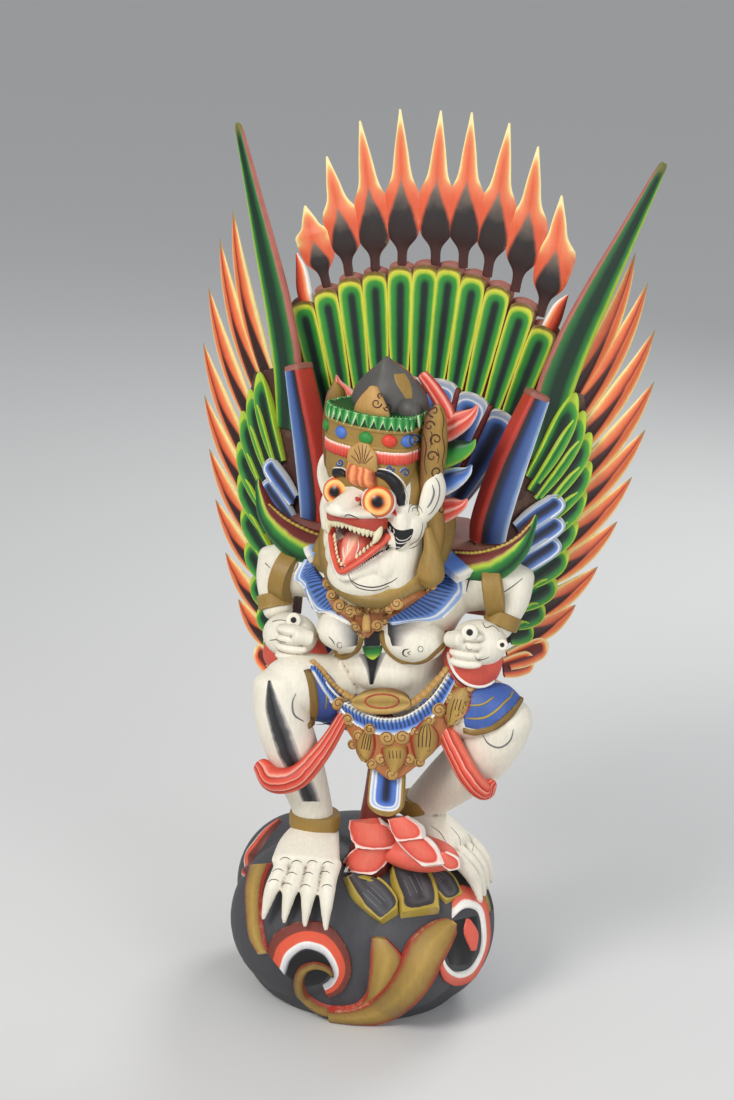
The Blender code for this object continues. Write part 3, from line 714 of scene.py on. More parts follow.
@dataclass(frozen=True)
class Sketch:
    """Lays painted marks on the carving along the painter's lines of sight.

    A mark is (across, down) on a page. corner is where that page's corner lies and scale is its unit in
    millimetres at the figure.
    """

    corner: tuple[float, float]
    scale: float

    def spot(self, surface: BVHTree, across: float, down: float) -> tuple[Vector, Vector] | None:
        """Find where a mark lands.

        Args:
            surface: What it lands on.
            across: From the page's left.
            down: From the page's top.

        Returns:
            The place and the way the surface faces, or None if it misses.
        """
        a = self.corner[0] + across * self.scale - PAGE_MIDDLE[0]
        b = PAGE_MIDDLE[1] - self.corner[1] - down * self.scale
        way = (sight_turn() @ Vector((a / FOCAL, b / FOCAL, -1))).normalized()
        place, normal, _, _ = surface.ray_cast(Vector(EYE_SPOT), way)
        if place is None:
            return None
        return place, normal if normal.dot(way) < 0 else -normal

    def path(self, surface: BVHTree, marks: tuple) -> list:
        """Find where a line of marks lands.

        Args:
            surface: What it lands on.
            marks: (across, down, half width in millimetres).

        Returns:
            (x, y, z, half width) for a ribbon.
        """
        found = [(self.spot(surface, a, b), half) for a, b, half in marks]
        return [(*hit[0], half) for hit, half in found if hit]

    def stroke(self, surface: BVHTree, marks: tuple, lift: float = 0.25, crown: float = 0.0) -> Shape:
        """Paint a stroke.

        Args:
            surface: What it is painted on.
            marks: (across, down, half width in millimetres).
            lift: How far it stands off.
            crown: How much higher its middle stands.

        Returns:
            The stroke.
        """
        return ribbon(surface, self.path(surface, marks), lift, 7, 7, crown)

    def curl(self, surface: BVHTree, across: float, down: float, radius: float, start: float, turns: float,
             half: float = 1.0, lift: float = 0.4, crown: float = 0.8) -> Shape:
        """Carve a scroll.

        Args:
            surface: What it lies on.
            across: Its middle, from the page's left.
            down: Its middle, from the page's top.
            radius: Its size in the page's unit.
            start: Where it starts, in degrees, clockwise from the right.
            turns: How often it turns; a negative number turns the other way.
            half: Its half width in millimetres.
            lift: How far it stands off.
            crown: How much higher its middle stands.

        Returns:
            The scroll.
        """
        marks = []
        for share in np.linspace(0, 1, 5 + int(6 * abs(turns))):
            angle = math.radians(start + 360 * turns * share)
            reach = radius * (1 - 0.8 * share)
            wide = half * (1 - 0.35 * share)
            marks.append((across + reach * math.cos(angle), down + reach * math.sin(angle), wide))
        return ribbon(surface, self.path(surface, tuple(marks)), lift, 3, 5, crown)

    def bosses(self, surface: BVHTree, table: tuple, rise: float = 0.5) -> list[tuple["Paint", Shape]]:
        """Carve rounded scrolls with a dark groove that winds into each.

        Args:
            surface: What they sit on.
            table: (across, down, radius, start in degrees, turns) of each.
            rise: How high they stand, as a share of their radius.

        Returns:
            Paints and shapes.
        """
        made = []
        for across, down, radius, start, turns in table:
            hit = self.spot(surface, across, down)
            if hit is None:
                continue
            size = radius * self.scale
            turn = hit[1].to_track_quat("Z", "Y").to_matrix().to_4x4()
            dome = ball((0, 0, 0), (size, size, rise * size)).moved(Matrix.Translation(hit[0]) @ turn)
            groove = self.curl(surface_tree(dome), across, down, radius * 0.82, start, turns, 0.8, 0.15, 0.0)
            made += [(GILT_WARM, dome), (GROOVE, groove)]
        return made

    def dots(self, surface: BVHTree, marks: tuple, form: Shape, finish: "Paint", every: float) -> Shape:
        """Set small forms in a row.

        Args:
            surface: What they sit on.
            marks: (across, down, size).
            form: One of them, which faces -y.
            finish: Its paint.
            every: Millimetres from one to the next at size 1.

        Returns:
            The row.
        """
        spots = self.path(surface, marks)
        if len(spots) < 2:
            LOG.warning("a row missed its surface")
            return nothing()
        line = smooth_line(spots, ROW_SPAN)
        steps = lengths_along(line)
        row = Row(form, finish, 0.12)
        reached = 0.0
        while reached < steps[-1]:
            x, y, z, size = (np.interp(reached, steps, line[:, k]) for k in range(4))
            ahead = Vector([np.interp(reached + 1, steps, line[:, k]) - v for k, v in enumerate((x, y, z))])
            near, normal, _, _ = surface.find_nearest(Vector((x, y, z)))
            row.put(near + normal * 0.2, normal, ahead if ahead.length > 0.1 else UP, (size, size, size))
            reached += every * size
        return row.shape()

    def patch(self, surface: BVHTree, first: tuple, second: tuple, lift: float = 0.25, columns: int = 10,
              deep: float = 0.0) -> Shape:
        """Fill the area between two borders.

        Args:
            surface: What it is painted on.
            first: (across, down) along one border.
            second: The other border, in the same direction.
            lift: How far it stands off.
            columns: Points from border to border.
            deep: How far below the surface its back lies; without it there is no back.

        Returns:
            The filled area, which faces outwards.
        """
        count = 7 * (max(len(first), len(second)) - 1) + 1
        borders = []
        for border in (first, second):
            line = smooth_line(border, 12)
            share, known = np.linspace(0, len(line) - 1, count), np.arange(len(line))
            borders.append(np.stack([np.interp(share, known, line[:, k]) for k in range(2)], 1))
        points = np.zeros((count, columns, 3))
        backs = np.zeros((count, columns, 3))
        last = None
        for i in range(count):
            for k, share in enumerate(np.linspace(0, 1, columns)):
                a, b = borders[0][i] * (1 - share) + borders[1][i] * share
                hit = self.spot(surface, a, b) or last
                if hit is None:
                    continue
                last = hit
                inside = 0 < k < columns - 1 and 0 < i < count - 1
                rim = 0.4 * lift if deep and 0 < i < count - 1 else -PATCH_SUNK
                points[i, k] = np.array(hit[0] + hit[1] * (lift if inside else rim))
                backs[i, k] = np.array(hit[0] - hit[1] * (deep if 0 < i < count - 1 else PATCH_SUNK))
        spread = np.linspace(-1, 1, columns)
        if deep:
            points = np.concatenate([points, backs[:, ::-1]], axis=1)
            spread = np.concatenate([spread, spread[::-1]])
            columns *= 2
        quads = grid_quads(count, columns, bool(deep))
        face = points.reshape(-1, 3)[quads[(count // 2) * (len(quads) // (count - 1)) + len(spread) // 4]]
        seat = np.array(EYE_SPOT)
        if np.cross(face[1] - face[0], face[3] - face[0]) @ (seat - face[0]) < 0:
            quads = quads[:, ::-1]
        return Shape(points.reshape(-1, 3), quads, NO_TRIS, np.tile(spread, count),
                     np.repeat(np.linspace(0, 1, count), columns), np.zeros(count * columns))


class Nodes:
    """Builds a node tree a line at a time."""

    def __init__(self, tree: bpy.types.NodeTree) -> None:
        """Keep the tree.

        Args:
            tree: The tree to build in.
        """
        self.tree = tree

    def add(self, kind: str, inputs: dict, out: int | str = 0, **props: object) -> bpy.types.NodeSocket:
        """Add a node.

        Args:
            kind: The node's type.
            inputs: Value or socket for each input name or number.
            out: Which output to return.
            **props: The node's own settings.

        Returns:
            The chosen output.
        """
        node = self.tree.nodes.new(kind)
        for key, value in props.items():
            setattr(node, key, value)
        for key, value in inputs.items():
            if isinstance(value, bpy.types.NodeSocket):
                self.tree.links.new(value, node.inputs[key])
            else:
                node.inputs[key].default_value = value
        return node.outputs[out]

    def math(self, operation: str, *values: float | bpy.types.NodeSocket) -> bpy.types.NodeSocket:
        """Add a Math node.

        Args:
            operation: What it does.
            *values: Its inputs in order.

        Returns:
            Its value.
        """
        return self.add("ShaderNodeMath", dict(enumerate(values)), operation=operation)

    def noise(self, at: bpy.types.NodeSocket, scale: float, detail: float,
              roughness: float = 0.5) -> bpy.types.NodeSocket:
        """Add a Noise Texture node.

        Args:
            at: Where it is read.
            scale: How fine it is.
            detail: How many finer layers it has.
            roughness: How strong these are.

        Returns:
            Its value.
        """
        inputs = {"Vector": at, "Scale": scale, "Detail": detail, "Roughness": roughness}
        return self.add("ShaderNodeTexNoise", inputs)

    def carried(self, name: str) -> bpy.types.NodeSocket:
        """Read what the shape carries.

        Args:
            name: across, along or edge.

        Returns:
            Its value.
        """
        return self.add("ShaderNodeAttribute", {}, out="Fac", attribute_name=name)

    def reach(self, value: bpy.types.NodeSocket, low: float, high: float) -> bpy.types.NodeSocket:
        """Map low to high onto 0 to 1, softly, and hold it there.

        Args:
            value: What is mapped.
            low: Where it is 0.
            high: Where it is 1.

        Returns:
            The mapped value.
        """
        return self.add("ShaderNodeMapRange", {0: value, 1: low, 2: high}, interpolation_type="SMOOTHSTEP")

    def mix(self, factor: float | bpy.types.NodeSocket, first: tuple | bpy.types.NodeSocket,
            second: tuple | bpy.types.NodeSocket, blend: str = "MIX") -> bpy.types.NodeSocket:
        """Mix two colours.

        Args:
            factor: How much of the second.
            first: The first colour.
            second: The second colour.
            blend: How they mix.

        Returns:
            The mixed colour.
        """
        inputs = {0: factor, 6: first, 7: second}
        return self.add("ShaderNodeMix", inputs, out=2, data_type="RGBA", blend_type=blend)

    def ramp(self, value: bpy.types.NodeSocket, stops: tuple) -> bpy.types.NodeSocket:
        """Add a colour ramp.

        Args:
            value: Where to read it.
            stops: (place, colour) from low to high.

        Returns:
            The colour.
        """
        colour = self.add("ShaderNodeValToRGB", {0: value})
        ramp = colour.node.color_ramp
        while len(ramp.elements) < len(stops):
            ramp.elements.new(0.5)
        for element, (place, tint) in zip(ramp.elements, stops):
            element.position = place
            element.color = (*tint, 1)
        return colour


@dataclass(frozen=True)
class Paint:
    """Brushed house paint on carved wood: one colour that drifts, cuts darkened by dirt and painted shade,
    and rubbed edges.
    """

    name: str
    colour: tuple
    roughness: float = 0.55
    drift: float = 0.22
    dirt_and_shade: float = 0.7
    rub: float = 0.5
    strokes: float = 0.5
    rubbed: tuple = srgb(196, 172, 134)

    def colour_at(self, nodes: Nodes, at: bpy.types.NodeSocket) -> bpy.types.NodeSocket:
        """Give the paint's clean colour.

        Args:
            nodes: The material's nodes.
            at: Object coordinates; not used by the plain paint.

        Returns:
            The colour.
        """
        socket = nodes.add("ShaderNodeRGB", {})
        socket.default_value = (*self.colour, 1)
        return socket

    def material(self) -> bpy.types.Material:
        """Build the material, or find the one already built.

        Returns:
            The material.
        """
        known = bpy.data.materials.get(self.name)
        if known:
            return known
        made = bpy.data.materials.new(self.name)
        made.use_nodes = True
        tree = made.node_tree
        shader = tree.nodes["Principled BSDF"]
        nodes = Nodes(tree)
        at = nodes.add("ShaderNodeTexCoord", {}, out="Object")
        colour = self.colour_at(nodes, at)
        broad = nodes.noise(at, 26.0, 5.0, 0.6)
        fine = nodes.noise(at, 330.0, 3.0, 0.65)
        lay = {"Vector": at, "Rotation": (0.35, 0.2, 0.5), "Scale": (330.0, 330.0, 50.0)}
        brush = nodes.noise(nodes.add("ShaderNodeMapping", lay), 1.0, 4.0, 0.7)
        light = nodes.math("MULTIPLY_ADD", broad, 2 * self.drift, 1 - self.drift)
        light = nodes.math("MULTIPLY_ADD", brush, 0.56 * self.strokes, light)
        light = nodes.math("SUBTRACT", light, 0.28 * self.strokes)
        light = nodes.add("ShaderNodeCombineColor", {0: light, 1: light, 2: light})
        colour = nodes.mix(1.0, colour, light, "MULTIPLY")
        point = nodes.add("ShaderNodeNewGeometry", {}, out="Pointiness")
        # Darken the hollow creases towards brown: part dirt in the cuts, part painted shade where less light
        # reaches.
        cut = nodes.reach(nodes.math("MULTIPLY_ADD", broad, 0.03, point), 0.43, 0.515)
        cut = nodes.math("SUBTRACT", 1.0, cut)
        dark = nodes.mix(1.0, colour, (*srgb(120, 92, 66), 1), "MULTIPLY")
        colour = nodes.mix(nodes.math("MULTIPLY", cut, self.dirt_and_shade), colour, dark)
        proud = nodes.reach(nodes.math("MULTIPLY_ADD", fine, 0.12, point), 0.6, 0.66)
        patchy = nodes.math("MULTIPLY", proud, nodes.reach(broad, 0.5, 0.62))
        colour = nodes.mix(nodes.math("MULTIPLY", patchy, self.rub), colour, (*self.rubbed, 1))
        tree.links.new(colour, shader.inputs["Base Color"])
        rough = nodes.math("MULTIPLY_ADD", broad, 0.24, self.roughness - 0.12)
        tree.links.new(rough, shader.inputs["Roughness"])
        height = nodes.math("ADD", nodes.math("MULTIPLY", brush, 0.7), nodes.math("MULTIPLY", fine, 0.3))
        bump = {"Height": height, "Strength": 0.4 * self.strokes, "Distance": 0.0007}
        tree.links.new(nodes.add("ShaderNodeBump", bump), shader.inputs["Normal"])
        shader.inputs["Specular IOR Level"].default_value = 0.4
        return made


@dataclass(frozen=True)
class BandPaint(Paint):
    """Paint in bands that follow what a shape carries.

    reads names it: across, along, edge or border, which is across made one-sided and closed round the tip,
    and which only counts from border_from on. root is a ramp along the shape for a heart that is root_width
    wide at the root and narrows by root_slope. tip is a colour that takes over in the last tip_reach. pleats
    is how many dark pleats lie across it.
    """

    stops: tuple = ()
    reads: str = "across"
    root: tuple = ()
    root_width: float = 1.0
    root_slope: float = 2.0
    border_from: tuple[float, float] = (-2.0, -1.0)
    pleats: float = 0.0
    tip: tuple | None = None
    tip_reach: float = 0.2
    closes: float = 0.9
    waver: float = 0.05

    def colour_at(self, nodes: Nodes, at: bpy.types.NodeSocket) -> bpy.types.NodeSocket:
        """Give the banded colour.

        Args:
            nodes: The material's nodes.
            at: Object coordinates.

        Returns:
            The colour.
        """
        across, along = nodes.carried("across"), nodes.carried("along")
        wander = nodes.noise(at, 90.0, 2.0)
        wander = nodes.math("MULTIPLY", nodes.math("SUBTRACT", wander, 0.5), 2 * self.waver)
        if self.reads == "across":
            value = nodes.math("MULTIPLY_ADD", across, 0.5, 0.5)
        elif self.reads == "border":
            near_tip = nodes.math("POWER", nodes.reach(along, self.closes, 1.0), 2)
            value = nodes.math("MULTIPLY", nodes.math("POWER", nodes.math("ABSOLUTE", across), 2),
                               nodes.math("SUBTRACT", 1.0, near_tip))
            value = nodes.math("SQRT", nodes.math("ADD", value, near_tip))
            value = nodes.math("MULTIPLY", value, nodes.reach(along, *self.border_from))
        else:
            value = nodes.carried(self.reads)
        colour = nodes.ramp(nodes.math("ADD", value, wander), self.stops)
        if self.pleats:
            wave = nodes.math("MULTIPLY", nodes.math("MULTIPLY_ADD", wander, 0.4, along), self.pleats)
            wave = nodes.math("FRACT", wave)
            wave = nodes.math("ABSOLUTE", nodes.math("SUBTRACT", wave, 0.5))
            inner = nodes.math("SUBTRACT", 1.0, nodes.reach(value, 0.5, 0.72))
            shade = nodes.math("MULTIPLY", nodes.math("MULTIPLY", nodes.reach(wave, 0.14, 0.4), inner), 0.75)
            colour = nodes.mix(shade, colour, (*INK, 1))
        if self.root:
            reach = nodes.math("MULTIPLY_ADD", along, self.root_slope, nodes.math("ABSOLUTE", across))
            reach = nodes.math("SUBTRACT", self.root_width, nodes.math("ADD", reach, wander))
            heart = nodes.ramp(nodes.math("ADD", along, wander), self.root)
            colour = nodes.mix(nodes.reach(reach, -0.1, 0.14), colour, heart)
        if self.tip:
            fade = nodes.reach(nodes.math("ADD", along, wander), 1 - self.tip_reach, 1.0)
            colour = nodes.mix(fade, colour, (*self.tip, 1))
        return colour


class Piece:
    """One object of the finished model, put together from shapes and their paints."""

    def __init__(self, name: str) -> None:
        """Start empty.

        Args:
            name: The object's name.
        """
        self.name = name
        self.parts: list[tuple[Shape, bpy.types.Material]] = []

    def add(self, finish: Paint, *shapes: Shape) -> None:
        """Add shapes with one paint.

        Args:
            finish: Their paint.
            *shapes: The shapes.
        """
        self.parts.extend((shape, finish.material()) for shape in shapes)

    def draw(self, finish: Paint, page: Sketch, surface: BVHTree, table: tuple, lift: float = 0.25,
             crown: float = 0.0) -> None:
        """Add a stroke for every row of a table.

        Args:
            finish: Their paint.
            page: The page that their marks are on.
            surface: What they are painted on.
            table: The marks of each stroke.
            lift: How far they stand off.
            crown: How much higher their middles stand.
        """
        for marks in table:
            self.add(finish, page.stroke(surface, marks, lift, crown))

    def curl(self, finish: Paint, page: Sketch, surface: BVHTree, table: tuple, *section: float) -> None:
        """Add a scroll for every row of a table.

        Args:
            finish: Their paint.
            page: The page that they are on.
            surface: What they lie on.
            table: (across, down, radius, start in degrees, turns) of each.
            *section: Their half width, how far they stand off and how much higher their middles stand.
        """
        for row in table:
            self.add(finish, page.curl(surface, *row, *section))

    def build(self, node: str | None = None) -> bpy.types.Object:
        """Make the object and hang it on the frame.

        Args:
            node: The CAD node that it stands for, if it is the one that does.

        Returns:
            The object.
        """
        whole = joined([shape for shape, _ in self.parts])
        whole.points[:, 2] = np.maximum(whole.points[:, 2], FLOOR_GAP)
        mesh = mesh_of(whole, self.name)
        materials = list(dict.fromkeys(material for _, material in self.parts))
        for material in materials:
            mesh.materials.append(material)
        quads = [np.full(len(shape.quads), materials.index(material)) for shape, material in self.parts]
        tris = [np.full(len(shape.tris), materials.index(material)) for shape, material in self.parts]
        mesh.polygons.foreach_set("material_index", np.concatenate(quads + tris).astype(np.int32))
        mesh.shade_smooth()
        mesh.set_sharp_from_angle(angle=math.radians(CREASE_DEG))
        made = holder_of(mesh, self.name)
        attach(made, "root")
        if node:
            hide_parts(node)
        count = 2 * len(whole.quads) + len(whole.tris)
        LOG.info("%s: %d triangles", self.name, count)
        return made


def set_input(modifier: bpy.types.NodesModifier, name: str, value: object) -> None:
    """Set a node modifier's input by its name.

    Args:
        modifier: The modifier.
        name: The input's name.
        value: What it takes.
    """
    for item in modifier.node_group.interface.items_tree:
        if item.item_type == "SOCKET" and item.in_out == "INPUT" and item.name == name:
            modifier[item.identifier] = value


def node_group(name: str, inputs: tuple) -> tuple[Nodes, bpy.types.Node, bpy.types.Node]:
    """Start a Geometry Nodes tree.

    Args:
        name: Its name.
        inputs: (name, socket type) for each input after the geometry.

    Returns:
        Its builder, its input node and its output node.
    """
    tree = bpy.data.node_groups.new(name, "GeometryNodeTree")
    tree.interface.new_socket("Geometry", in_out="INPUT", socket_type="NodeSocketGeometry")
    for label, kind in inputs:
        tree.interface.new_socket(label, in_out="INPUT", socket_type=kind)
    tree.interface.new_socket("Geometry", in_out="OUTPUT", socket_type="NodeSocketGeometry")
    source = tree.nodes.new("NodeGroupInput")
    result = tree.nodes.new("NodeGroupOutput")
    return Nodes(tree), source, result


def scatter_group() -> bpy.types.NodeTree:
    """The tree that sets a copy of one carved form on every point of a row, such as beads or teeth.

    Returns:
        The tree.
    """
    known = bpy.data.node_groups.get("carved row")
    if known:
        return known
    nodes, source, result = node_group("carved row", (
        ("Form", "NodeSocketObject"), ("Finish", "NodeSocketMaterial"), ("Unevenness", "NodeSocketFloat")))
    form = nodes.add("GeometryNodeObjectInfo", {"Object": source.outputs["Form"]}, out="Geometry")
    turn = nodes.add("GeometryNodeInputNamedAttribute", {"Name": "turn"}, data_type="FLOAT_VECTOR")
    size = nodes.add("GeometryNodeInputNamedAttribute", {"Name": "size"}, data_type="FLOAT_VECTOR")
    turn = nodes.add("FunctionNodeEulerToRotation", {0: turn})
    low = nodes.math("SUBTRACT", 1.0, source.outputs["Unevenness"])
    high = nodes.math("ADD", 1.0, source.outputs["Unevenness"])
    chance = nodes.add("FunctionNodeRandomValue", {2: low, 3: high, "Seed": 11}, out=1, data_type="FLOAT")
    size = nodes.add("ShaderNodeVectorMath", {0: size, "Scale": chance}, operation="SCALE")
    row = nodes.add("GeometryNodeInstanceOnPoints", {"Points": source.outputs["Geometry"], "Instance": form,
                                                     "Rotation": turn, "Scale": size})
    solid = nodes.add("GeometryNodeRealizeInstances", {"Geometry": row})
    painted = nodes.add("GeometryNodeSetMaterial", {"Geometry": solid, "Material": source.outputs["Finish"]})
    nodes.tree.links.new(painted, result.inputs[0])
    return nodes.tree


@dataclass
class Row:
    """A row of copies of one carved form, made by the scatter tree."""

    form: Shape
    finish: Paint
    unevenness: float
    places: list = field(default_factory=list)

    def put(self, spot: Vector | tuple, out: Vector | tuple = FRONT, up: Vector | tuple = UP,
            size: tuple[float, float, float] = (1.0, 1.0, 1.0)) -> None:
        """Add a place.

        Args:
            spot: Where the form's origin goes.
            out: Where its -Y side looks.
            up: Where its z side points, as nearly as out allows.
            size: Its scale along its own x, y and z.
        """
        back = -Vector(out).normalized()
        rise = Vector(up)
        rise = (rise - back * rise.dot(back)).normalized()
        right = back.cross(rise)
        turn = Matrix((right, back, rise)).transposed().to_euler()
        self.places.append((tuple(spot), tuple(turn), tuple(size)))

    def shape(self) -> Shape:
        """Run the tree.

        Returns:
            All the copies as one shape.
        """
        form = holder_of(mesh_of(self.form, "form"), "form")
        carrier = bpy.data.meshes.new("row")
        carrier.from_pydata([tuple(c * MM for c in spot) for spot, _, _ in self.places], [], [])
        for key, column in (("turn", 1), ("size", 2)):
            layer = carrier.attributes.new(key, "FLOAT_VECTOR", "POINT")
            layer.data.foreach_set("vector", np.array([p[column] for p in self.places], np.float32).ravel())
        holder = holder_of(carrier, "row")
        modifier = holder.modifiers.new("carved row", "NODES")
        modifier.node_group = scatter_group()
        set_input(modifier, "Form", form)
        set_input(modifier, "Finish", self.finish.material())
        set_input(modifier, "Unevenness", self.unevenness)
        made = evaluated(holder)
        source = form.data
        bpy.data.objects.remove(form)
        bpy.data.meshes.remove(source)
        return made


def plume_group() -> bpy.types.NodeTree:
    """The tree that carves a blade along every guide line: quills, fan feathers, petals and flame spikes.

    Returns:
        The tree.
    """
    known = bpy.data.node_groups.get("plumes")
    if known:
        return known
    nodes, source, result = node_group("plumes", (
        ("Section", "NodeSocketObject"), ("Finish", "NodeSocketMaterial"), ("Rows", "NodeSocketInt")))
    lines = nodes.add("GeometryNodeMeshToCurve", {"Mesh": source.outputs["Geometry"]})
    lines = nodes.add("GeometryNodeCurveSplineType", {"Curve": lines}, spline_type="CATMULL_ROM")
    rows = source.outputs["Rows"]
    lines = nodes.add("GeometryNodeSetSplineResolution", {"Geometry": lines, "Resolution": rows})
    half = nodes.add("GeometryNodeInputNamedAttribute", {"Name": "half"}, data_type="FLOAT")
    lines = nodes.add("GeometryNodeSetCurveNormal", {"Curve": lines}, mode="Z_UP")
    share = nodes.add("GeometryNodeSplineParameter", {})
    lines = nodes.add("GeometryNodeStoreNamedAttribute", {"Geometry": lines, "Name": "along", "Value": share},
                      data_type="FLOAT", domain="POINT")
    section = nodes.add("GeometryNodeObjectInfo", {"Object": source.outputs["Section"]}, out="Geometry")
    section = nodes.add("GeometryNodeMeshToCurve", {"Mesh": section})
    solid = nodes.add("GeometryNodeCurveToMesh", {"Curve": lines, "Profile Curve": section, "Scale": half})
    solid = nodes.add("GeometryNodeRealizeInstances", {"Geometry": solid})
    painted = nodes.add("GeometryNodeSetMaterial", {"Geometry": solid, "Material": source.outputs["Finish"]})
    nodes.tree.links.new(painted, result.inputs[0])
    return nodes.tree


RIDGED = ((-1, 0.02), (-0.9, 0.16), (-0.5, 0.2), (-0.07, 0.42), (0.07, 0.42), (0.5, 0.2), (0.9, 0.14),
    (1, 0.02), (0.85, -0.25), (-0.85, -0.25))
TROUGH = ((-1, 0.0), (-0.95, 0.26), (-0.82, 0.3), (-0.5, 0.12), (0, 0.04), (0.5, 0.12), (0.82, 0.3),
    (0.95, 0.26), (1, 0.0), (0.9, -0.3), (-0.9, -0.3))
LEAFY = ((-1, 0.0), (-0.8, 0.2), (-0.45, 0.34), (0, 0.4), (0.45, 0.34), (0.8, 0.2), (1, 0.0), (0.8, -0.25),
         (-0.8, -0.25))


@dataclass
class Plumes:
    """Blades that the plume tree carves along guide lines on a board's x-z plane."""

    finish: Paint
    section: tuple = RIDGED
    steps: int = 26
    guides: list = field(default_factory=list)

    def grow(self, path: list, round_from: float = 1.1) -> None:
        """Add a blade.

        Args:
            path: (x, y, z, half width) from root to tip.
            round_from: The share of its length where it starts to round off to nothing.
        """
        line = smooth_line(path, 12)
        share = np.linspace(0, 1, len(line))
        wanted = np.linspace(0, 1, self.steps)
        if round_from < 1:
            bend = np.sin(np.linspace(0, math.pi / 2, 12))
            wanted = np.concatenate([np.linspace(0, round_from, self.steps - 11)[:-1],
                round_from + (1 - round_from) * bend])
        line = np.stack([np.interp(wanted, share, line[:, k]) for k in range(4)], 1)
        if round_from < 1:
            line[-12:, 3] *= np.sqrt(np.maximum(1 - bend**2, 0.0004))
        self.guides.append(line)

    def shape(self) -> Shape:
        """Run the tree.

        Returns:
            All blades as one shape in the board's frame.
        """
        lengths = [len(g) for g in self.guides]
        starts = np.cumsum([0] + lengths)
        edges = [(k, k + 1) for a, n in zip(starts, lengths) for k in range(a, a + n - 1)]
        rows = np.vstack(self.guides)
        carrier = bpy.data.meshes.new("guides")
        carrier.from_pydata((rows[:, [0, 2, 1]] * (MM, MM, -MM)).tolist(), edges, [])
        layer = carrier.attributes.new("half", "FLOAT", "POINT")
        layer.data.foreach_set("value", np.maximum(rows[:, 3], 0.02).astype(np.float32))
        profile = bpy.data.meshes.new("section")
        count = len(self.section)
        corners = [(a * MM, -h * MM, 0) for a, h in self.section]
        profile.from_pydata(corners, [(k, (k + 1) % count) for k in range(count)], [])
        layer = profile.attributes.new("across", "FLOAT", "POINT")
        layer.data.foreach_set("value", [a for a, _ in self.section])
        layer = profile.attributes.new("edge", "FLOAT", "POINT")
        layer.data.foreach_set("value", [h for _, h in self.section])
        outline = holder_of(profile, "section")
        holder = holder_of(carrier, "guides")
        modifier = holder.modifiers.new("plumes", "NODES")
        modifier.node_group = plume_group()
        set_input(modifier, "Section", outline)
        set_input(modifier, "Finish", self.finish.material())
        set_input(modifier, "Rows", 1)
        made = evaluated(holder)
        bpy.data.objects.remove(outline)
        bpy.data.meshes.remove(profile)
        made.points = made.points[:, [0, 2, 1]] * (1, -1, 1)
        made.along = np.clip(made.along, 0, 1)
        return made


def spaced(first: float, last: float, count: int) -> list[float]:
    """Evenly spaced numbers.

    Args:
        first: The first.
        last: The last.
        count: How many.

    Returns:
        The numbers.
    """
    return np.linspace(first, last, count).tolist()


def mirrored(stations: list, side: int) -> list:
    """Stations on one side of the body.

    Args:
        stations: Stations for the figure's left.
        side: 1 for its left, -1 for its right.

    Returns:
        The stations.
    """
    return [(side * s[0], *s[1:]) for s in stations]


# The bone paint darkens its creases strongly: dirt, and painted shade in the body's creases and on the legs.
SKIN = Paint("bone paint", BONE, 0.5, 0.13, 1.15, 0.4, 0.6, srgb(176, 150, 112))
CLAW = Paint("claw ivory", srgb(222, 214, 178), 0.5, 0.14, 0.9, 0.3)
GILT = Paint("old gold paint", GOLD, 0.5, 0.3, 0.9, 0.9, 0.8, srgb(196, 168, 104))
GILT_WARM = Paint("carved gold paint", srgb(178, 138, 78), 0.5, 0.3, 1.0, 0.7, 0.8, srgb(214, 178, 116))
STONE = Paint("charcoal rock paint", srgb(66, 66, 70), 0.6, 0.3, 0.4, 0.25, 0.7, srgb(120, 116, 112))
BLACK = Paint("black paint", INK, 0.45, 0.2, 0.2, 0.3, 0.5, srgb(90, 84, 78))
WHITE_LINE = Paint("white line paint", WHITE, 0.5, 0.1, 0.4, 0.3)
RED_PAINT = Paint("red paint", RED, 0.5, 0.25, 0.7, 0.5)
CORAL = Paint("coral paint", SALMON, 0.5, 0.2, 0.6, 0.5)
MAROON_PAINT = Paint("maroon paint", MAROON, 0.5, 0.25, 0.5, 0.4)
ROSE_PAINT = Paint("rose taupe paint", ROSE, 0.6, 0.3, 0.6, 0.16, 0.8)
BLUE_PAINT = Paint("blue paint", BLUE, 0.5, 0.18, 0.6, 0.4)
GREEN_PAINT = Paint("green paint", GREEN, 0.5, 0.2, 0.7, 0.4)
OCHRE_PAINT = Paint("ochre paint", OCHRE, 0.5, 0.2, 0.6, 0.4)
PINE_PAINT = Paint("dark green paint", srgb(16, 74, 36), 0.45, 0.2, 0.6, 0.3)
BOARD = Paint("wing board paint", srgb(74, 44, 38), 0.6, 0.3, 0.5, 0.14, 0.8)
TOPKNOT = Paint("topknot paint", srgb(82, 80, 76), 0.55, 0.35, 0.6, 0.5)

QUILL = BandPaint("orange quill paint", ORANGE, 0.5, 0.12, 0.6, 0.4,
    stops=((0.0, CREAM), (0.07, srgb(232, 206, 130)), (0.15, srgb(232, 140, 86)), (0.34, srgb(214, 92, 50)),
        (0.46, srgb(120, 34, 22)), (0.52, srgb(228, 120, 76)), (0.7, srgb(220, 100, 56)),
        (0.86, srgb(232, 140, 86)), (0.94, srgb(232, 206, 130)), (1.0, CREAM)),
    root=((0.0, srgb(30, 16, 16)), (0.5, srgb(60, 22, 16)), (1.0, MAROON)), root_width=0.85, root_slope=1.4,
    tip=srgb(150, 124, 80), tip_reach=0.12, waver=0.03)
BLUNT = BandPaint("maroon quill paint", ORANGE, 0.5, 0.12, 0.6, 0.4, reads="border", closes=0.7, stops=(
    (0.0, MAROON), (0.4, MAROON), (0.62, ORANGE), (0.8, PEACH), (0.93, CREAM), (1.0, CREAM)))
COVERT = BandPaint("green covert paint", GREEN, 0.5, 0.15, 0.5, 0.4, reads="border", closes=0.6,
    stops=((0.0, srgb(12, 26, 18)), (0.36, PINE), (0.62, GREEN), (0.8, srgb(80, 150, 50)), (0.88, LIME),
        (1.0, LIME)))
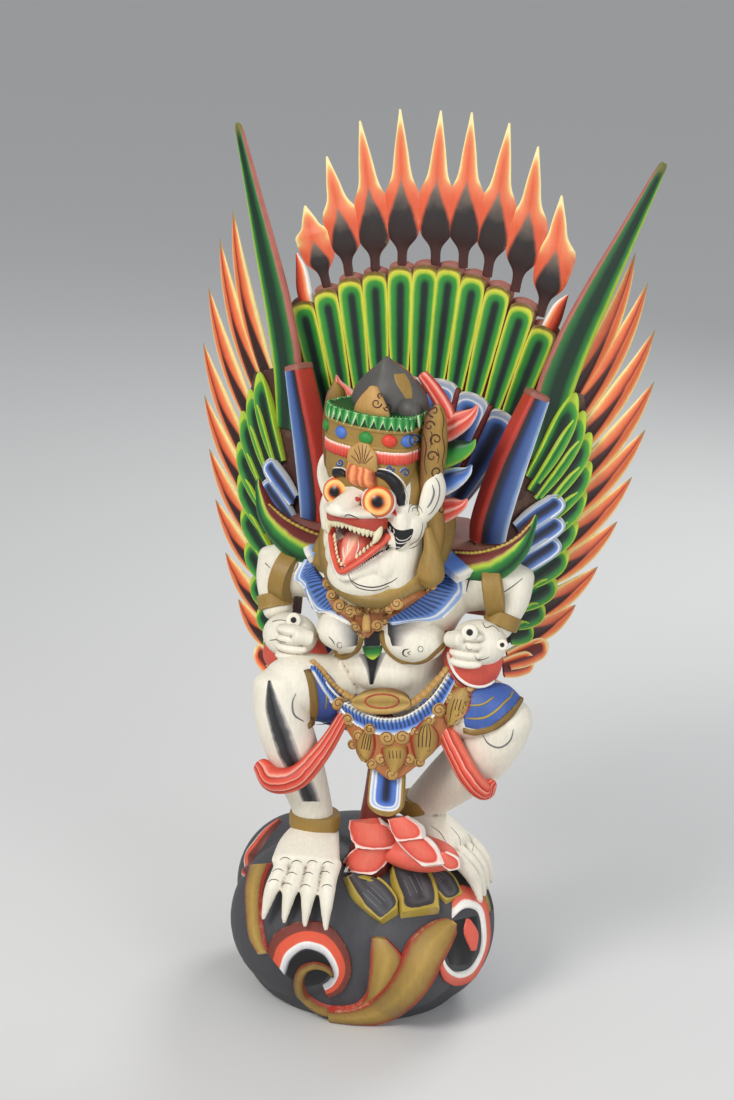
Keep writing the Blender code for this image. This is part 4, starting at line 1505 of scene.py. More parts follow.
FEATHER = BandPaint("fan feather paint", GREEN, 0.5, 0.12, 0.5, 0.4, reads="border", closes=0.84, waver=0.04,
    stops=((0.0, srgb(28, 34, 34)), (0.2, srgb(24, 48, 38)), (0.42, GREEN), (0.66, srgb(64, 148, 54)),
        (0.78, LIME), (0.9, srgb(214, 208, 70)), (0.97, srgb(120, 96, 40))))
PETAL = BandPaint("blue petal paint", BLUE, 0.5, 0.12, 0.5, 0.4, reads="border", closes=0.8,
    stops=((0.0, srgb(34, 36, 46)), (0.26, srgb(44, 56, 90)), (0.44, srgb(70, 104, 170)),
        (0.62, srgb(104, 138, 196)), (0.72, WHITE), (0.78, srgb(160, 174, 196)), (0.9, srgb(150, 166, 190)),
        (1.0, srgb(206, 204, 200))))
FLAME = BandPaint("flame paint", ORANGE, 0.5, 0.12, 0.5, 0.4, reads="border", closes=0.7, waver=0.05,
    stops=((0.0, srgb(214, 92, 58)), (0.3, srgb(218, 112, 74)), (0.62, srgb(222, 134, 90)),
        (0.76, srgb(226, 172, 104)), (0.9, CREAM), (1.0, CREAM)), border_from=(0.42, 0.58), root_width=1.56,
    root_slope=2.7,
    root=((0.0, srgb(70, 30, 26)), (0.2, srgb(46, 30, 28)), (0.36, srgb(46, 42, 42)),
        (0.56, srgb(132, 116, 102))))
HOOK = BandPaint("hook paint", ORANGE, 0.5, 0.12, 0.5, 0.4,
    stops=((0.0, WHITE), (0.14, WHITE), (0.24, PEACH), (0.45, srgb(214, 84, 48)), (0.8, srgb(170, 50, 34)),
        (1.0, MAROON)))
POST = BandPaint("post paint", BLUE, 0.5, 0.12, 0.5, 0.4,
    stops=((0.0, srgb(186, 190, 200)), (0.06, WHITE), (0.12, SKY), (0.24, srgb(84, 112, 164)),
        (0.5, srgb(56, 84, 142)), (0.62, NAVY), (0.72, srgb(34, 34, 40)), (0.82, srgb(40, 30, 32)),
        (0.85, srgb(168, 48, 36)), (1.0, srgb(184, 58, 44))), waver=0.02)
BLADE = BandPaint("green blade paint", GREEN, 0.5, 0.12, 0.5, 0.4,
    stops=((0.0, LIME), (0.1, LIME), (0.2, GREEN), (0.38, srgb(14, 46, 28)), (0.66, srgb(14, 44, 28)),
        (0.84, srgb(30, 96, 46)), (0.93, srgb(60, 110, 50)), (0.96, ROSE), (1.0, srgb(176, 104, 92))),
    tip=srgb(110, 110, 50), tip_reach=0.06, waver=0.02)


@dataclass
class Wing:
    """One wing: a board under two rows of quills, with its post, its long blade and its tenon."""

    side: Side
    node: str
    slot: str
    spread: tuple[float, float]
    seat: tuple[float, float, float] = (88.0, 21.0, 490.0)
    sweep_deg: float = 33.0
    thickness: float = 24.0
    tenon: tuple[float, float, float] = (30.0, 18.0, 39.6)
    spread_from: float = 290.0
    long_half: float = 13.4
    long_y: float = 5.0
    short_half: float = 12.6
    short_y: float = -6.0
    long_quills: tuple = ((150, 290, 66, 190), (168, 258, 61, 180), (182, 207, 56, 160), (187, 150, 51, 145),
                          (182, 97, 46, 130), (171, 44, 42, 115), (158, -6, 37, 100), (139, -57, 34, 84),
                          (116, -100, 30, 66), (86, -142, 22, 46), (70, -160, 14, 34))
    short_quills: tuple = ((88, 142, 66, 96), (100, 122, 61, 96), (110, 98, 56, 86), (113, 66, 51, 76),
                           (110, 34, 45, 68), (103, 0, 40, 60), (95, -34, 36, 52), (84, -66, 33, 44),
                           (72, -95, 28, 34), (60, -118, 22, 26))

    def place(self) -> Matrix:
        """The board's frame: x outwards, -y out of its painted face, z up.

        Returns:
            The frame in millimetres.
        """
        turn = math.radians(self.sweep_deg)
        side = self.side.value
        out = (side * math.cos(turn), math.sin(turn))
        back = (-side * math.sin(turn), math.cos(turn))
        x, y, z = self.seat
        return Matrix(((out[0], back[0], 0, side * x), (out[1], back[1], 0, y), (0, 0, 1, z), (0, 0, 0, 1)))

    def spread_out(self, x: float, z: float) -> tuple[float, float]:
        """Spread a point as this wing's quills are.

        Args:
            x: Along the board.
            z: Above the yoke.

        Returns:
            The spread point.
        """
        return x * self.spread[0], self.spread_from + (z - self.spread_from) * self.spread[1]

    def quill_line(self, tip: tuple, degrees: float, length: float, curl: float, count: int) -> list:
        """Centre line of a quill.

        Args:
            tip: Its tip.
            degrees: The way it points.
            length: Its length.
            curl: How far it turns on the way.
            count: Points in it.

        Returns:
            (x, z) from root to tip.
        """
        points = [tip]
        part = length / (count - 1)
        for i in range(count - 1):
            turn = math.radians(degrees + curl * (0.5 - (i + 0.5) / (count - 1)))
            x, z = points[-1]
            points.append((x - part * math.cos(turn), z - part * math.sin(turn)))
        return points[::-1]

    def quills(self) -> list[tuple[Paint, Shape]]:
        """Carve both rows of quills with the plume tree.

        Returns:
            Each paint with its blades.
        """
        long_row, blunt_row = Plumes(QUILL, RIDGED, 30), Plumes(BLUNT, TROUGH, 24)
        for i, (x, z, degrees, length) in enumerate(self.long_quills):
            blunt = i >= len(self.long_quills) - 2
            widths = (0.8, 1.0, 1.0, 0.85) if blunt else (0.7, 0.95, 1.0, 0.86, 0.52, 0.06)
            line = self.quill_line(self.spread_out(x, z), degrees, length, 12 if blunt else 26, len(widths))
            path = [(a, self.long_y, b, self.long_half * w) for (a, b), w in zip(line, widths)]
            (blunt_row if blunt else long_row).grow(path, 0.7 if blunt else 0.9)
        short_row = Plumes(COVERT, TROUGH, 26)
        for x, z, degrees, length in self.short_quills:
            line = self.quill_line(self.spread_out(x, z), degrees, length, 18, 4)
            widths = (0.75, 1.0, 1.04, 0.8)
            path = [(a, self.short_y, b, self.short_half * w) for (a, b), w in zip(line, widths)]
            short_row.grow(path, 0.6)
        return [(row.finish, row.shape()) for row in (long_row, blunt_row, short_row)]

    def build(self) -> bpy.types.Object:
        """Build the wing.

        Returns:
            The piece.
        """
        place = self.place()
        piece = Piece(self.node + "_carved")
        for finish, shape in self.quills():
            piece.add(finish, shape.moved(place))
        outer = [self.spread_out(*p)
                 for p in ((56, -126), (84, -62), (106, 10), (112, 82), (100, 138), (74, 148))]
        outline = [(-15, 0.8), (24, 0.8), (24, -40), (28, -110), *outer, (46, 120), (10, 70)]
        piece.add(BOARD, board(outline, -2.0, 0.4 * self.thickness).moved(place))
        piece.add(ROSE_PAINT, tenon_of(self.tenon, 6).moved(place))
        post = ((0, 0, 1.4, 17, 12), (2, 0, 24, 18, 13), (14, 0, 70, 17, 13), (28, 0, 112, 14, 13),
            (41, 0, 148, 11, 12))
        piece.add(POST, tube(post, 32, 8, dome=0, power=5).moved(place))
        piece.add(ROSE_PAINT,
            tube(((40, 0, 147, 11.2, 12.2), (41.5, 0, 151, 11, 12)), 28, 4, dome=0.2, power=5).moved(place))
        blade = ((52, 0, 84, 15, 5), (58, 0, 146, 19, 6), (74, -1, 200, 18, 6), (96, -1, 252, 15, 5.5),
                 (122, 0, 308, 10, 4.5), (150, 1, 368, 5, 3), (155, 1, 378, 2.4, 2))
        piece.add(BLADE, tube(blade, 28, 10, dome=0.3, power=4).moved(place))
        for x, z in ((62, 36), (64, 14), (62, -8)):
            petal = Plumes(PETAL, TROUGH, 24)
            petal.grow([(x - 34, -8, z - 22, 9), (x - 18, -9, z - 10, 12), (x + 2, -9, z + 3, 12),
                (x + 9, -8, z + 12, 10)], 0.7)
            piece.add(PETAL, petal.shape().moved(place))
        made = piece.build(self.node)
        return made


@dataclass
class TailFan:
    """The tail fan: feathers round a ring of petals, under a crest of flames."""

    seat: tuple[float, float, float] = (0.0, 80.0, 490.0)
    tenon: tuple[float, float, float] = (56.0, 16.0, 45.6)
    radiate_from: float = -205.0
    crest_flatness: float = 0.7
    feathers: tuple = ((-132, 210), (-108, 225), (-83, 239), (-57.5, 248), (-31, 256), (-5, 260), (19.5, 261),
                       (45, 255.5), (71, 246.5), (97, 232), (120, 211.5))
    spikes: tuple = ((-135, 306), (-115, 357), (-83, 395), (-43, 410), (-2, 412), (29, 413), (67, 406),
        (97, 386), (124, 341))
    hearts: tuple = ((-124, 275), (-96, 295), (-64, 303), (-34, 312), (0, 317), (30, 319), (61, 315),
        (93, 303), (123, 279))
    stems: tuple = ((-107, 226), (-85, 240), (-58, 247), (-31, 256), (3, 260), (31, 260), (56, 254),
        (85, 242), (112, 220))
    petals: tuple = ((-84, 122), (-49, 138), (-14, 147), (20.5, 148), (55, 137), (89, 121))

    def blades(self, finish: Paint, wider: float, longer: float, depth: float, section: tuple) -> Shape:
        """Carve the feathers.

        Args:
            finish: Their paint.
            wider: How much wider than they are.
            longer: How much longer.
            depth: y of their middle.
            section: Their section.

        Returns:
            The blades.
        """
        row = Plumes(finish, section, 34)
        for x, z in self.feathers:
            away = Vector((x + 5, z - self.radiate_from)).normalized()
            tip = Vector((x, z)) + away * longer
            line = [tip - away * d for d in (150, 80, 40, 12, 0)]
            widths = (6.8, 11.4, 13.2, 13.4, 12.4)
            row.grow([(p.x, depth, p.y, w + wider) for p, w in zip(line, widths)], 0.84)
        return row.shape()

    def crest(self) -> Shape:
        """Carve the flames, which join their neighbours at the hips.

        Returns:
            The flames.
        """
        flames = Plumes(FLAME, LEAFY, 44)
        for foot, heart, tip in zip(self.stems, self.hearts, self.spikes):
            foot, heart, tip = (Vector(p) for p in (foot, heart, tip))
            path = [(foot, 5), (foot.lerp(heart, 0.3), 6), (foot.lerp(heart, 0.56), 16), (heart, 19.5),
                (heart.lerp(tip, 0.16), 17.5), (heart.lerp(tip, 0.34), 10.5), (heart.lerp(tip, 0.62), 6.6),
                (tip, 0.9)]
            flames.grow([(p.x, 0, p.y, w) for p, w in path])
        made = flames.shape()
        made.points[:, 1] *= self.crest_flatness
        return made

    def build(self) -> bpy.types.Object:
        """Build the fan.

        Returns:
            The piece.
        """
        place = Matrix.Translation(self.seat)
        piece = Piece("tail_fan_carved")
        right = [(28, 0.8), (46, 34), (84, 90), (122, 118), (134, 168), (126, 196), (104, 214), (80, 228),
            (54, 238), (27, 245), (0, 247)]
        outline = right + [(-x, z) for x, z in right[-2::-1]]
        piece.add(ROSE_PAINT, board(outline, -3.6, 6.0).moved(place))
        piece.add(ROSE_PAINT, tenon_of(self.tenon, 8).moved(place))
        piece.add(ROSE_PAINT,
            tube(((0, 0, 1.2, 30, 9), (0, 0, 30, 26, 9), (0, 2, 70, 20, 9)), dome=0).moved(place))
        piece.add(ROSE_PAINT, self.blades(ROSE_PAINT, 0.8, 4.5, 4.0, LEAFY).moved(place))
        piece.add(FEATHER, self.blades(FEATHER, 0, 0, -5.0, TROUGH).moved(place))
        petals = Plumes(PETAL, TROUGH, 32)
        foot = Vector((3, -60))
        for x, z in self.petals:
            tip = Vector((x, z))
            line = [tip.lerp(foot, s) for s in (0.56, 0.36, 0.14, 0)]
            petals.grow([(p.x, -10.0, p.y, w) for p, w in zip(line, (10, 15.5, 19.5, 18.8))], 0.88)
        piece.add(PETAL, petals.shape().moved(place))
        for (x, z), (after, top) in zip(self.petals, self.petals[1:]):
            end = Vector(((x + after) / 2, (z + top) / 2 - 3))
            inner = end.lerp(foot, 0.5)
            middle = end.lerp(foot, 0.22)
            line = [(inner.x, -12, inner.y, 2, 4), (middle.x, -13, middle.y, 3.4, 5),
                (end.x, -13, end.y, 3.2, 4)]
            piece.add(MAROON_PAINT, tube(line, 14).moved(place))
        for path in (((-124, 0, 200, 7, 5), (-131, 0, 220, 8, 5), (-135, 0, 240, 6, 4), (-141, 0, 257, 1, 1)),
                     ((118, 0, 200, 7, 5), (125, 0, 216, 8, 5), (131, 0, 232, 6, 4), (138, 0, 244, 1, 1))):
            leaf = tube(path, 20, 8)
            if path[0][0] > 0:
                leaf.across = -leaf.across
            piece.add(HOOK, leaf.moved(place))
        for sign in (1, -1):
            hook = ((124, 0, 190, 5, 5), (137, 0, 176, 8, 6), (143, 0, 150, 9, 6), (139, 0, 128, 8, 6),
                (150, 0, 108, 3, 4))
            piece.add(ROSE_PAINT, tube(mirrored(hook, sign), 18, 8).moved(place))
        piece.add(FLAME, self.crest().moved(place))
        made = piece.build("tail_fan")
        return made


@dataclass
class Rock:
    """The charcoal boulder with its scrolls, its gold leaf and the cloth that falls over it."""

    foot: tuple[float, float] = (-14.0, 8.0)
    grain: float = 2.2
    skin: Shape = field(init=False)

    def lumps(self) -> list[Shape]:
        """The boulder's forms.

        Returns:
            Closed shapes that overlap.
        """
        profile = ((0, 106, 102), (14, 116, 112), (48, 129, 122), (90, 131, 124), (128, 112, 106),
            (156, 76, 74), (170, 34, 34))
        eggs = (((-48, -48, 86), (88, 86, 84)), ((-84, 34, 84), (72, 70, 76)), ((60, -4, 78), (70, 78, 82)),
                ((44, -54, 72), (64, 62, 64)), ((20, 60, 84), (78, 66, 78)))
        shapes = [turned(profile, self.foot, 64, 4)]
        shapes += [ball(centre, radii, rings=24, sides=40) for centre, radii in eggs]
        return shapes

    def build(self, foot: Shape) -> bpy.types.Object:
        """Build the rock.

        Args:
            foot: The skin of the body that stands on it.

        Returns:
            The piece.
        """
        piece = Piece("rock")
        self.skin = carved(self.lumps(), self.grain, 8)
        self.skin.points[:, 2] = np.maximum(self.skin.points[:, 2], 0.0)
        piece.add(STONE, self.skin)
        self.cloth(piece, foot)
        self.scrolls(piece, surface_tree(self.skin))
        return piece.build()

    def scrolls(self, piece: Piece, ground: BVHTree) -> None:
        """Add the spiral, the gold leaf, the ring, the hook and the crescent.

        Args:
            piece: Where they go.
            ground: The boulder's skin.
        """
        page = ROCK_PAGE
        # Black fills inside the spiral and inside the ring: painted shade standing for the depth of their
        # hollows.
        piece.add(BLACK, page.patch(ground, ((345, 1020), (372, 935), (445, 882), (530, 905), (575, 960)),
            ((400, 1080), (440, 1090), (500, 1080), (540, 1060), (580, 1010)), 0.6), page.patch(ground,
            ((1210, 730), (1160, 860), (1200, 975)), ((1350, 700), (1362, 840), (1310, 975)), 0.5))
        spiral = page.patch(ground, ((245, 905), (290, 800), (420, 738), (560, 752), (650, 850), (690, 980),
            (650, 1090), (560, 1140)), ((340, 1024), (372, 935), (445, 882), (530, 905), (572, 955),
            (588, 1005), (568, 1048), (535, 1072)), 3.0, 22, 3)
        ring = page.patch(ground, ((1215, 582), (1262, 548), (1370, 615), (1402, 750), (1395, 870),
            (1330, 1020), (1240, 1070), (1160, 1040), (1128, 930)), ((1210, 725), (1276, 672), (1345, 690),
            (1366, 790), (1355, 900), (1300, 985), (1225, 1000), (1175, 955), (1158, 900)), 3.0, 16, 3)
        crescent = page.stroke(ground,
            ((326, 208, 2), (262, 258, 8), (198, 336, 11), (152, 424, 9), (132, 500, 3)), 1.2, 2.2)
        piece.add(SPIRAL, spiral, crescent)
        piece.add(RING, ring)
        piece.add(CORAL, page.patch(ground, ((1284, 722), (1270, 800), (1310, 896)),
            ((1300, 722), (1352, 800), (1334, 896)), 2.0))
        tail = page.stroke(ground, ((590, 1020, 1.6), (560, 985, 3.4), (500, 966, 4.2), (436, 990, 5.2),
            (412, 1060, 6.0), (440, 1130, 7.0), (520, 1190, 9.0), (620, 1216, 9.5)), 2.2, 3.4)
        lobes = []
        for lift, first, second in (
                (8.0, ((560, 1236), (700, 1252), (850, 1244), (970, 1186), (1080, 1080), (1150, 950),
                       (1204, 830), (1224, 742)),
                 ((560, 1180), (680, 1176), (790, 1130), (870, 1060), (930, 960), (990, 830), (1100, 745),
                  (1212, 730))),
                (5.0, ((580, 1180), (690, 1176), (764, 1110), (786, 1000), (790, 900), (800, 815)),
                 ((640, 1240), (800, 1200), (880, 1120), (930, 1020), (960, 930), (870, 822)))):
            lobes.append(page.patch(ground, first, second, lift, 20, 3))
        piece.add(LEAF_GOLD, *lobes, tail)
        piece.add(LEAF_GOLD, page.patch(ground, ((165, 440), (140, 560), (145, 700), (160, 820), (215, 915)),
            ((275, 432), (235, 540), (222, 660), (232, 800), (262, 905)), 4.0, 12, 3))
        streak = ((1170, 400, 4), (1280, 452, 6), (1370, 560, 6), (1410, 700, 5), (1424, 850, 2))
        piece.add(DARK_TONGUE, page.stroke(ground, streak, 2.0, 3.0))

    def cloth(self, piece: Piece, foot: Shape) -> None:
        """Add the maroon cloth, the coral scallops and the black tongues.

        Args:
            piece: Where they go.
            foot: The skin of the body that stands on the rock.
        """
        piece.add(MAROON_PAINT, tube(((12, -30, 312, 16, 22), (14, -42, 260, 17, 24), (10, -46, 205, 18, 24),
                                      (4, -50, 150, 24, 26))))
        ground = surface_tree(joined([self.skin, piece.parts[-1][0], foot]))
        piece.add(CORAL, ball((56, -53, 178), (42, 26, 17), rings=20, sides=32))
        fold = surface_tree(ball((66, -50, 190), (66, 34, 60), rings=24, sides=40))
        page = ROCK_PAGE
        for first, second, lift in (
                (((735, 340), (676, 400), (646, 482)), ((870, 340), (864, 420), (792, 494)), 7),
                (((728, 205), (716, 280), (735, 356)), ((836, 196), (890, 260), (884, 350)), 12),
                (((1128, 385), (1150, 435), (1200, 478)), ((1180, 375), (1246, 410), (1256, 466)), 1),
                (((904, 262), (950, 350), (1070, 456)), ((990, 250), (1116, 326), (1180, 446)), 4),
                (((890, 200), (902, 262), (936, 322)), ((980, 186), (1060, 240), (1076, 306)), 8)):
            surface = ground if lift in (7, 12) else fold
            piece.add(CORAL_CLOTH, page.patch(surface, first, second, lift, 14, 3))
        for first, second, lift in (
                (((1080, 490), (1110, 570), (1180, 650)), ((1120, 462), (1210, 500), (1268, 610)), 5),
                (((884, 470), (896, 560), (926, 640), (945, 724)),
                    ((960, 370), (1066, 436), (1134, 560), (1144, 700)), 8),
                (((640, 510), (690, 620), (780, 706), (850, 756)),
                    ((700, 480), (830, 520), (914, 604), (936, 700)), 8)):
            slab = page.patch(ground, first, second, lift, 20, 3)
            piece.add(DARK_CLOTH, slab)
            tree = surface_tree(slab)
            ribs = [between(first[:-1], second[:-1], share, (0.5,) * 3) for share in (0.36, 0.52, 0.66)]
            piece.draw(GREY_LINE, page, tree, ribs, 0.3)


SPIRAL = BandPaint("spiral paint", ORANGE, 0.5, 0.2, 0.6, 0.5, waver=0.02, stops=(
    (0.0, srgb(108, 50, 40)), (0.34, srgb(120, 56, 44)), (0.38, srgb(214, 84, 56)), (0.7, srgb(220, 92, 66)),
    (0.74, WHITE), (0.88, srgb(206, 204, 204)), (1.0, srgb(170, 170, 176))))
RING = BandPaint("ring paint", SALMON, 0.5, 0.2, 0.6, 0.5, waver=0.02,
    stops=((0.0, srgb(120, 56, 44)), (0.12, srgb(206, 84, 62)), (0.6, srgb(224, 110, 90)), (0.68, WHITE),
        (1.0, WHITE)))
CORAL_CLOTH = BandPaint("coral cloth paint", SALMON, 0.5, 0.25, 0.8, 0.6, reads="border", closes=0.6,
    waver=0.05,
    stops=((0.0, srgb(224, 112, 92)), (0.5, SALMON), (0.76, srgb(206, 74, 58)), (0.84, srgb(246, 206, 196)),
        (1.0, WHITE)))
DARK_CLOTH = BandPaint("charcoal cloth paint", CHARCOAL, 0.5, 0.2, 0.6, 0.5, reads="border", closes=0.74,
    waver=0.03,
    stops=((0.0, CHARCOAL), (0.4, srgb(84, 84, 86)), (0.6, CHARCOAL), (0.74, srgb(50, 50, 52)), (0.79, OCHRE),
        (1.0, OCHRE)))
DARK_TONGUE = BandPaint("charcoal tongue paint", CHARCOAL, 0.5, 0.2, 0.6, 0.5, stops=(
    (0.0, OCHRE), (0.14, OCHRE), (0.24, CHARCOAL), (0.8, CHARCOAL), (0.88, OCHRE), (1.0, OCHRE)))


@dataclass
class Body:
    """The white body: trunk, arms akimbo, legs and claws, and what lies on its skin."""

    grain: float = 2.4
    lean: float = 7.0
    skin: Shape = field(init=False)

    def trunk(self) -> list[Shape]:
        """Hips, belly, chest, neck and breasts.

        Returns:
            Closed shapes that overlap.
        """
        spine = ((14, 4, 294, 56, 40), (13, 2, 314, 68, 48), (10, -2, 340, 64, 48), (8, -8, 362, 58, 48),
                 (4, -12, 386, 62, 50), (1, -14, 412, 74, 54), (0, -12, 436, 84, 54), (0, -8, 456, 82, 48),
                 (-1, -14, 474, 58, 42), (-3, -28, 494, 42, 38), (-5, -42, 516, 38, 36))
        shapes = [tube(spine, 44)]
        shapes += [ball((side * 34 + 3, -50, 402), (32, 27, 22), rings=20, sides=36) for side in (1, -1)]
        shapes.append(ball((6, -42, 362), (36, 20, 24)))
        return shapes

    def arm(self, side: Side) -> list[Shape]:
        """One arm, from shoulder to wrist.

        Args:
            side: Which.

        Returns:
            Closed shapes that overlap.
        """
        s = side.value
        lift = self.lean * s
        upper = ((76, -4, 448 + lift / 2, 28), (100, -6, 450 + lift, 26), (122, 0, 456 + lift, 20))
        lower = ((124, 2, 460 + lift, 18), (122, -8, 436 + lift, 18), (112, -22, 408 + lift, 15))
        return [tube(mirrored(upper, s), 30), tube(mirrored(lower, s), 26)]

    def legs(self) -> list[Shape]:
        """Both legs with their feet.

        Returns:
            Closed shapes that overlap.
        """
        limbs = (
            ((-26, 0, 316, 36), (-52, -34, 332, 35), (-74, -66, 344, 31), (-88, -80, 344, 27)),
            ((-90, -80, 348, 27), (-86, -84, 318, 27), (-76, -80, 286, 27, 25), (-64, -72, 250, 24),
             (-56, -64, 220, 21), (-51, -60, 196, 20)),
            ((34, 0, 318, 36), (66, -12, 328, 36), (100, -28, 334, 33), (130, -36, 334, 26)),
            ((134, -36, 334, 26), (122, -30, 306, 29, 26), (98, -16, 270, 30, 26), (70, 0, 236, 26, 24),
             (44, 10, 206, 20)),
        )
        shapes = [tube(limb, 34) for limb in limbs]
        shapes.append(tube(((-50, -56, 184, 24, 18), (-49, -84, 182, 31, 14), (-46, -108, 172, 35, 12)), 26,
                           facing=(0, -0.3, 1)))
        shapes.append(tube(((40, 8, 190, 22, 18), (64, 0, 184, 27, 15), (86, -8, 172, 30, 13)), 26,
            facing=(0.4, 0, 1)))
        for base, tip in zip(spaced(-69, -18, 4), spaced(-79, -14, 4)):
            toe = ((base, -100, 174, 8, 8), (base, -116, 164, 8, 8), ((base + tip) / 2, -130, 146, 7, 7),
                   (tip, -135, 118, 2.5, 3))
            shapes.append(tube(toe, 18, facing=(0, -1, 0.4)))
        for across in spaced(-34, 16, 4):
            toe = ((76, across, 176, 8, 8), (96, across - 2, 168, 8, 8), (112, across - 4, 153, 7, 7),
                   (122, across - 6, 130, 2.5, 3))
            shapes.append(tube(toe, 18, facing=(0.6, 0, 0.8)))
        return shapes

    def build(self) -> bpy.types.Object:
        """Build the body.

        Returns:
            The piece that stands for the figure's solid.
        """
        piece = Piece("body")
        shapes = self.trunk() + self.legs()
        for side in Side:
            shapes += self.arm(side)
        self.skin = carved(shapes, self.grain, 3)
        piece.add(SKIN, self.skin)
        for side in Side:
            s, lift = side.value, self.lean * side.value
            band = ((97, -16.6, 445.4 + lift, 27.5, 27.5), (113, -13.4, 448.6 + lift, 27.5, 27.5))
            piece.add(GILT, tube(mirrored(band, s), 34, dome=0.1))
            wrist = ((119, -16, 424 + lift, 18, 18), (115, -20, 412 + lift, 18, 18))
            piece.add(GILT, tube(mirrored(wrist, s), 28, dome=0.1))
            self.fist(piece, s, 18 if s > 0 else -2)
        piece.add(BREECHES,
            tube(((-30, -6, 318, 37), (-46, -26, 328, 36), (-54, -36, 333, 33)), 40, dome=0.1))
        piece.add(BREECHES, tube(((40, -2, 320, 37), (66, -12, 328, 36.6), (84, -20, 331, 34)), 40, dome=0.1))
        piece.add(GILT,
            turned(((192, 25, 22), (196, 26, 23), (206, 26, 23), (209, 25, 22)), (-51, -62), 40, 3))
        piece.add(GILT,
            turned(((196, 24, 22), (200, 25.5, 23), (210, 25, 23), (213, 24, 22)), (42, 10), 40, 3))
        for roll in (
                ((-24, -62, 322, 6), (-38, -90, 290, 9), (-58, -108, 264, 12), (-82, -108, 256, 13),
                    (-100, -94, 262, 9)),
                ((58, -34, 330, 9), (80, -52, 304, 10), (102, -60, 274, 11), (118, -52, 256, 10),
                    (124, -44, 262, 6))):
            piece.add(SASH, tube(roll, 26, 8))
        self.marks(piece)
        return piece.build("figure_on_rock")

    def marks(self, piece: Piece) -> None:
        """Paint the shading, the breast bands and the lines on the skin.

        Args:
            piece: Where they go.
        """
        skin = surface_tree(self.skin)
        page = BODY_PAGE
        piece.add(SHADE, page.patch(skin, ((752, 652), (768, 712), (790, 768)),
            ((1010, 650), (930, 690), (850, 780)), 0.3),
            page.patch(skin, ((650, 640), (654, 690), (636, 770)), ((470, 620), (500, 700), (566, 784)), 0.3))
        piece.add(BELLY_SHADE,
            page.patch(skin, ((628, 800), (668, 870), (690, 950)), ((778, 790), (738, 870), (706, 950)), 0.3))
        piece.draw(GILT, page, skin, (
            ((745, 690, 2.6), (752, 750, 3.2), (790, 805, 3.4), (860, 840, 3.4), (940, 835, 3.2),
                (1005, 785, 3.0), (1046, 700, 2.4)),
            ((452, 700, 2.2), (486, 765, 2.8), (540, 802, 3.2), (600, 806, 3.2), (640, 770, 3.2),
                (656, 700, 2.8))), 0.6, 1.6)
        piece.add(BLACK,
            page.patch(skin, ((660, 700), (662, 750), (668, 790)), ((742, 690), (742, 750), (740, 790)), 0.6))
        piece.add(GREEN_LOBE,
            page.patch(skin, ((652, 762), (668, 806), (704, 828)), ((752, 760), (744, 800), (710, 828)), 1.6))
        for a, b in ((925, 780), (552, 762)):
            piece.add(BLACK, page.stroke(skin, oval((a, b), (12, 13), np.linspace(0, 6.28, 9), 0.35)))
        piece.draw(BLACK, page, skin, (
            ((872, 778, 0.3), (848, 786, 0.9), (845, 806, 1.0), (866, 815, 0.3)),
            ((880, 790, 0.3), (866, 798, 0.5), (878, 808, 0.3)),
            ((500, 720, 0.3), (520, 742, 0.8), (530, 760, 0.3)),
            ((1202, 436, 0.4), (1180, 426, 0.9), (1150, 460, 1.0), (1136, 520, 0.4)),
            ((1400, 450, 0.3), (1350, 490, 0.6), (1290, 530, 0.6), (1262, 552, 0.3)),
            ((176, 340, 0.3), (205, 380, 0.6), (235, 410, 0.3))))
        piece.draw(GREY_LINE, page, skin, (
            ((330, 340, 0.4), (346, 346, 1.0), (358, 390, 1.2), (338, 430, 0.4)),
            ((352, 980, 0.4), (334, 1030, 1.2), (344, 1085, 1.4), (390, 1116, 0.5)),
            ((1206, 1168, 0.4), (1236, 1214, 1.3), (1290, 1234, 1.5), (1338, 1202, 1.2), (1354, 1142, 0.4))))
        piece.add(SHIN_SHADE, page.patch(skin,
            ((222, 908), (204, 1050), (232, 1180), (270, 1290), (338, 1400), (376, 1490)),
            ((229, 908), (286, 1040), (342, 1170), (378, 1270), (440, 1400), (474, 1490)), 0.3))
        piece.add(BREECHES_CLOTH, page.patch(skin, ((404, 870), (430, 950), (440, 1040), (424, 1130)),
            ((480, 870), (540, 940), (570, 1040), (520, 1150)), 1.6), page.patch(skin,
            ((1120, 905), (1230, 912), (1330, 925), (1388, 1005)),
            ((1124, 1144), (1180, 1156), (1250, 1146), (1372, 1026)), 1.6))
        piece.draw(GILT, page, skin, (
            ((398, 872, 3.6), (424, 940, 4.8), (434, 1020, 5.0), (424, 1100, 4.4), (404, 1140, 2.6)),
            ((1120, 1150, 3.0), (1180, 1162, 3.8), (1260, 1142, 3.8), (1340, 1080, 3.8), (1384, 1004, 3.0))),
            1.4, 2.4)
        piece.draw(OCHRE_PAINT, page, skin, (
            ((1130, 1096, 0.9), (1220, 1094, 1.5), (1290, 1050, 1.5), (1352, 975, 0.9)),
            ((1130, 1040, 0.9), (1210, 1036, 1.3), (1270, 1000, 1.3), (1316, 940, 0.9)),
            ((452, 900, 0.8), (484, 980, 1.2), (480, 1060, 0.8))), 1.9, 0.3)
        page = ROCK_PAGE
        for a, b in ((342, 410), (402, 426), (484, 426), (565, 432), (305, 470), (376, 488), (462, 488),
                (550, 482), (283, 524), (350, 544), (448, 552), (560, 552)):
            arc = ((a - 32, b + 12, 0.2), (a - 14, b - 3, 0.5), (a + 8, b - 4, 0.5), (a + 28, b + 8, 0.2))
            piece.add(BLACK, page.stroke(skin, arc))
        piece.draw(GREY_LINE, page, skin, (
            ((1095, 235, 0.2), (1150, 275, 0.6), (1185, 330, 0.2)),
            ((1200, 240, 0.2), (1245, 290, 0.5), (1260, 350, 0.2)),
            ((1290, 280, 0.2), (1312, 320, 0.5), (1318, 380, 0.2))))

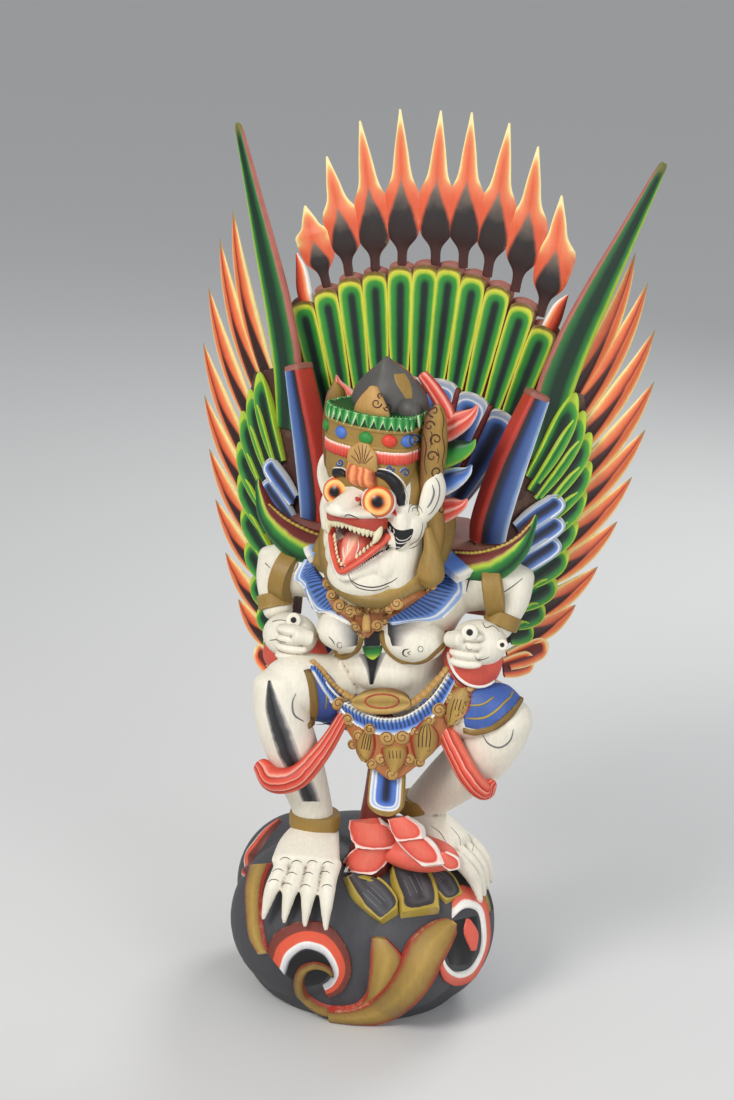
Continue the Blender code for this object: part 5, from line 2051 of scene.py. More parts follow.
    def fist(self, piece: Piece, side: int, lift: float) -> None:
        """Add one fist.

        Args:
            piece: Where it goes.
            side: 1 or -1.
            lift: How much higher it sits.
        """
        x = 100 if side > 0 else -92
        forms = [ball((x, -44, 388 + lift), (28, 23, 23), rings=18, sides=30)]
        forms += [ball((x - side * 8, -64, 387 + lift + h), (17, 9, 5.4)) for h in spaced(-14, 14, 4)]
        forms.append(tube(((x - side * 26, -62, 394 + lift, 8), (x - side * 12, -70, 398 + lift, 8)), 20,
            dome=0.3))
        piece.add(SKIN, carved(forms, 1.3, 2))
        hand = surface_tree(piece.parts[-1][0])
        page = LEFT_PAGE if side > 0 else RIGHT_PAGE
        ends = ((155, 1215, 8.2), (325, 1280, 5.6)) if side > 0 else ((515, 1150, 7.4), (356, 1192, 5.0))
        for across, down, radius in ends:
            hit = page.spot(hand, across, down)
            if hit:
                place = hit[0]
                out = (Vector(EYE_SPOT) - place).normalized()
                stub = [(*(place + out * d), radius * w) for d, w in ((-10, 1), (0, 1), (4.5, 0.95))]
                piece.add(SKIN, tube(stub, 26, 4, facing=UP, dome=0.12))
                # A black disc at each end of the grip stands for the hollow: painted shade in place of a
                # hole.
                hole = [(*(place + out * d), radius * 0.4) for d in (4.0, 5.6)]
                piece.add(BLACK, tube(hole, 18, 3, facing=UP, dome=0.1))
        lines = (((220, 1160, 0.3), (240, 1190, 0.6), (280, 1182, 0.6), (312, 1216, 0.3)),
                 ((176, 1334, 0.3), (210, 1358, 0.6), (262, 1340, 0.3)),
                 ((130, 1280, 0.2), (150, 1306, 0.4), (170, 1300, 0.2))) if side > 0 else (
                ((362, 1156, 0.3), (400, 1162, 0.6), (440, 1150, 0.6), (482, 1156, 0.3)),
                ((386, 1256, 0.3), (430, 1254, 0.6), (480, 1266, 0.3)))
        piece.draw(BLACK, page, hand, lines)
        cushion = ball((94, -38, 388) if side > 0 else (-88, -34, 362),
            (30, 22, 35) if side > 0 else (34, 22, 25), rings=24, sides=40)
        piece.add(CUSHION, cushion)
        ground = surface_tree(cushion)
        rim = ((1050, 790), (1084, 890), (1140, 940), (1210, 952), (1270, 920),
            (1308, 858)) if side > 0 else ((262, 800), (290, 846), (350, 872), (410, 870), (446, 846))
        marks = [(a, b, 1.7) for a, b in rim]
        piece.add(WHITE_LINE, BODY_PAGE.stroke(ground, marks, 0.6, 1.2))
        marks = [(a, b + 15, 1.2) for a, b in rim]
        piece.add(MAROON_PAINT, BODY_PAGE.stroke(ground, marks, 0.3, 0.6))


ROCK_PAGE = Sketch((220.0, 780.0), 0.1913)
CUSHION = Paint("cushion paint", srgb(206, 84, 68), 0.5, 0.3, 0.8, 0.8, 0.6, srgb(236, 150, 128))
SHADE = BandPaint("breast shading", BONE, 0.5, 0.1, 0.3, 0.2, waver=0.05,
    stops=((0.0, INK), (0.16, srgb(60, 60, 62)), (0.4, srgb(150, 146, 140)), (0.8, srgb(222, 216, 202)),
        (1.0, BONE)))
BELLY_SHADE = BandPaint("belly shading", BONE, 0.5, 0.1, 0.3, 0.2, waver=0.05,
    stops=((0.0, srgb(200, 194, 182)), (0.16, srgb(136, 134, 130)), (0.3, INK), (0.7, INK),
        (0.84, srgb(136, 134, 130)), (1.0, srgb(200, 194, 182))))
SHIN_SHADE = BandPaint("shin shading", BONE, 0.5, 0.1, 0.3, 0.2, waver=0.08, stops=(
    (0.0, srgb(206, 200, 188)), (0.2, srgb(60, 60, 62)), (0.5, srgb(30, 30, 32)), (0.75, srgb(90, 90, 92)),
    (0.9, srgb(190, 184, 174)), (1.0, srgb(216, 210, 196))))
GREEN_LOBE = BandPaint("green lobe paint", GREEN, 0.5, 0.1, 0.4, 0.3, reads="along", waver=0.02, stops=(
    (0.0, PINE), (0.4, GREEN), (0.75, LIME), (1.0, LIME)))
BREECHES_CLOTH = Paint("blue breeches cloth paint", srgb(62, 92, 160), 0.5, 0.3, 0.7, 0.6, 0.6,
    srgb(120, 146, 200))
BREECHES = BandPaint("blue breeches paint", BLUE, 0.5, 0.15, 0.6, 0.4, reads="along", waver=0.015,
    stops=((0.0, BLUE), (0.3, BLUE), (0.33, OCHRE), (0.37, OCHRE), (0.4, BLUE), (0.6, BLUE), (0.63, OCHRE),
        (0.67, OCHRE), (0.7, BLUE), (1.0, BLUE)))
SASH = BandPaint("red sash paint", RED, 0.5, 0.2, 0.7, 0.5, waver=0.05,
    stops=((0.0, RED), (0.1, SALMON), (0.18, srgb(236, 164, 142)), (0.23, srgb(146, 36, 28)), (0.3, RED),
        (0.4, srgb(216, 92, 70)), (0.45, srgb(232, 148, 126)), (0.49, srgb(146, 36, 28)), (0.56, RED),
        (0.68, SALMON), (0.73, srgb(236, 164, 142)), (0.77, srgb(146, 36, 28)), (0.83, RED),
        (0.94, srgb(224, 118, 94)), (1.0, SALMON)))


@dataclass
class Hips:
    """The bead belt, the blue frill, the carved gold apron and the blue panel that hang from the hips."""

    middle: tuple[float, float] = (13.0, -2.0)
    half: float = 88.0
    front: float = 66.0
    back: float = 54.0

    def skirt(self, u: np.ndarray, v: np.ndarray) -> np.ndarray:
        """A surface round the hips, on which the dress is laid out.

        Args:
            u: Round the hips, 0 at the back and 0.5 at the front.
            v: 0 at the waist, 1 at the hem.

        Returns:
            Points.
        """
        turn = 2 * np.pi * (u - 0.5)
        deep = np.where(np.cos(turn) > 0, self.front + 12 * v, self.back)
        x = self.middle[0] + self.half * np.sin(turn)
        return np.stack([x, self.middle[1] - deep * np.cos(turn), 402 - 170 * v], -1)

    def build(self, skin: Shape) -> bpy.types.Object:
        """Build what hangs from the hips.

        Args:
            skin: The body's skin.

        Returns:
            The piece.
        """
        piece = Piece("hip_dress")
        rows, columns = np.meshgrid(np.linspace(0, 1, 30), np.linspace(0, 1, 90), indexing="ij")
        points = self.skirt(columns, rows).reshape(-1, 3)
        flat = np.zeros(len(points))
        base = [skin, Shape(points, grid_quads(30, 90), NO_TRIS, flat, flat, flat)]
        ground = surface_tree(joined(base))
        page = BODY_PAGE
        for finish, height, size in ((GILT, 376, 6), (BLUE_PAINT, 362, 7)):
            belt = [(13 + 74 * math.sin(a), -2 + 50 * math.cos(a), height, size, size)
                    for a in spaced(-1.75, 1.75, 15)]
            piece.add(finish, tube(belt, 16, facing=UP))
        apron = page.patch(ground,
            ((500, 960), (600, 1060), (740, 1110), (870, 1105), (990, 1030), (1080, 930), (1170, 850)),
            ((520, 1010), (590, 1150), (680, 1290), (790, 1382), (900, 1322), (1050, 1180), (1184, 950)), 3.0,
            30, 5.0)
        piece.add(APRON, apron)
        frill = page.patch(ground,
            ((420, 850), (500, 948), (600, 1040), (720, 1096), (850, 1090), (970, 1010), (1060, 880)),
            ((412, 878), (500, 1010), (610, 1110), (730, 1168), (870, 1160), (1000, 1068), (1092, 900)), 4.5,
            12, 6)
        piece.add(FRILL, frill)
        ground = surface_tree(joined([*base, apron, frill]))
        tooth = ball((0, 0, 0), (1.5, 1.1, 1.5), rings=5, sides=8)
        for marks in (
                ((412, 880, 1), (500, 1012, 1), (610, 1112, 1), (730, 1170, 1), (870, 1162, 1),
                    (1000, 1070, 1), (1092, 902, 1)),
                ((424, 850, 0.8), (500, 950, 0.8), (600, 1040, 0.8), (720, 1098, 0.8), (850, 1092, 0.8),
                    (970, 1012, 0.8), (1058, 884, 0.8))):
            piece.add(WHITE_LINE, page.dots(ground, marks, tooth, WHITE_LINE, 2.6))
        bead = ball((0, -1, 0), (2.6, 3.4, 3.6), rings=8, sides=12)
        piece.add(GILT_WARM, page.dots(ground, ((428, 846, 1.0), (500, 925, 1.1), (570, 985, 1.2),
            (610, 1008, 1.2)), bead, GILT_WARM, 4.6), page.dots(ground,
            ((862, 1044, 1.5), (930, 1000, 1.5), (1000, 930, 1.4), (1050, 868, 1.2)), bead, GILT_WARM, 4.6))
        middle, half_turn = (748, 1020), np.linspace(math.pi, 0, 9)
        upper, lower = oval(middle, (130, -60), half_turn), oval(middle, (130, 60), half_turn)
        piece.add(MEDAL, page.patch(ground, upper, lower, 5.0, 24, 3))
        ring = oval(middle, (78, 32), np.linspace(0, 6.28, 16), 0.9)
        medal = surface_tree(piece.parts[-1][0])
        piece.add(GUM, page.stroke(medal, ring, 0.5, 0.4))
        self.scrolls(piece, ground)
        panel = Plumes(PANEL, TROUGH, 34)
        panel.grow([(22, -60, 310, 15), (23, -67, 270, 18), (24, -72, 242, 19), (25, -76, 222, 18)], 0.76)
        piece.add(PANEL, panel.shape())
        piece.add(MAROON_PAINT,
            tube(((20, -46, 310, 13, 6), (21, -54, 270, 16, 6), (22, -60, 240, 15, 6)), 22, 6))
        return piece.build()

    def scrolls(self, piece: Piece, ground: BVHTree) -> None:
        """Carve the apron's leaves and scrolls.

        Args:
            piece: Where they go.
            ground: The apron.
        """
        page = BODY_PAGE
        for first, second in (
                (
                    ((690, 1130), (640, 1180), (625, 1240), (660, 1300)),
                    ((700, 1140), (720, 1200), (712, 1260), (672, 1306))),
                (((740, 1230), (750, 1290), (790, 1350)), ((870, 1225), (866, 1290), (806, 1356))),
                (
                    ((940, 1100), (880, 1170), (880, 1240), (910, 1300)),
                    ((960, 1110), (1010, 1170), (1000, 1240), (930, 1300))),
                (
                    ((1120, 960), (1050, 1000), (1030, 1070), (1060, 1130)),
                    ((1140, 965), (1166, 1010), (1150, 1070), (1080, 1130)))):
            leaf = page.patch(ground, first, second, 3.2, 12)
            piece.add(LEAF_GOLD, leaf)
            tree = surface_tree(leaf)
            halves = (0.2, 0.8, 0.2) if len(first) == 3 else (0.2, 0.7, 0.7, 0.1)
            veins = [between(first, second, share, halves) for share in (0.3, 0.43, 0.57, 0.7)]
            piece.draw(GROOVE, page, tree, veins, 0.15)
        table = ((546, 1030, 34, 90, -1.3), (590, 1104, 36, 60, 1.3), (770, 1190, 36, 200, 1.4),
            (840, 1186, 36, -20, -1.4), (906, 1160, 30, 180, 1.2), (966, 1110, 30, 0, 1.2),
            (1010, 1060, 34, 0, -1.3), (1060, 1000, 34, 200, 1.3), (1106, 930, 34, -40, -1.3),
            (1090, 1080, 30, 120, 1.1), (742, 1290, 30, 180, -1.1), (872, 1290, 30, 0, 1.1),
            (792, 1356, 30, 120, 1.0), (700, 1310, 26, 120, 1.0), (640, 1180, 30, 90, 1.0),
            (690, 1150, 28, 0, -1.2), (1150, 880, 28, 0, -1.0), (1150, 960, 28, 0, 1.0),
            (960, 1240, 30, 40, -1.2), (920, 1300, 26, 40, 1.0), (610, 1220, 24, 90, 1.0))
        for finish, shape in page.bosses(ground, table):
            piece.add(finish, shape)


SCROLL = BandPaint("gold scroll paint", GOLD_PALE, 0.5, 0.3, 0.9, 0.7, 0.8, waver=0.05, stops=(
    (0.0, srgb(84, 34, 24)), (0.08, srgb(150, 92, 48)), (0.2, srgb(204, 164, 98)), (0.8, srgb(204, 164, 98)),
    (0.92, srgb(150, 92, 48)), (1.0, srgb(84, 34, 24))))
LEAF_GOLD = BandPaint("red edged gold paint", GOLD, 0.5, 0.3, 0.9, 0.8, 0.8, waver=0.04, stops=(
    (0.0, srgb(176, 52, 40)), (0.08, srgb(140, 60, 36)), (0.2, GOLD), (0.5, srgb(172, 140, 70)), (0.8, GOLD),
    (0.92, srgb(140, 60, 36)), (1.0, srgb(176, 52, 40))))
APRON = Paint("apron bed paint", srgb(164, 104, 60), 0.5, 0.3, 0.9, 0.9, 0.9, srgb(178, 66, 48))
FRILL = BandPaint("blue frill paint", BLUE, 0.5, 0.12, 0.5, 0.3, waver=0.02, pleats=44,
    stops=((0.0, WHITE), (0.1, SKY), (0.24, BLUE), (0.6, srgb(62, 100, 180)), (0.82, SKY), (0.92, WHITE),
        (1.0, WHITE)))
MEDAL = BandPaint("medallion paint", GOLD, 0.5, 0.3, 0.9, 0.8, 0.8, waver=0.02, stops=(
    (0.0, srgb(120, 84, 40)), (0.2, GOLD_PALE), (0.5, GOLD), (0.8, GOLD_PALE), (1.0, srgb(120, 84, 40))))
PANEL = BandPaint("blue panel paint", BLUE, 0.5, 0.12, 0.5, 0.3, reads="border", closes=0.76, waver=0.03,
    stops=((0.0, INK), (0.16, NAVY), (0.34, BLUE), (0.52, srgb(90, 126, 200)), (0.6, WHITE), (0.68, SKY),
        (0.8, WHITE), (0.87, GOLD), (1.0, GOLD)))
RIGHT_PAGE = Sketch((195.0, 400.0), 0.1913)
LEFT_PAGE = Sketch((440.0, 400.0), 0.1913)
BODY_PAGE = Sketch((220.0, 480.0), 0.2168)
CAPE = BandPaint("blue collar paint", BLUE, 0.5, 0.12, 0.5, 0.3, waver=0.02, pleats=22,
    stops=((0.0, NAVY), (0.1, BLUE), (0.55, srgb(86, 122, 190)), (0.7, srgb(110, 146, 210)), (0.76, WHITE),
        (0.82, SKY), (0.9, SKY), (0.94, WHITE), (1.0, WHITE)))
CAPE_BACK = BandPaint("plain blue collar paint", BLUE, 0.5, 0.12, 0.5, 0.3, reads="along", waver=0.01, stops=(
    (0.0, NAVY), (0.12, BLUE), (0.7, srgb(86, 126, 198)), (0.8, SKY), (0.9, WHITE), (1.0, WHITE)))


@dataclass
class Collar:
    """The pleated blue collar, the smooth torc and the carved leaf pendant."""

    torc_middle: tuple[float, float, float] = (-2.0, -32.0, 502.0)
    torc_reach: tuple[float, float, float] = (55.0, 56.0, 50.0)
    torc_section: tuple[float, float] = (12.0, 9.0)
    torc_span_deg: float = 118.0

    def cape(self, u: np.ndarray, v: np.ndarray) -> np.ndarray:
        """The surface of the plain collar behind the shoulders.

        Args:
            u: Round the neck, from the right to the left of the chest.
            v: 0 at the neck, 1 at the hem.

        Returns:
            Points.
        """
        turn = np.radians(60 + 240 * u)
        shoulder = np.abs(np.sin(turn))
        reach_x = 52 + 34 * v
        reach_y = 48 + 18 * v
        z = 482 - 6 * (1 - shoulder) - (30 - 16 * shoulder) * v
        return np.stack([reach_x * np.sin(turn), -22 - reach_y * np.cos(turn) + 8 * shoulder, z], -1)

    def build(self, skin: Shape) -> bpy.types.Object:
        """Build the collar.

        Args:
            skin: The body's skin.

        Returns:
            The piece.
        """
        piece = Piece("collar")
        body = surface_tree(skin)
        piece.add(CAPE_BACK, sheet(self.cape, 16, 160, 8))
        left = FACE_PAGE.patch(body, ((700, 1180), (690, 1270), (620, 1340), (540, 1400), (440, 1430)),
            ((836, 1150), (868, 1290), (842, 1350), (745, 1452), (600, 1474), (470, 1490)), 4.0, 16)
        right = RIGHT_PAGE.patch(body, ((620, 850), (650, 900), (700, 970), (750, 1060), (840, 1130)),
            ((588, 818), (520, 925), (552, 960), (622, 1088), (700, 1120), (820, 1180)), 4.0, 16)
        piece.add(CAPE, left, right)
        tooth = ball((0, 0, 0), (1.5, 1.1, 1.5), rings=5, sides=8)
        edges = surface_tree(joined([left, right]))
        for page, marks in (
                (FACE_PAGE, ((838, 1152), (869, 1290), (842, 1350), (745, 1452), (600, 1474), (470, 1490))),
                (RIGHT_PAGE, ((588, 820), (521, 925), (553, 960), (622, 1087), (700, 1119), (820, 1178)))):
            marks = [(a, b, 0.9) for a, b in marks]
            piece.add(WHITE_LINE, page.dots(edges, marks, tooth, WHITE_LINE, 2.8))
        x, y, z = self.torc_middle
        out, forward, drop = self.torc_reach
        torc = []
        for degrees in spaced(-self.torc_span_deg, self.torc_span_deg, 19):
            turn = math.radians(degrees)
            spot = (x + out * math.sin(turn), y - forward * math.cos(turn), z - drop * math.cos(turn))
            torc.append((*spot, *self.torc_section))
        band = tube(torc, 26, 6, facing=(0, -0.5, 0.86))
        piece.add(TORC, band)
        self.pendant(piece, surface_tree(joined([skin, band, left, right])))
        return piece.build()

    def pendant(self, piece: Piece, ground: BVHTree) -> None:
        """Carve the gold leaves that hang from the torc.

        Args:
            piece: Where they go.
            ground: What they lie on.
        """
        page = FACE_PAGE
        piece.add(SCROLL_BED, page.patch(ground,
            ((128, 1235), (170, 1330), (230, 1385), (350, 1400), (480, 1385), (610, 1320), (722, 1272)),
            ((122, 1270), (190, 1410), (250, 1470), (345, 1560), (430, 1480), (560, 1400), (715, 1290)), 5.0,
            14))
        ground = surface_tree(joined([shape for shape, _ in piece.parts[-1:]]))
        table = ((142, 1276, 26, -60, 1.2), (166, 1334, 30, -60, 1.3), (208, 1388, 36, -60, 1.4),
            (258, 1418, 36, -50, -1.4), (306, 1412, 38, 200, 1.5), (404, 1408, 38, -30, -1.5),
            (456, 1402, 36, 210, 1.4), (506, 1376, 36, -10, -1.4), (556, 1346, 34, 200, 1.3),
            (602, 1322, 32, -10, -1.3), (650, 1298, 28, 200, 1.2), (692, 1284, 24, 0, -1.0),
            (250, 1480, 26, 30, 1.2), (290, 1500, 32, 30, 1.2), (404, 1492, 32, 150, -1.2),
            (440, 1468, 26, 150, -1.2), (318, 1546, 26, 60, 1.0), (376, 1546, 26, 120, -1.0))
        for finish, shape in page.bosses(ground, table):
            piece.add(finish, shape)
        piece.draw(SCROLL, page, ground, (
            ((350, 1420, 2.6), (348, 1470, 5.6), (346, 1530, 5.8), (346, 1590, 1.4)),
            ((352, 1380, 2), (352, 1400, 3.4), (350, 1425, 1.5))), 0.5, 2.2)


TORC = BandPaint("smooth gold paint", GOLD, 0.45, 0.25, 0.8, 0.7, 0.9, waver=0.08,
    stops=((0.0, srgb(120, 98, 48)), (0.25, GOLD), (0.5, srgb(176, 150, 84)), (0.75, GOLD),
        (1.0, srgb(126, 96, 44))))
SCROLL_BED = Paint("scroll bed paint", srgb(146, 90, 52), 0.5, 0.25, 0.9, 0.7, 0.8, srgb(176, 132, 74))


EYE = BandPaint("eye paint", WHITE, 0.3, 0.04, 0.3, 0.0, 0.1, reads="along", waver=0.0,
    stops=((0.0, INK), (0.08, INK), (0.104, srgb(110, 50, 24)), (0.14, srgb(226, 120, 52)),
        (0.19, srgb(250, 196, 116)), (0.25, srgb(252, 212, 136)), (0.272, srgb(230, 116, 58)),
        (0.325, srgb(224, 98, 54)), (0.345, srgb(150, 52, 34)), (0.36, WHITE), (0.43, WHITE), (0.46, SALMON),
        (0.5, RED), (1.0, RED)))
LIP = Paint("lip paint", srgb(208, 84, 62), 0.4, 0.3, 0.8, 0.4, 0.8, srgb(236, 160, 136))
GUM = Paint("gum paint", srgb(182, 68, 52), 0.4, 0.2, 0.8, 0.2)
# Dark red for the back of the open mouth: its red with the mouth's painted shade.
SHADED_THROAT = Paint("shaded throat paint", srgb(96, 30, 26), 0.5)
TONGUE = BandPaint("tongue paint", PINK, 0.45, 0.2, 0.6, 0.3, waver=0.1,
    stops=((0.0, srgb(214, 92, 74)), (0.3, PINK), (0.5, srgb(244, 196, 160)), (0.62, srgb(226, 120, 100)),
        (1.0, srgb(206, 84, 66))))
GREY_LINE = Paint("grey line paint", srgb(118, 116, 116), 0.5, 0.1, 0.3, 0.2)
PEARL = Paint("pearl white paint", WHITE, 0.4, 0.05, 0.6, 0.2)
FACE_PAGE = Sketch((300.0, 340.0), 0.1913)


@dataclass
class Head:
    """The bulging-eyed head with its open mouth."""

    centre: tuple[float, float, float] = (-8.0, -50.0, 552.0)
    turn_deg: float = 19.0
    grain: float = 1.15
    skin: Shape = field(init=False)
    auricles: list[Shape] = field(init=False)

    def place(self) -> Matrix:
        """The head's frame: x across the face, -y out of it, z up.

        Returns:
            The frame in millimetres.
        """
        return Matrix.Translation(self.centre) @ Matrix.Rotation(math.radians(-self.turn_deg), 4, "Z")

    def flesh(self) -> list[Shape]:
        """Skull, snout, cheeks and jaw.

        Returns:
            Closed shapes that overlap, in the head's frame.
        """
        shapes = [ball((0, 2, 4), (50, 48, 52), rings=24, sides=40), ball((0, 2, -46), (42, 34, 34))]
        lip = ((0, -24, -15, 38, 7), (0, -46, -13, 31, 6.5), (0, -63, -11, 22, 6), (0, -76, -8.5, 11, 4.5))
        shapes.append(tube(lip, 34, 8, UP, 0.7))
        ridge = ((0, -20, 0, 16, 20), (0, -44, -2, 10, 11.5), (0, -62, -5, 11, 8), (0, -74, -6.5, 9, 5.5))
        shapes.append(tube(ridge, 34, 8, UP, 0.7))
        jaw = ((0, -2, -60, 43, 26), (0, -30, -66, 34, 18), (0, -45, -73, 21, 10), (0, -56, -79, 8, 4.5))
        shapes.append(tube(jaw, 34, 8, UP, 0.7))
        shapes.append(ball((0, -20, -84), (38, 32, 26), rings=20, sides=32))
        for side in (1, -1):
            shapes.append(ball((side * 45, -9, -28), (14, 17, 17)))
            shapes.append(ball((side * 37, -12, -22), (16, 20, 24)))
            shapes.append(tube(mirrored(((40, -24, -14, 9), (42, -22, -26, 10), (38, -20, -42, 12)), side),
                20))
            shapes.append(tube(mirrored(((38, -6, -34, 15, 17), (34, -6, -58, 20, 22), (27, -8, -84, 24, 24)),
                side), 26))
            shapes.append(ball((side * 20, -16, -68), (24, 24, 24)))
        return shapes

    def both_sides(self, half: tuple, far: float = 1.0) -> list:
        """Run a line round the mouth.

        Args:
            half: Stations from the figure's left corner to the middle.
            far: How much of their thickness is left on the far side.

        Returns:
            Stations from corner to corner.
        """
        return list(half) + [(-x, y, z, *[far * size for size in sizes]) for x, y, z, *sizes in half[-2::-1]]

    def mouth(self, piece: Piece, place: Matrix) -> None:
        """Add gums, lips, teeth and tongue.

        Args:
            piece: Where they go.
            place: The head's frame.
        """
        # A dark red ball deep in the mouth paints the shade inside the open mouth.
        piece.add(SHADED_THROAT, ball((0, -24, -36), (31, 12, 17)).moved(place))
        gum = ((29, -26, -24, 3, 5), (27, -40, -23, 3.2, 8), (22.5, -50, -20.5, 3.4, 8),
            (12.5, -60, -17.5, 5, 6.5), (0, -64, -15.5, 6, 6))
        piece.add(GUM, tube(self.both_sides(gum), 16, 8, UP).moved(place))
        palate = ((0, -24, -19, 28, 4), (0, -50, -17, 24, 4), (0, -68, -14, 15, 3))
        piece.add(GUM, tube(palate, 20, 6, UP).moved(place))
        lip = ((32, -30, -36, 5, 4), (25.5, -40, -47, 6, 3.6), (16, -49.5, -58.5, 6, 3.4),
            (7, -57, -68, 4.5, 3), (0, -60, -72, 3, 2.6))
        piece.add(LIP, tube(self.both_sides(lip, 0.62), 18, 8, UP).moved(place))
        floor = ((0, -24, -50, 28, 5), (0, -40, -57, 20, 5), (0, -54, -68, 8, 3))
        piece.add(LIP, tube(floor, 20, 6, UP).moved(place))
        tongue = ((0, -24, -42, 16, 8), (2, -38, -48, 15, 7), (3, -50, -58, 10, 5), (2, -56, -65, 4, 3))
        piece.add(TONGUE, tube(tongue, 26, 8, UP).moved(place))
        tooth = tube(((0, 0, 1.5, 2.3, 1.6), (0, 0, -1, 2.4, 1.7), (0, 0, -3.6, 1.5, 1.2),
            (0, 0, -5.4, 0.5, 0.5)), 12, 4)
        teeth = Row(tooth, CLAW, 0.22)
        upper = ((26.5, -42, -31.5), (22.5, -51.5, -29), (12, -60, -25), (0, -63.5, -22.5))
        lower = ((23, -40, -42.5), (15, -48, -53), (7, -54.5, -62.5), (0, -57, -66.5))
        for gums, spacing, up, size in (
                (upper, (2.0, 1, 4.3), UP, (1.0, 1.0, 0.86)),
                (lower, (3.0, 2, 4.6), DOWN, (0.8, 0.8, 0.62))):
            for x, y, z in spots_along(self.both_sides(gums), *spacing):
                teeth.put((x, y, z), (x * 0.9, y + 44, 0.0), up, size)
        piece.add(CLAW, teeth.shape().moved(place))
        tree = surface_tree(piece.parts[-2][0])
        piece.draw(WHITE_LINE, FACE_PAGE, tree, (
            ((262, 1034, 0.3), (250, 1080, 0.9), (246, 1130, 0.3)),
            ((304, 1040, 0.3), (306, 1084, 0.8), (290, 1124, 0.3)),
            ((226, 1078, 0.2), (226, 1114, 0.7), (234, 1150, 0.2))), 0.25, 0.3)
        for side in (1, -1):
            fang = ((26, -38, -24, 3.8), (28, -41, -31, 4.2), (27.5, -44, -37, 3.2), (26, -46, -41.5, 0.9))
            piece.add(CLAW, tube(mirrored(fang, side), 18, 8).moved(place))

    def ears(self, piece: Piece, place: Matrix) -> None:
        """Add ears and earrings.

        Args:
            piece: Where they go.
            place: The head's frame.
        """
        self.auricles = []
        for side in (1, -1):
            ear = ((50, -3, -26, 4, 4), (56, -3, -14, 9, 6), (60, 0, 0, 13, 6), (61, 3, 14, 12, 6),
                (59, 7, 27, 5, 4))
            self.auricles.append(tube(mirrored(ear, side), 26, 8, (0.9, -0.45, 0)).moved(place))
            drop = 6 * side
            hang = ((56 + drop / 2, -2, -36 + drop, 4.5), (60 + drop, -5, -52 + drop, 7.5),
                (62 + drop, -6, -68 + drop, 12), (62 + drop, -6, -79 + drop, 13.5),
                (61 + drop, -6, -86 + drop, 9))
            piece.add(GILT, tube(mirrored(hang, side), 26, 8).moved(place))

    def marks(self, piece: Piece, place: Matrix) -> None:
        """Paint the moustache, the creases and the lines of the face.

        Args:
            piece: Where they go.
            place: The head's frame.
        """
        skin = surface_tree(joined([self.skin, *self.auricles]))
        page = FACE_PAGE
        piece.draw(BLACK, page, skin, (
            ((172, 924, 0.4), (235, 921, 0.7), (300, 931, 0.7), (360, 943, 0.8), (430, 941, 0.7)),
            ((250, 1222, 0.3), (275, 1262, 0.7), (330, 1287, 0.8), (400, 1291, 0.8), (470, 1268, 0.6),
                (512, 1240, 0.3)),
            ((262, 1262, 0.3), (300, 1293, 0.6), (360, 1308, 0.6), (420, 1304, 0.5), (470, 1285, 0.3)),
            ((478, 1070, 0.8), (430, 1104, 1.3), (360, 1147, 1.3), (300, 1181, 1.2), (242, 1212, 0.6)),
            ((175, 985, 0.4), (184, 1010, 0.6), (192, 1035, 0.4)),
            ((570, 1092, 0.2), (600, 1080, 0.5), (625, 1060, 0.2))))
        bead = ball((0, -0.2, 0), (0.65, 0.5, 0.65), rings=4, sides=8)
        edge = ((474, 1076, 1.0), (430, 1107, 1.0), (360, 1150, 1.0), (300, 1184, 1.0), (248, 1212, 1.0))
        piece.add(WHITE_LINE, page.dots(skin, edge, bead, WHITE_LINE, 2.5))
        piece.draw(GREY_LINE, page, skin, (
            ((585, 900, 0.3), (590, 880, 0.6), (612, 880, 0.6), (622, 900, 0.5), (618, 920, 0.3)),
            ((566, 905, 0.3), (575, 872, 0.6), (600, 862, 0.6), (628, 876, 0.5), (642, 905, 0.3)),
            ((706, 716, 0.4), (728, 760, 0.9), (724, 830, 1.0), (696, 890, 0.9), (668, 916, 0.4)),
            ((690, 752, 0.3), (700, 800, 1.3), (684, 850, 1.3), (662, 880, 0.5)),
            ((640, 950, 0.3), (636, 1000, 0.9), (610, 1050, 0.9), (570, 1080, 0.3)),
            ((330, 845, 0.4), (348, 880, 0.8), (380, 915, 0.7), (420, 932, 0.3))))
        piece.add(BLACK, page.patch(skin, ((436, 942), (458, 985), (480, 1020), (494, 1062), (500, 1096)),
            ((470, 948), (500, 985), (545, 995), (600, 985), (588, 1030), (545, 1076), (505, 1098))))
        piece.draw(WHITE_LINE, page, skin, (
            ((470, 972, 0.3), (474, 988, 0.5), (466, 1002, 0.4)),
            ((488, 985, 0.3), (494, 1003, 0.5), (486, 1018, 0.3)),
            ((500, 1028, 0.3), (520, 1046, 0.5), (560, 1040, 0.5), (585, 1018, 0.3)),
            ((494, 1046, 0.3), (512, 1062, 0.5), (545, 1060, 0.5), (570, 1046, 0.3)),
            ((486, 1064, 0.3), (500, 1080, 0.5), (528, 1082, 0.4))), 0.55)
        piece.add(RED_PAINT, page.stroke(skin, ((288, 832, 1.4), (300, 832, 2.9), (314, 833, 1.2)), 0.3, 0.4))
        piece.add(RED_PAINT,
            page.patch(skin, ((474, 900), (490, 912), (505, 924)), ((492, 862), (500, 890), (508, 918))))
        piece.add(GILT, page.patch(surface_tree(self.skin), ((540, 640), (566, 700), (576, 780), (566, 862)),
                                   ((680, 640), (660, 720), (650, 790), (630, 872)), 0.8))
        beads = Row(ball((0, 0, 0), (1, 1, 1), rings=6, sides=8), PEARL, 0.1)
        rim = ((35.5, -31, -37.5), (29.5, -43, -50), (20, -53, -62), (9, -60.5, -71.5), (0, -63.5, -75))
        for spot in spots_along(self.both_sides(rim), 2.0, 1, 3.1):
            near, normal, _, _ = skin.find_nearest(place @ Vector(spot))
            beads.put(near + normal * 0.3)
        piece.add(PEARL, beads.shape())

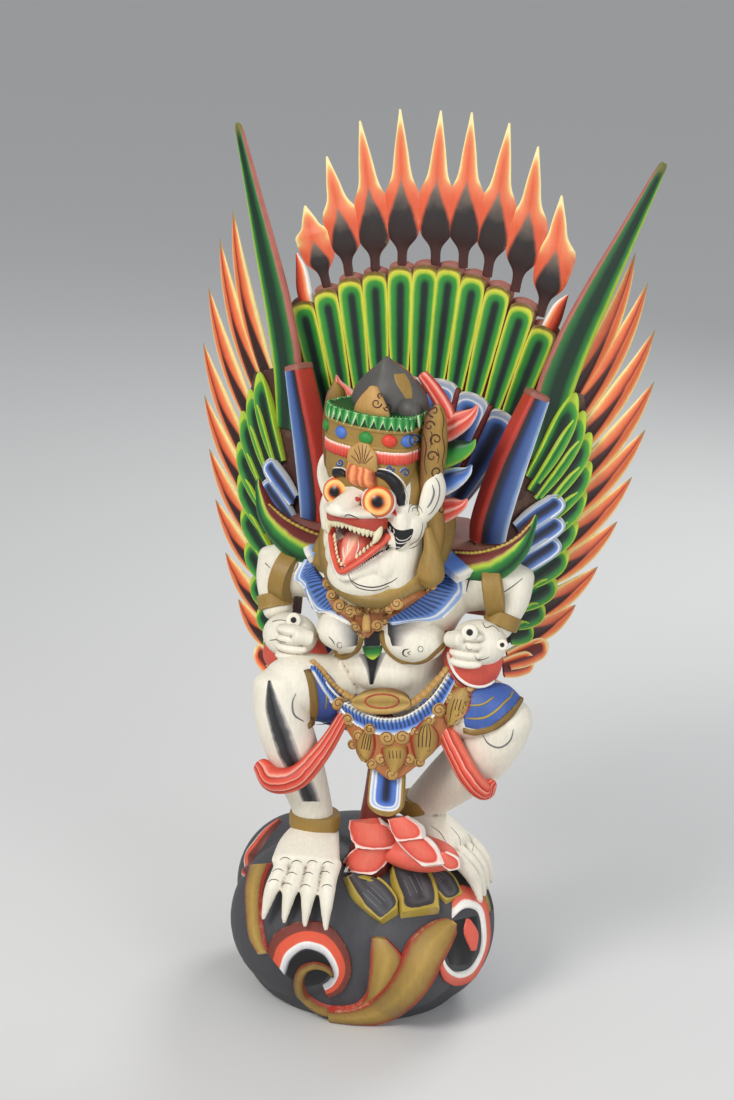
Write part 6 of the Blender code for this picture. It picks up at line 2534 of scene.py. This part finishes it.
    def brows(self, piece: Piece, surface: BVHTree) -> None:
        """Carve the black brows, which cross onto the crown's forehead.

        Args:
            piece: Where they go.
            surface: The skin and the forehead together.
        """
        page = FACE_PAGE
        left = ((384, 692, 2.2), (425, 702, 4.2), (466, 722, 5.4), (504, 764, 6.2), (524, 816, 6.0),
            (532, 868, 3.4))
        right = ((141, 760, 2.4), (146, 716, 4.2), (176, 696, 4.8), (214, 694, 4.4), (244, 706, 2.4))
        piece.draw(BLACK, page, surface, (left, right), 0.6, 2.6)
        left = ((380, 676, 0.5), (430, 674, 0.8), (480, 690, 0.8), (534, 738, 0.9), (566, 806, 0.9),
            (566, 872, 0.5))
        right = ((122, 740, 0.5), (136, 690, 0.7), (172, 668, 0.7), (220, 668, 0.7), (250, 686, 0.4))
        piece.draw(WHITE_LINE, page, surface, (left, right), 0.9, 0.5)

    def build(self) -> bpy.types.Object:
        """Build the head without its crown.

        Returns:
            The piece.
        """
        place = self.place()
        piece = Piece("head")
        self.skin = carved([s.moved(place) for s in self.flesh()], self.grain, 7)
        piece.add(SKIN, self.skin)
        for side, look in ((1, (0.46, -0.86, 0.2)), (-1, (0.29, -0.94, 0.17))):
            eye = ball((24.6, -38, -1) if side > 0 else (-21.8, -38, -0.5),
                (17, 17, 17) if side > 0 else (15.5, 15.5, 15.5), pole=look, rings=60, sides=60)
            piece.add(EYE, eye.moved(place))
        self.mouth(piece, place)
        self.ears(piece, place)
        piece.add(SKIN, *self.auricles)
        self.marks(piece, place)
        self.brows(piece, surface_tree(joined([self.skin, Crown().forehead().moved(place)])))
        return piece.build()


ZIGZAG = BandPaint("green zigzag paint", GREEN, 0.45, 0.15, 0.6, 0.3, reads="border", closes=0.8, waver=0.02,
    stops=((0.0, srgb(20, 92, 44)), (0.45, srgb(50, 142, 62)), (0.74, srgb(96, 176, 96)),
        (0.84, srgb(214, 232, 190)), (1.0, srgb(222, 236, 196))))
GROOVE = Paint("groove paint", srgb(84, 40, 26), 0.6)
SCALLOP = BandPaint("coral scallop paint", SALMON, 0.45, 0.15, 0.6, 0.3, reads="along", waver=0.02,
    stops=((0.0, srgb(176, 44, 36)), (0.3, srgb(206, 70, 56)), (0.7, SALMON), (0.86, srgb(244, 196, 186)),
        (1.0, WHITE)))
PLATE = BandPaint("side plate paint", GOLD, 0.5, 0.3, 0.9, 0.9, 0.8, waver=0.04, stops=(
    (0.0, srgb(120, 84, 40)), (0.2, GOLD), (0.5, srgb(172, 134, 66)), (0.8, GOLD), (1.0, srgb(112, 70, 38))))
TASSEL = BandPaint("tassel paint", srgb(190, 92, 50), 0.5, 0.2, 0.8, 0.6, waver=0.12,
    stops=((0.0, srgb(160, 70, 40)), (0.16, PEACH), (0.3, srgb(180, 74, 42)), (0.42, PEACH),
        (0.55, srgb(186, 80, 46)), (0.7, PEACH), (0.82, srgb(170, 70, 42)), (1.0, PEACH)))
RED_TONGUE = BandPaint("red tongue paint", RED, 0.45, 0.15, 0.6, 0.4,
    stops=((0.0, srgb(244, 190, 176)), (0.12, SALMON), (0.3, srgb(196, 60, 44)), (0.44, srgb(240, 176, 160)),
        (0.52, SALMON), (0.62, srgb(190, 52, 40)), (0.8, SALMON), (0.88, srgb(236, 168, 150)),
        (1.0, srgb(170, 44, 36))))
GREEN_TONGUE = BandPaint("green tongue paint", GREEN, 0.45, 0.15, 0.6, 0.4, stops=(
    (0.0, LIME), (0.14, srgb(70, 156, 56)), (0.5, GREEN), (0.8, PINE), (1.0, PINE)))
BLUE_TONGUE = BandPaint("blue tongue paint", BLUE, 0.45, 0.15, 0.6, 0.4, stops=(
    (0.0, WHITE), (0.12, SKY), (0.3, BLUE), (0.75, NAVY), (0.9, SKY), (1.0, WHITE)))


@dataclass
class Crown:
    """The jewelled headband with its leaf plates, the topknot and the tongues behind."""

    axis: tuple[float, float] = (0.0, 2.0)
    press: float = 0.5
    fold: float = -22.0
    narrow: float = 0.95

    def flat(self, shape: Shape) -> Shape:
        """Flatten the front of a turned form.

        Args:
            shape: The form; it is changed.

        Returns:
            The form.
        """
        y = shape.points[:, 1] - self.axis[1]
        shape.points[:, 1] = self.fold - self.axis[1] + y * np.where(y < 0, self.press, 2 - self.press)
        shape.points[:, 0] *= self.narrow
        return shape

    def forehead(self) -> Shape:
        """The gold forehead plate.

        Returns:
            The plate, in the head's frame.
        """
        return self.flat(turned(((6, 42, 42), (14, 46, 47), (24, 48, 48.5), (39, 47.5, 47)), self.axis, 96,
            3))

    def round(self, height: float, out: float, degrees: float) -> Vector:
        """A point round the band.

        Args:
            height: Above the head's middle.
            out: How far from the axis.
            degrees: Round from the front, towards the figure's left.

        Returns:
            The point.
        """
        turn = math.radians(degrees)
        y = -0.98 * out * math.cos(turn)
        y *= self.press if y < 0 else 2 - self.press
        return Vector((self.narrow * out * math.sin(turn), self.fold - self.axis[1] + y, height))

    def away(self, degrees: float) -> Vector:
        """The way out of the band.

        Args:
            degrees: Round from the front, towards the figure's left.

        Returns:
            The direction.
        """
        turn = math.radians(degrees)
        press = self.press if math.cos(turn) > 0 else 2 - self.press
        return Vector((math.sin(turn) * press, -math.cos(turn), 0.0)).normalized()

    def bands(self, piece: Piece, place: Matrix) -> None:
        """Add the stacked bands and what is set on them.

        Args:
            piece: Where they go.
            place: The head's frame.
        """
        piece.add(GILT, self.forehead().moved(place))
        rings = ((GUM, (38, 47, 47), (39.5, 48.5, 48.5), (47, 49, 49), (49, 47, 47)),
                 (GILT, (48, 48, 48), (49.5, 50.5, 50.5), (52, 50.5, 50.5), (53.5, 48, 48)),
                 (GILT, (52, 48, 48), (53, 48.4, 48.4), (66, 48.4, 48.4), (67, 48, 48)),
                 (GILT, (66, 48, 48), (67, 50, 50), (69, 50, 50), (70, 48, 48)),
                 (PINE_PAINT, (69, 47, 46), (76, 48, 47), (81, 49, 48), (81.5, 43, 42)))
        for finish, *profile in rings:
            piece.add(finish, self.flat(turned(tuple(profile), self.axis, 110, 3)).moved(place))
        leaf = tube(((0, 0, -6.5, 6.0, 1.6), (0, 0, -2, 4.4, 2.4), (0, -0.3, 3, 2.4, 2.2),
            (0, -0.4, 6.5, 0.4, 0.6)), 12, 5, dome=0.3)
        tip = tube(((0, 0, -1.5, 2.4, 1.8), (0, 0, 2.5, 0.5, 0.5)), 10, 3)
        flute = tube(((0, 0, -5.6, 2.0, 1.6), (0, 0, 0, 2.3, 2.0), (0, 0, 4.4, 2.3, 2.0)), 12, 4, dome=1.0)
        for form, finish, uneven, height, out, around, up in (
                (leaf, ZIGZAG, 0.04, 75.5, 49.4, (-174, 174, 30), DOWN),
                (tip, GREEN_PAINT, 0.1, 81.5, 48.2, (-180, 176, 60), UP),
                (flute, SCALLOP, 0.05, 43.6, 48.4, (-176, 176, 72), UP)):
            row = Row(form, finish, uneven)
            for degrees in spaced(*around):
                row.put(place @ self.round(height, out, degrees), place.to_3x3() @ self.away(degrees), up)
            piece.add(finish, row.shape())
        for degrees, finish in zip((-22, 14.5, 47, 82, 112, 142, 172, 202, 232, 262, 290),
                                   (BLUE_PAINT, GREEN_PAINT, RED_PAINT) * 4):
            spot = self.round(60, 48.5, degrees)
            gem = ball((0, 0, 0), (7.4, 4.6, 6.2), (0, -1, 0), 14, 24)
            away = self.away(degrees)
            turn = Matrix.Rotation(math.atan2(away.x, -away.y), 4, "Z")
            piece.add(finish, gem.moved(place @ Matrix.Translation(spot) @ turn))

    def build(self, place: Matrix) -> bpy.types.Object:
        """Build the crown.

        Args:
            place: The head's frame.

        Returns:
            The piece.
        """
        piece = Piece("crown")
        self.bands(piece, place)
        piece.add(GILT_WARM, tube(((9, -34, 76, 21, 7), (9, -36, 86, 19, 7), (9, -36, 96, 13, 6),
            (9, -35, 106, 5, 4)), 30, 6).moved(place))
        leaf = tube(((10, -47, 30, 16, 5), (10, -49, 38, 17, 6), (10, -48.5, 47, 15, 5),
            (10, -47.5, 54, 7, 4)), 30, 6).moved(place)
        piece.add(GILT_WARM, leaf)
        for a, b in ((262, 600), (282, 566), (304, 546), (326, 540), (350, 548), (370, 570), (386, 604)):
            middle = (0.55 * a + 0.45 * 326, 0.5 * b + 0.5 * 650, 0.7)
            piece.add(GROOVE, FACE_PAGE.stroke(surface_tree(leaf),
                ((a, b, 0.35), middle, (326 + 0.2 * (a - 326), 652, 0.3)), 0.12, 0.0))
        piece.add(TASSEL, tube(((9, -44, 15, 15.5, 5), (9, -48, 21, 16, 7), (10, -49, 32, 14.5, 6)), 34, 6,
            dome=0.3, power=3).moved(place))
        knot = ((0, 10, 80, 43, 36), (0, 8, 94, 39, 31), (0, 4, 108, 26, 22), (0, 0, 119, 13, 12),
            (0, -2, 127, 4, 5))
        hood = tube(knot, 40, 8, power=1.6).moved(place)
        piece.add(TOPKNOT, hood, ball((34, -10, 84), (12, 10, 12)).moved(place))
        piece.add(RED_TONGUE, tube(((26, 24, 112, 6, 5), (38, 28, 98, 8, 6), (52, 30, 80, 8, 6),
            (60, 30, 68, 4, 4)), 22).moved(place))
        page = FACE_PAGE
        tree = surface_tree(hood)
        piece.add(GILT, page.patch(tree, ((486, 176), (500, 230), (540, 290), (556, 320)),
            ((548, 170), (580, 220), (590, 280), (580, 320)), 0.4))
        piece.add(CORAL,
            page.patch(tree, ((470, 96), (560, 160), (600, 210)), ((500, 90), (600, 150), (650, 220)), 0.4))
        finishes = (RED_TONGUE, GREEN_TONGUE, BLUE_TONGUE, RED_TONGUE)
        tree = surface_tree(joined([shape for shape, _ in piece.parts]))
        piece.curl(GROOVE, page, tree,
            ((400, 330, 28, 0, 1.2), (460, 350, 24, 180, -1.2), (420, 290, 16, 90, 1.0)), 0.9, 0.3, 0.2)
        piece.curl(BLUE_TONGUE, page, tree, ((470, 672, 22, 0, 1.2), (548, 694, 24, 180, 1.2),
            (212, 640, 20, 180, -1.2), (598, 520, 34, 90, 1.3)), 1.5, 0.5, 0.8)
        for side in (1, -1):
            plate = ((54, 10, -74, 3, 3), (57, 12, -56, 11, 4), (56, 14, -36, 13, 5), (56, 8, -8, 12, 5),
                (56, 4, 16, 13, 6), (57, 3, 44, 15, 6), (57, 2, 68, 14, 6), (58, 1, 84, 10, 5),
                (59, 0, 93, 3, 2))
            piece.add(PLATE, tube(mirrored(plate, side), 30, 8, (0.92, -0.38, 0)).moved(place))
            if side > 0:
                tree = surface_tree(piece.parts[-1][0])
                piece.curl(GROOVE, page, tree, ((700, 372, 34, 90, 1.1), (676, 450, 30, 0, -1.1),
                    (712, 520, 34, 120, 1.2), (690, 610, 32, 0, -1.1), (716, 690, 30, 120, 1.0),
                    (740, 800, 26, 90, 1.0), (744, 890, 26, 0, -1.0)), 1.1, 0.3, 0.2)
                piece.draw(GROOVE, page, tree, (
                    ((690, 344, 0.3), (652, 400, 0.9), (644, 480, 0.5), (660, 560, 0.9), (650, 640, 0.5),
                        (664, 710, 0.3)),
                    ((730, 350, 0.3), (752, 420, 0.8), (744, 490, 0.5), (756, 570, 0.9), (744, 640, 0.5),
                        (752, 690, 0.3)),
                    ((676, 470, 0.2), (690, 500, 0.7), (680, 570, 0.2)),
                    ((716, 560, 0.2), (726, 610, 0.7), (716, 650, 0.2))), 0.25, 0.0)
            for (height, reach, rise), finish in zip(((62, 66, 26), (36, 66, 18), (8, 64, 20), (-20, 62, 14)),
                    finishes):
                tongue = ((34, 26, height - 8, 11, 9), (50, 30, height, 13, 9),
                    (reach + 2, 33, height + rise * 0.45, 10, 7), (reach + 12, 35, height + rise * 0.8, 5, 4),
                    (reach + 16, 36, height + rise + 3, 1, 1))
                piece.add(finish, tube(mirrored(tongue, side), 26, 8, (0, -1, 0)).moved(place))
        piece.add(MAROON_PAINT, ball((0, 30, 10), (42, 26, 60)).moved(place))
        return piece.build()


@dataclass
class Yoke:
    """The ledge behind the shoulders that takes the tenons, and its two horn-shaped leaves."""

    outline: tuple = ((-114.5, -12), (114.5, -12), (114.5, 46), (51, 97), (-51, 97), (-114.5, 46))
    levels: tuple = ((423, 0.86), (435, 1.0), (489.6, 1.0))

    def build(self) -> bpy.types.Object:
        """Build the yoke.

        Returns:
            The piece.
        """
        piece = Piece("yoke")
        rings = [[(x * inset, y * inset, z) for x, y in self.outline] for z, inset in self.levels]
        piece.add(ROSE_PAINT, prism(rings))
        for side in (1, -1):
            horn = ((62, -14, 468, 20, 12), (88, -18, 472, 19, 13), (110, -20, 484, 16, 13),
                (128, -20, 502, 11, 11), (138, -18, 524, 5, 6), (141, -16, 534, 2, 2))
            leaf = tube(mirrored(horn, side), 26, 8, facing=(0, -1, 0.2))
            piece.add(HORN_TURNED if side > 0 else HORN, leaf)
            tree = surface_tree(leaf)
            page = LEFT_PAGE if side > 0 else RIGHT_PAGE
            marks = ((84, 800, 0.9), (200, 802, 1.1), (318, 772, 1.2), (410, 718, 1.1),
                (470, 654, 0.8)) if side > 0 else ((390, 552, 0.8), (474, 626, 1.1), (582, 684, 1.2),
                (690, 720, 0.9))
            piece.add(MAROON_PAINT, page.stroke(tree, [(a, b, 4 * w) for a, b, w in marks], 0.5, 0.6))
            tooth = tube(((0, -0.6, -2, 1.1, 1.0), (0, -1.2, 0, 1.5, 1.2), (0, -0.6, 2, 1.1, 1.0)), 10, 2)
            piece.add(OCHRE_PAINT, page.dots(tree, marks, tooth, OCHRE_PAINT, 4.4))
        return piece.build()


def prism(rings: list) -> Shape:
    """Close a stack of flat outlines.

    Args:
        rings: Outlines of points with as many corners each, bottom first.

    Returns:
        A closed shape.
    """
    count, sides = len(rings), len(rings[0])
    points = np.array(rings, float).reshape(-1, 3)
    face = np.array(triangles_of([Vector((x, y, 0)) for x, y, _ in rings[0]]))
    tris = np.vstack([face, face[:, ::-1] + (count - 1) * sides])
    a, b, c = (points[tris[0, k]] for k in range(3))
    if np.cross(b - a, c - a)[2] > 0:
        tris = tris[:, ::-1]
    quads = grid_quads(count, sides, True)
    a, b, c = (points[quads[0, k]] for k in range(3))
    if np.cross(b - a, c - a) @ (points.mean(axis=0) - a) > 0:
        quads = quads[:, ::-1]
    zero = np.zeros(len(points))
    return Shape(points, quads, tris, zero, zero, zero)


HORN_STOPS = ((0.0, MAROON), (0.3, MAROON), (0.36, OCHRE), (0.42, LIME), (0.55, GREEN), (0.8, PINE),
    (1.0, GREEN))
HORN = BandPaint("green horn paint", GREEN, 0.5, 0.15, 0.5, 0.4, stops=HORN_STOPS)
HORN_TURNED = BandPaint("turned green horn paint", GREEN, 0.5, 0.15, 0.5, 0.4, stops=tuple(
    (1.0 - at, tone) for at, tone in reversed(HORN_STOPS)))


@dataclass
class Studio:
    """A pale floor, soft light and the camera at the painter's seat."""

    sensor: float = 36.0
    clip: float = 50.0
    floor_half: float = 40.0
    floor_drop: float = 0.0005
    floor_tone: tuple[float, float, float, float] = (0.62, 0.62, 0.61, 1)
    sky_tone: tuple[float, float, float, float] = (0.86, 0.88, 0.92, 1)
    sky_strength: float = 0.55
    aim: tuple[float, float, float] = (0.0, 0.0, 0.45)
    lamps: tuple = (("key", (-1.1, -2.2, 2.3), 1.2, 62, (1.0, 0.98, 0.95)),
                    ("fill", (2.0, -1.8, 1.2), 1.6, 24, (0.95, 0.97, 1.0)),
                    ("rim", (0.6, 2.2, 2.0), 1.2, 30, (1.0, 1.0, 1.0)))

    def camera(self) -> None:
        """Set up the camera."""
        made = bpy.data.cameras.new("camera")
        made.sensor_width = self.sensor
        made.lens = FOCAL * made.sensor_width / (2 * PAGE_MIDDLE[1])
        made.clip_end = self.clip
        holder = bpy.data.objects.new("camera", made)
        holder.matrix_world = Matrix.Translation(Vector(EYE_SPOT) * MM) @ sight_turn().to_4x4()
        bpy.context.scene.collection.objects.link(holder)
        bpy.context.scene.camera = holder
        holder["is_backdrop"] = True

    def light(self, name: str, spot: tuple, size: float, power: float, colour: tuple) -> None:
        """Add a soft lamp that looks at the figure.

        Args:
            name: Its name.
            spot: Where it stands.
            size: Its width.
            power: Its power in watts.
            colour: Its colour.
        """
        made = bpy.data.lights.new(name, "AREA")
        made.shape = "DISK"
        made.size = size
        made.energy = power
        made.color = colour
        holder = bpy.data.objects.new(name, made)
        aim = (Vector(self.aim) - Vector(spot)).normalized()
        holder.matrix_world = Matrix.Translation(spot) @ aim.to_track_quat("-Z", "Y").to_matrix().to_4x4()
        bpy.context.scene.collection.objects.link(holder)
        holder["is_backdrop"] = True

    def build(self) -> None:
        """Build the floor, the light and the camera."""
        paint = bpy.data.materials.new("floor")
        paint.use_nodes = True
        shader = paint.node_tree.nodes["Principled BSDF"]
        shader.inputs["Base Color"].default_value = self.floor_tone
        shader.inputs["Roughness"].default_value = 0.8
        mesh = bpy.data.meshes.new("floor")
        edge, low = self.floor_half, -self.floor_drop
        floor = [(-edge, -edge, low), (edge, -edge, low), (edge, edge, low), (-edge, edge, low)]
        mesh.from_pydata(floor, [], [(0, 1, 2, 3)])
        mesh.materials.append(paint)
        holder_of(mesh, "floor")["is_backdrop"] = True
        world = bpy.data.worlds.new("studio")
        world.use_nodes = True
        sky = world.node_tree.nodes["Background"]
        sky.inputs["Color"].default_value = self.sky_tone
        sky.inputs["Strength"].default_value = self.sky_strength
        bpy.context.scene.world = world
        for lamp in self.lamps:
            self.light(*lamp)
        bpy.context.scene.view_settings.view_transform = "Standard"
        self.camera()


def corners() -> list[list[float]]:
    """The shown object's box.

    Returns:
        Its lowest and highest corners.
    """
    return [list(map(float, corner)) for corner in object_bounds()]


def main() -> None:
    """Build every piece in order, then the studio."""
    logging.basicConfig(level=logging.INFO, format="%(message)s")
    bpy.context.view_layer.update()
    for maker in (
            Wing(Side.RIGHT, "right_wing", "right_wing_paint", (1.08, 1.055)),
            Wing(Side.LEFT, "left_wing", "left_wing_paint", (0.90, 0.93)),
            TailFan(), Yoke()):
        made = maker.build()
        LOG.info("built %s", made.name)
    body = Body()
    body.build()
    for maker in (Hips(), Collar(), Rock()):
        made = maker.build(body.skin)
        LOG.info("built %s", made.name)
    head = Head()
    head.build()
    Crown().build(head.place())
    Studio().build()


if __name__ == "__main__":
    main()
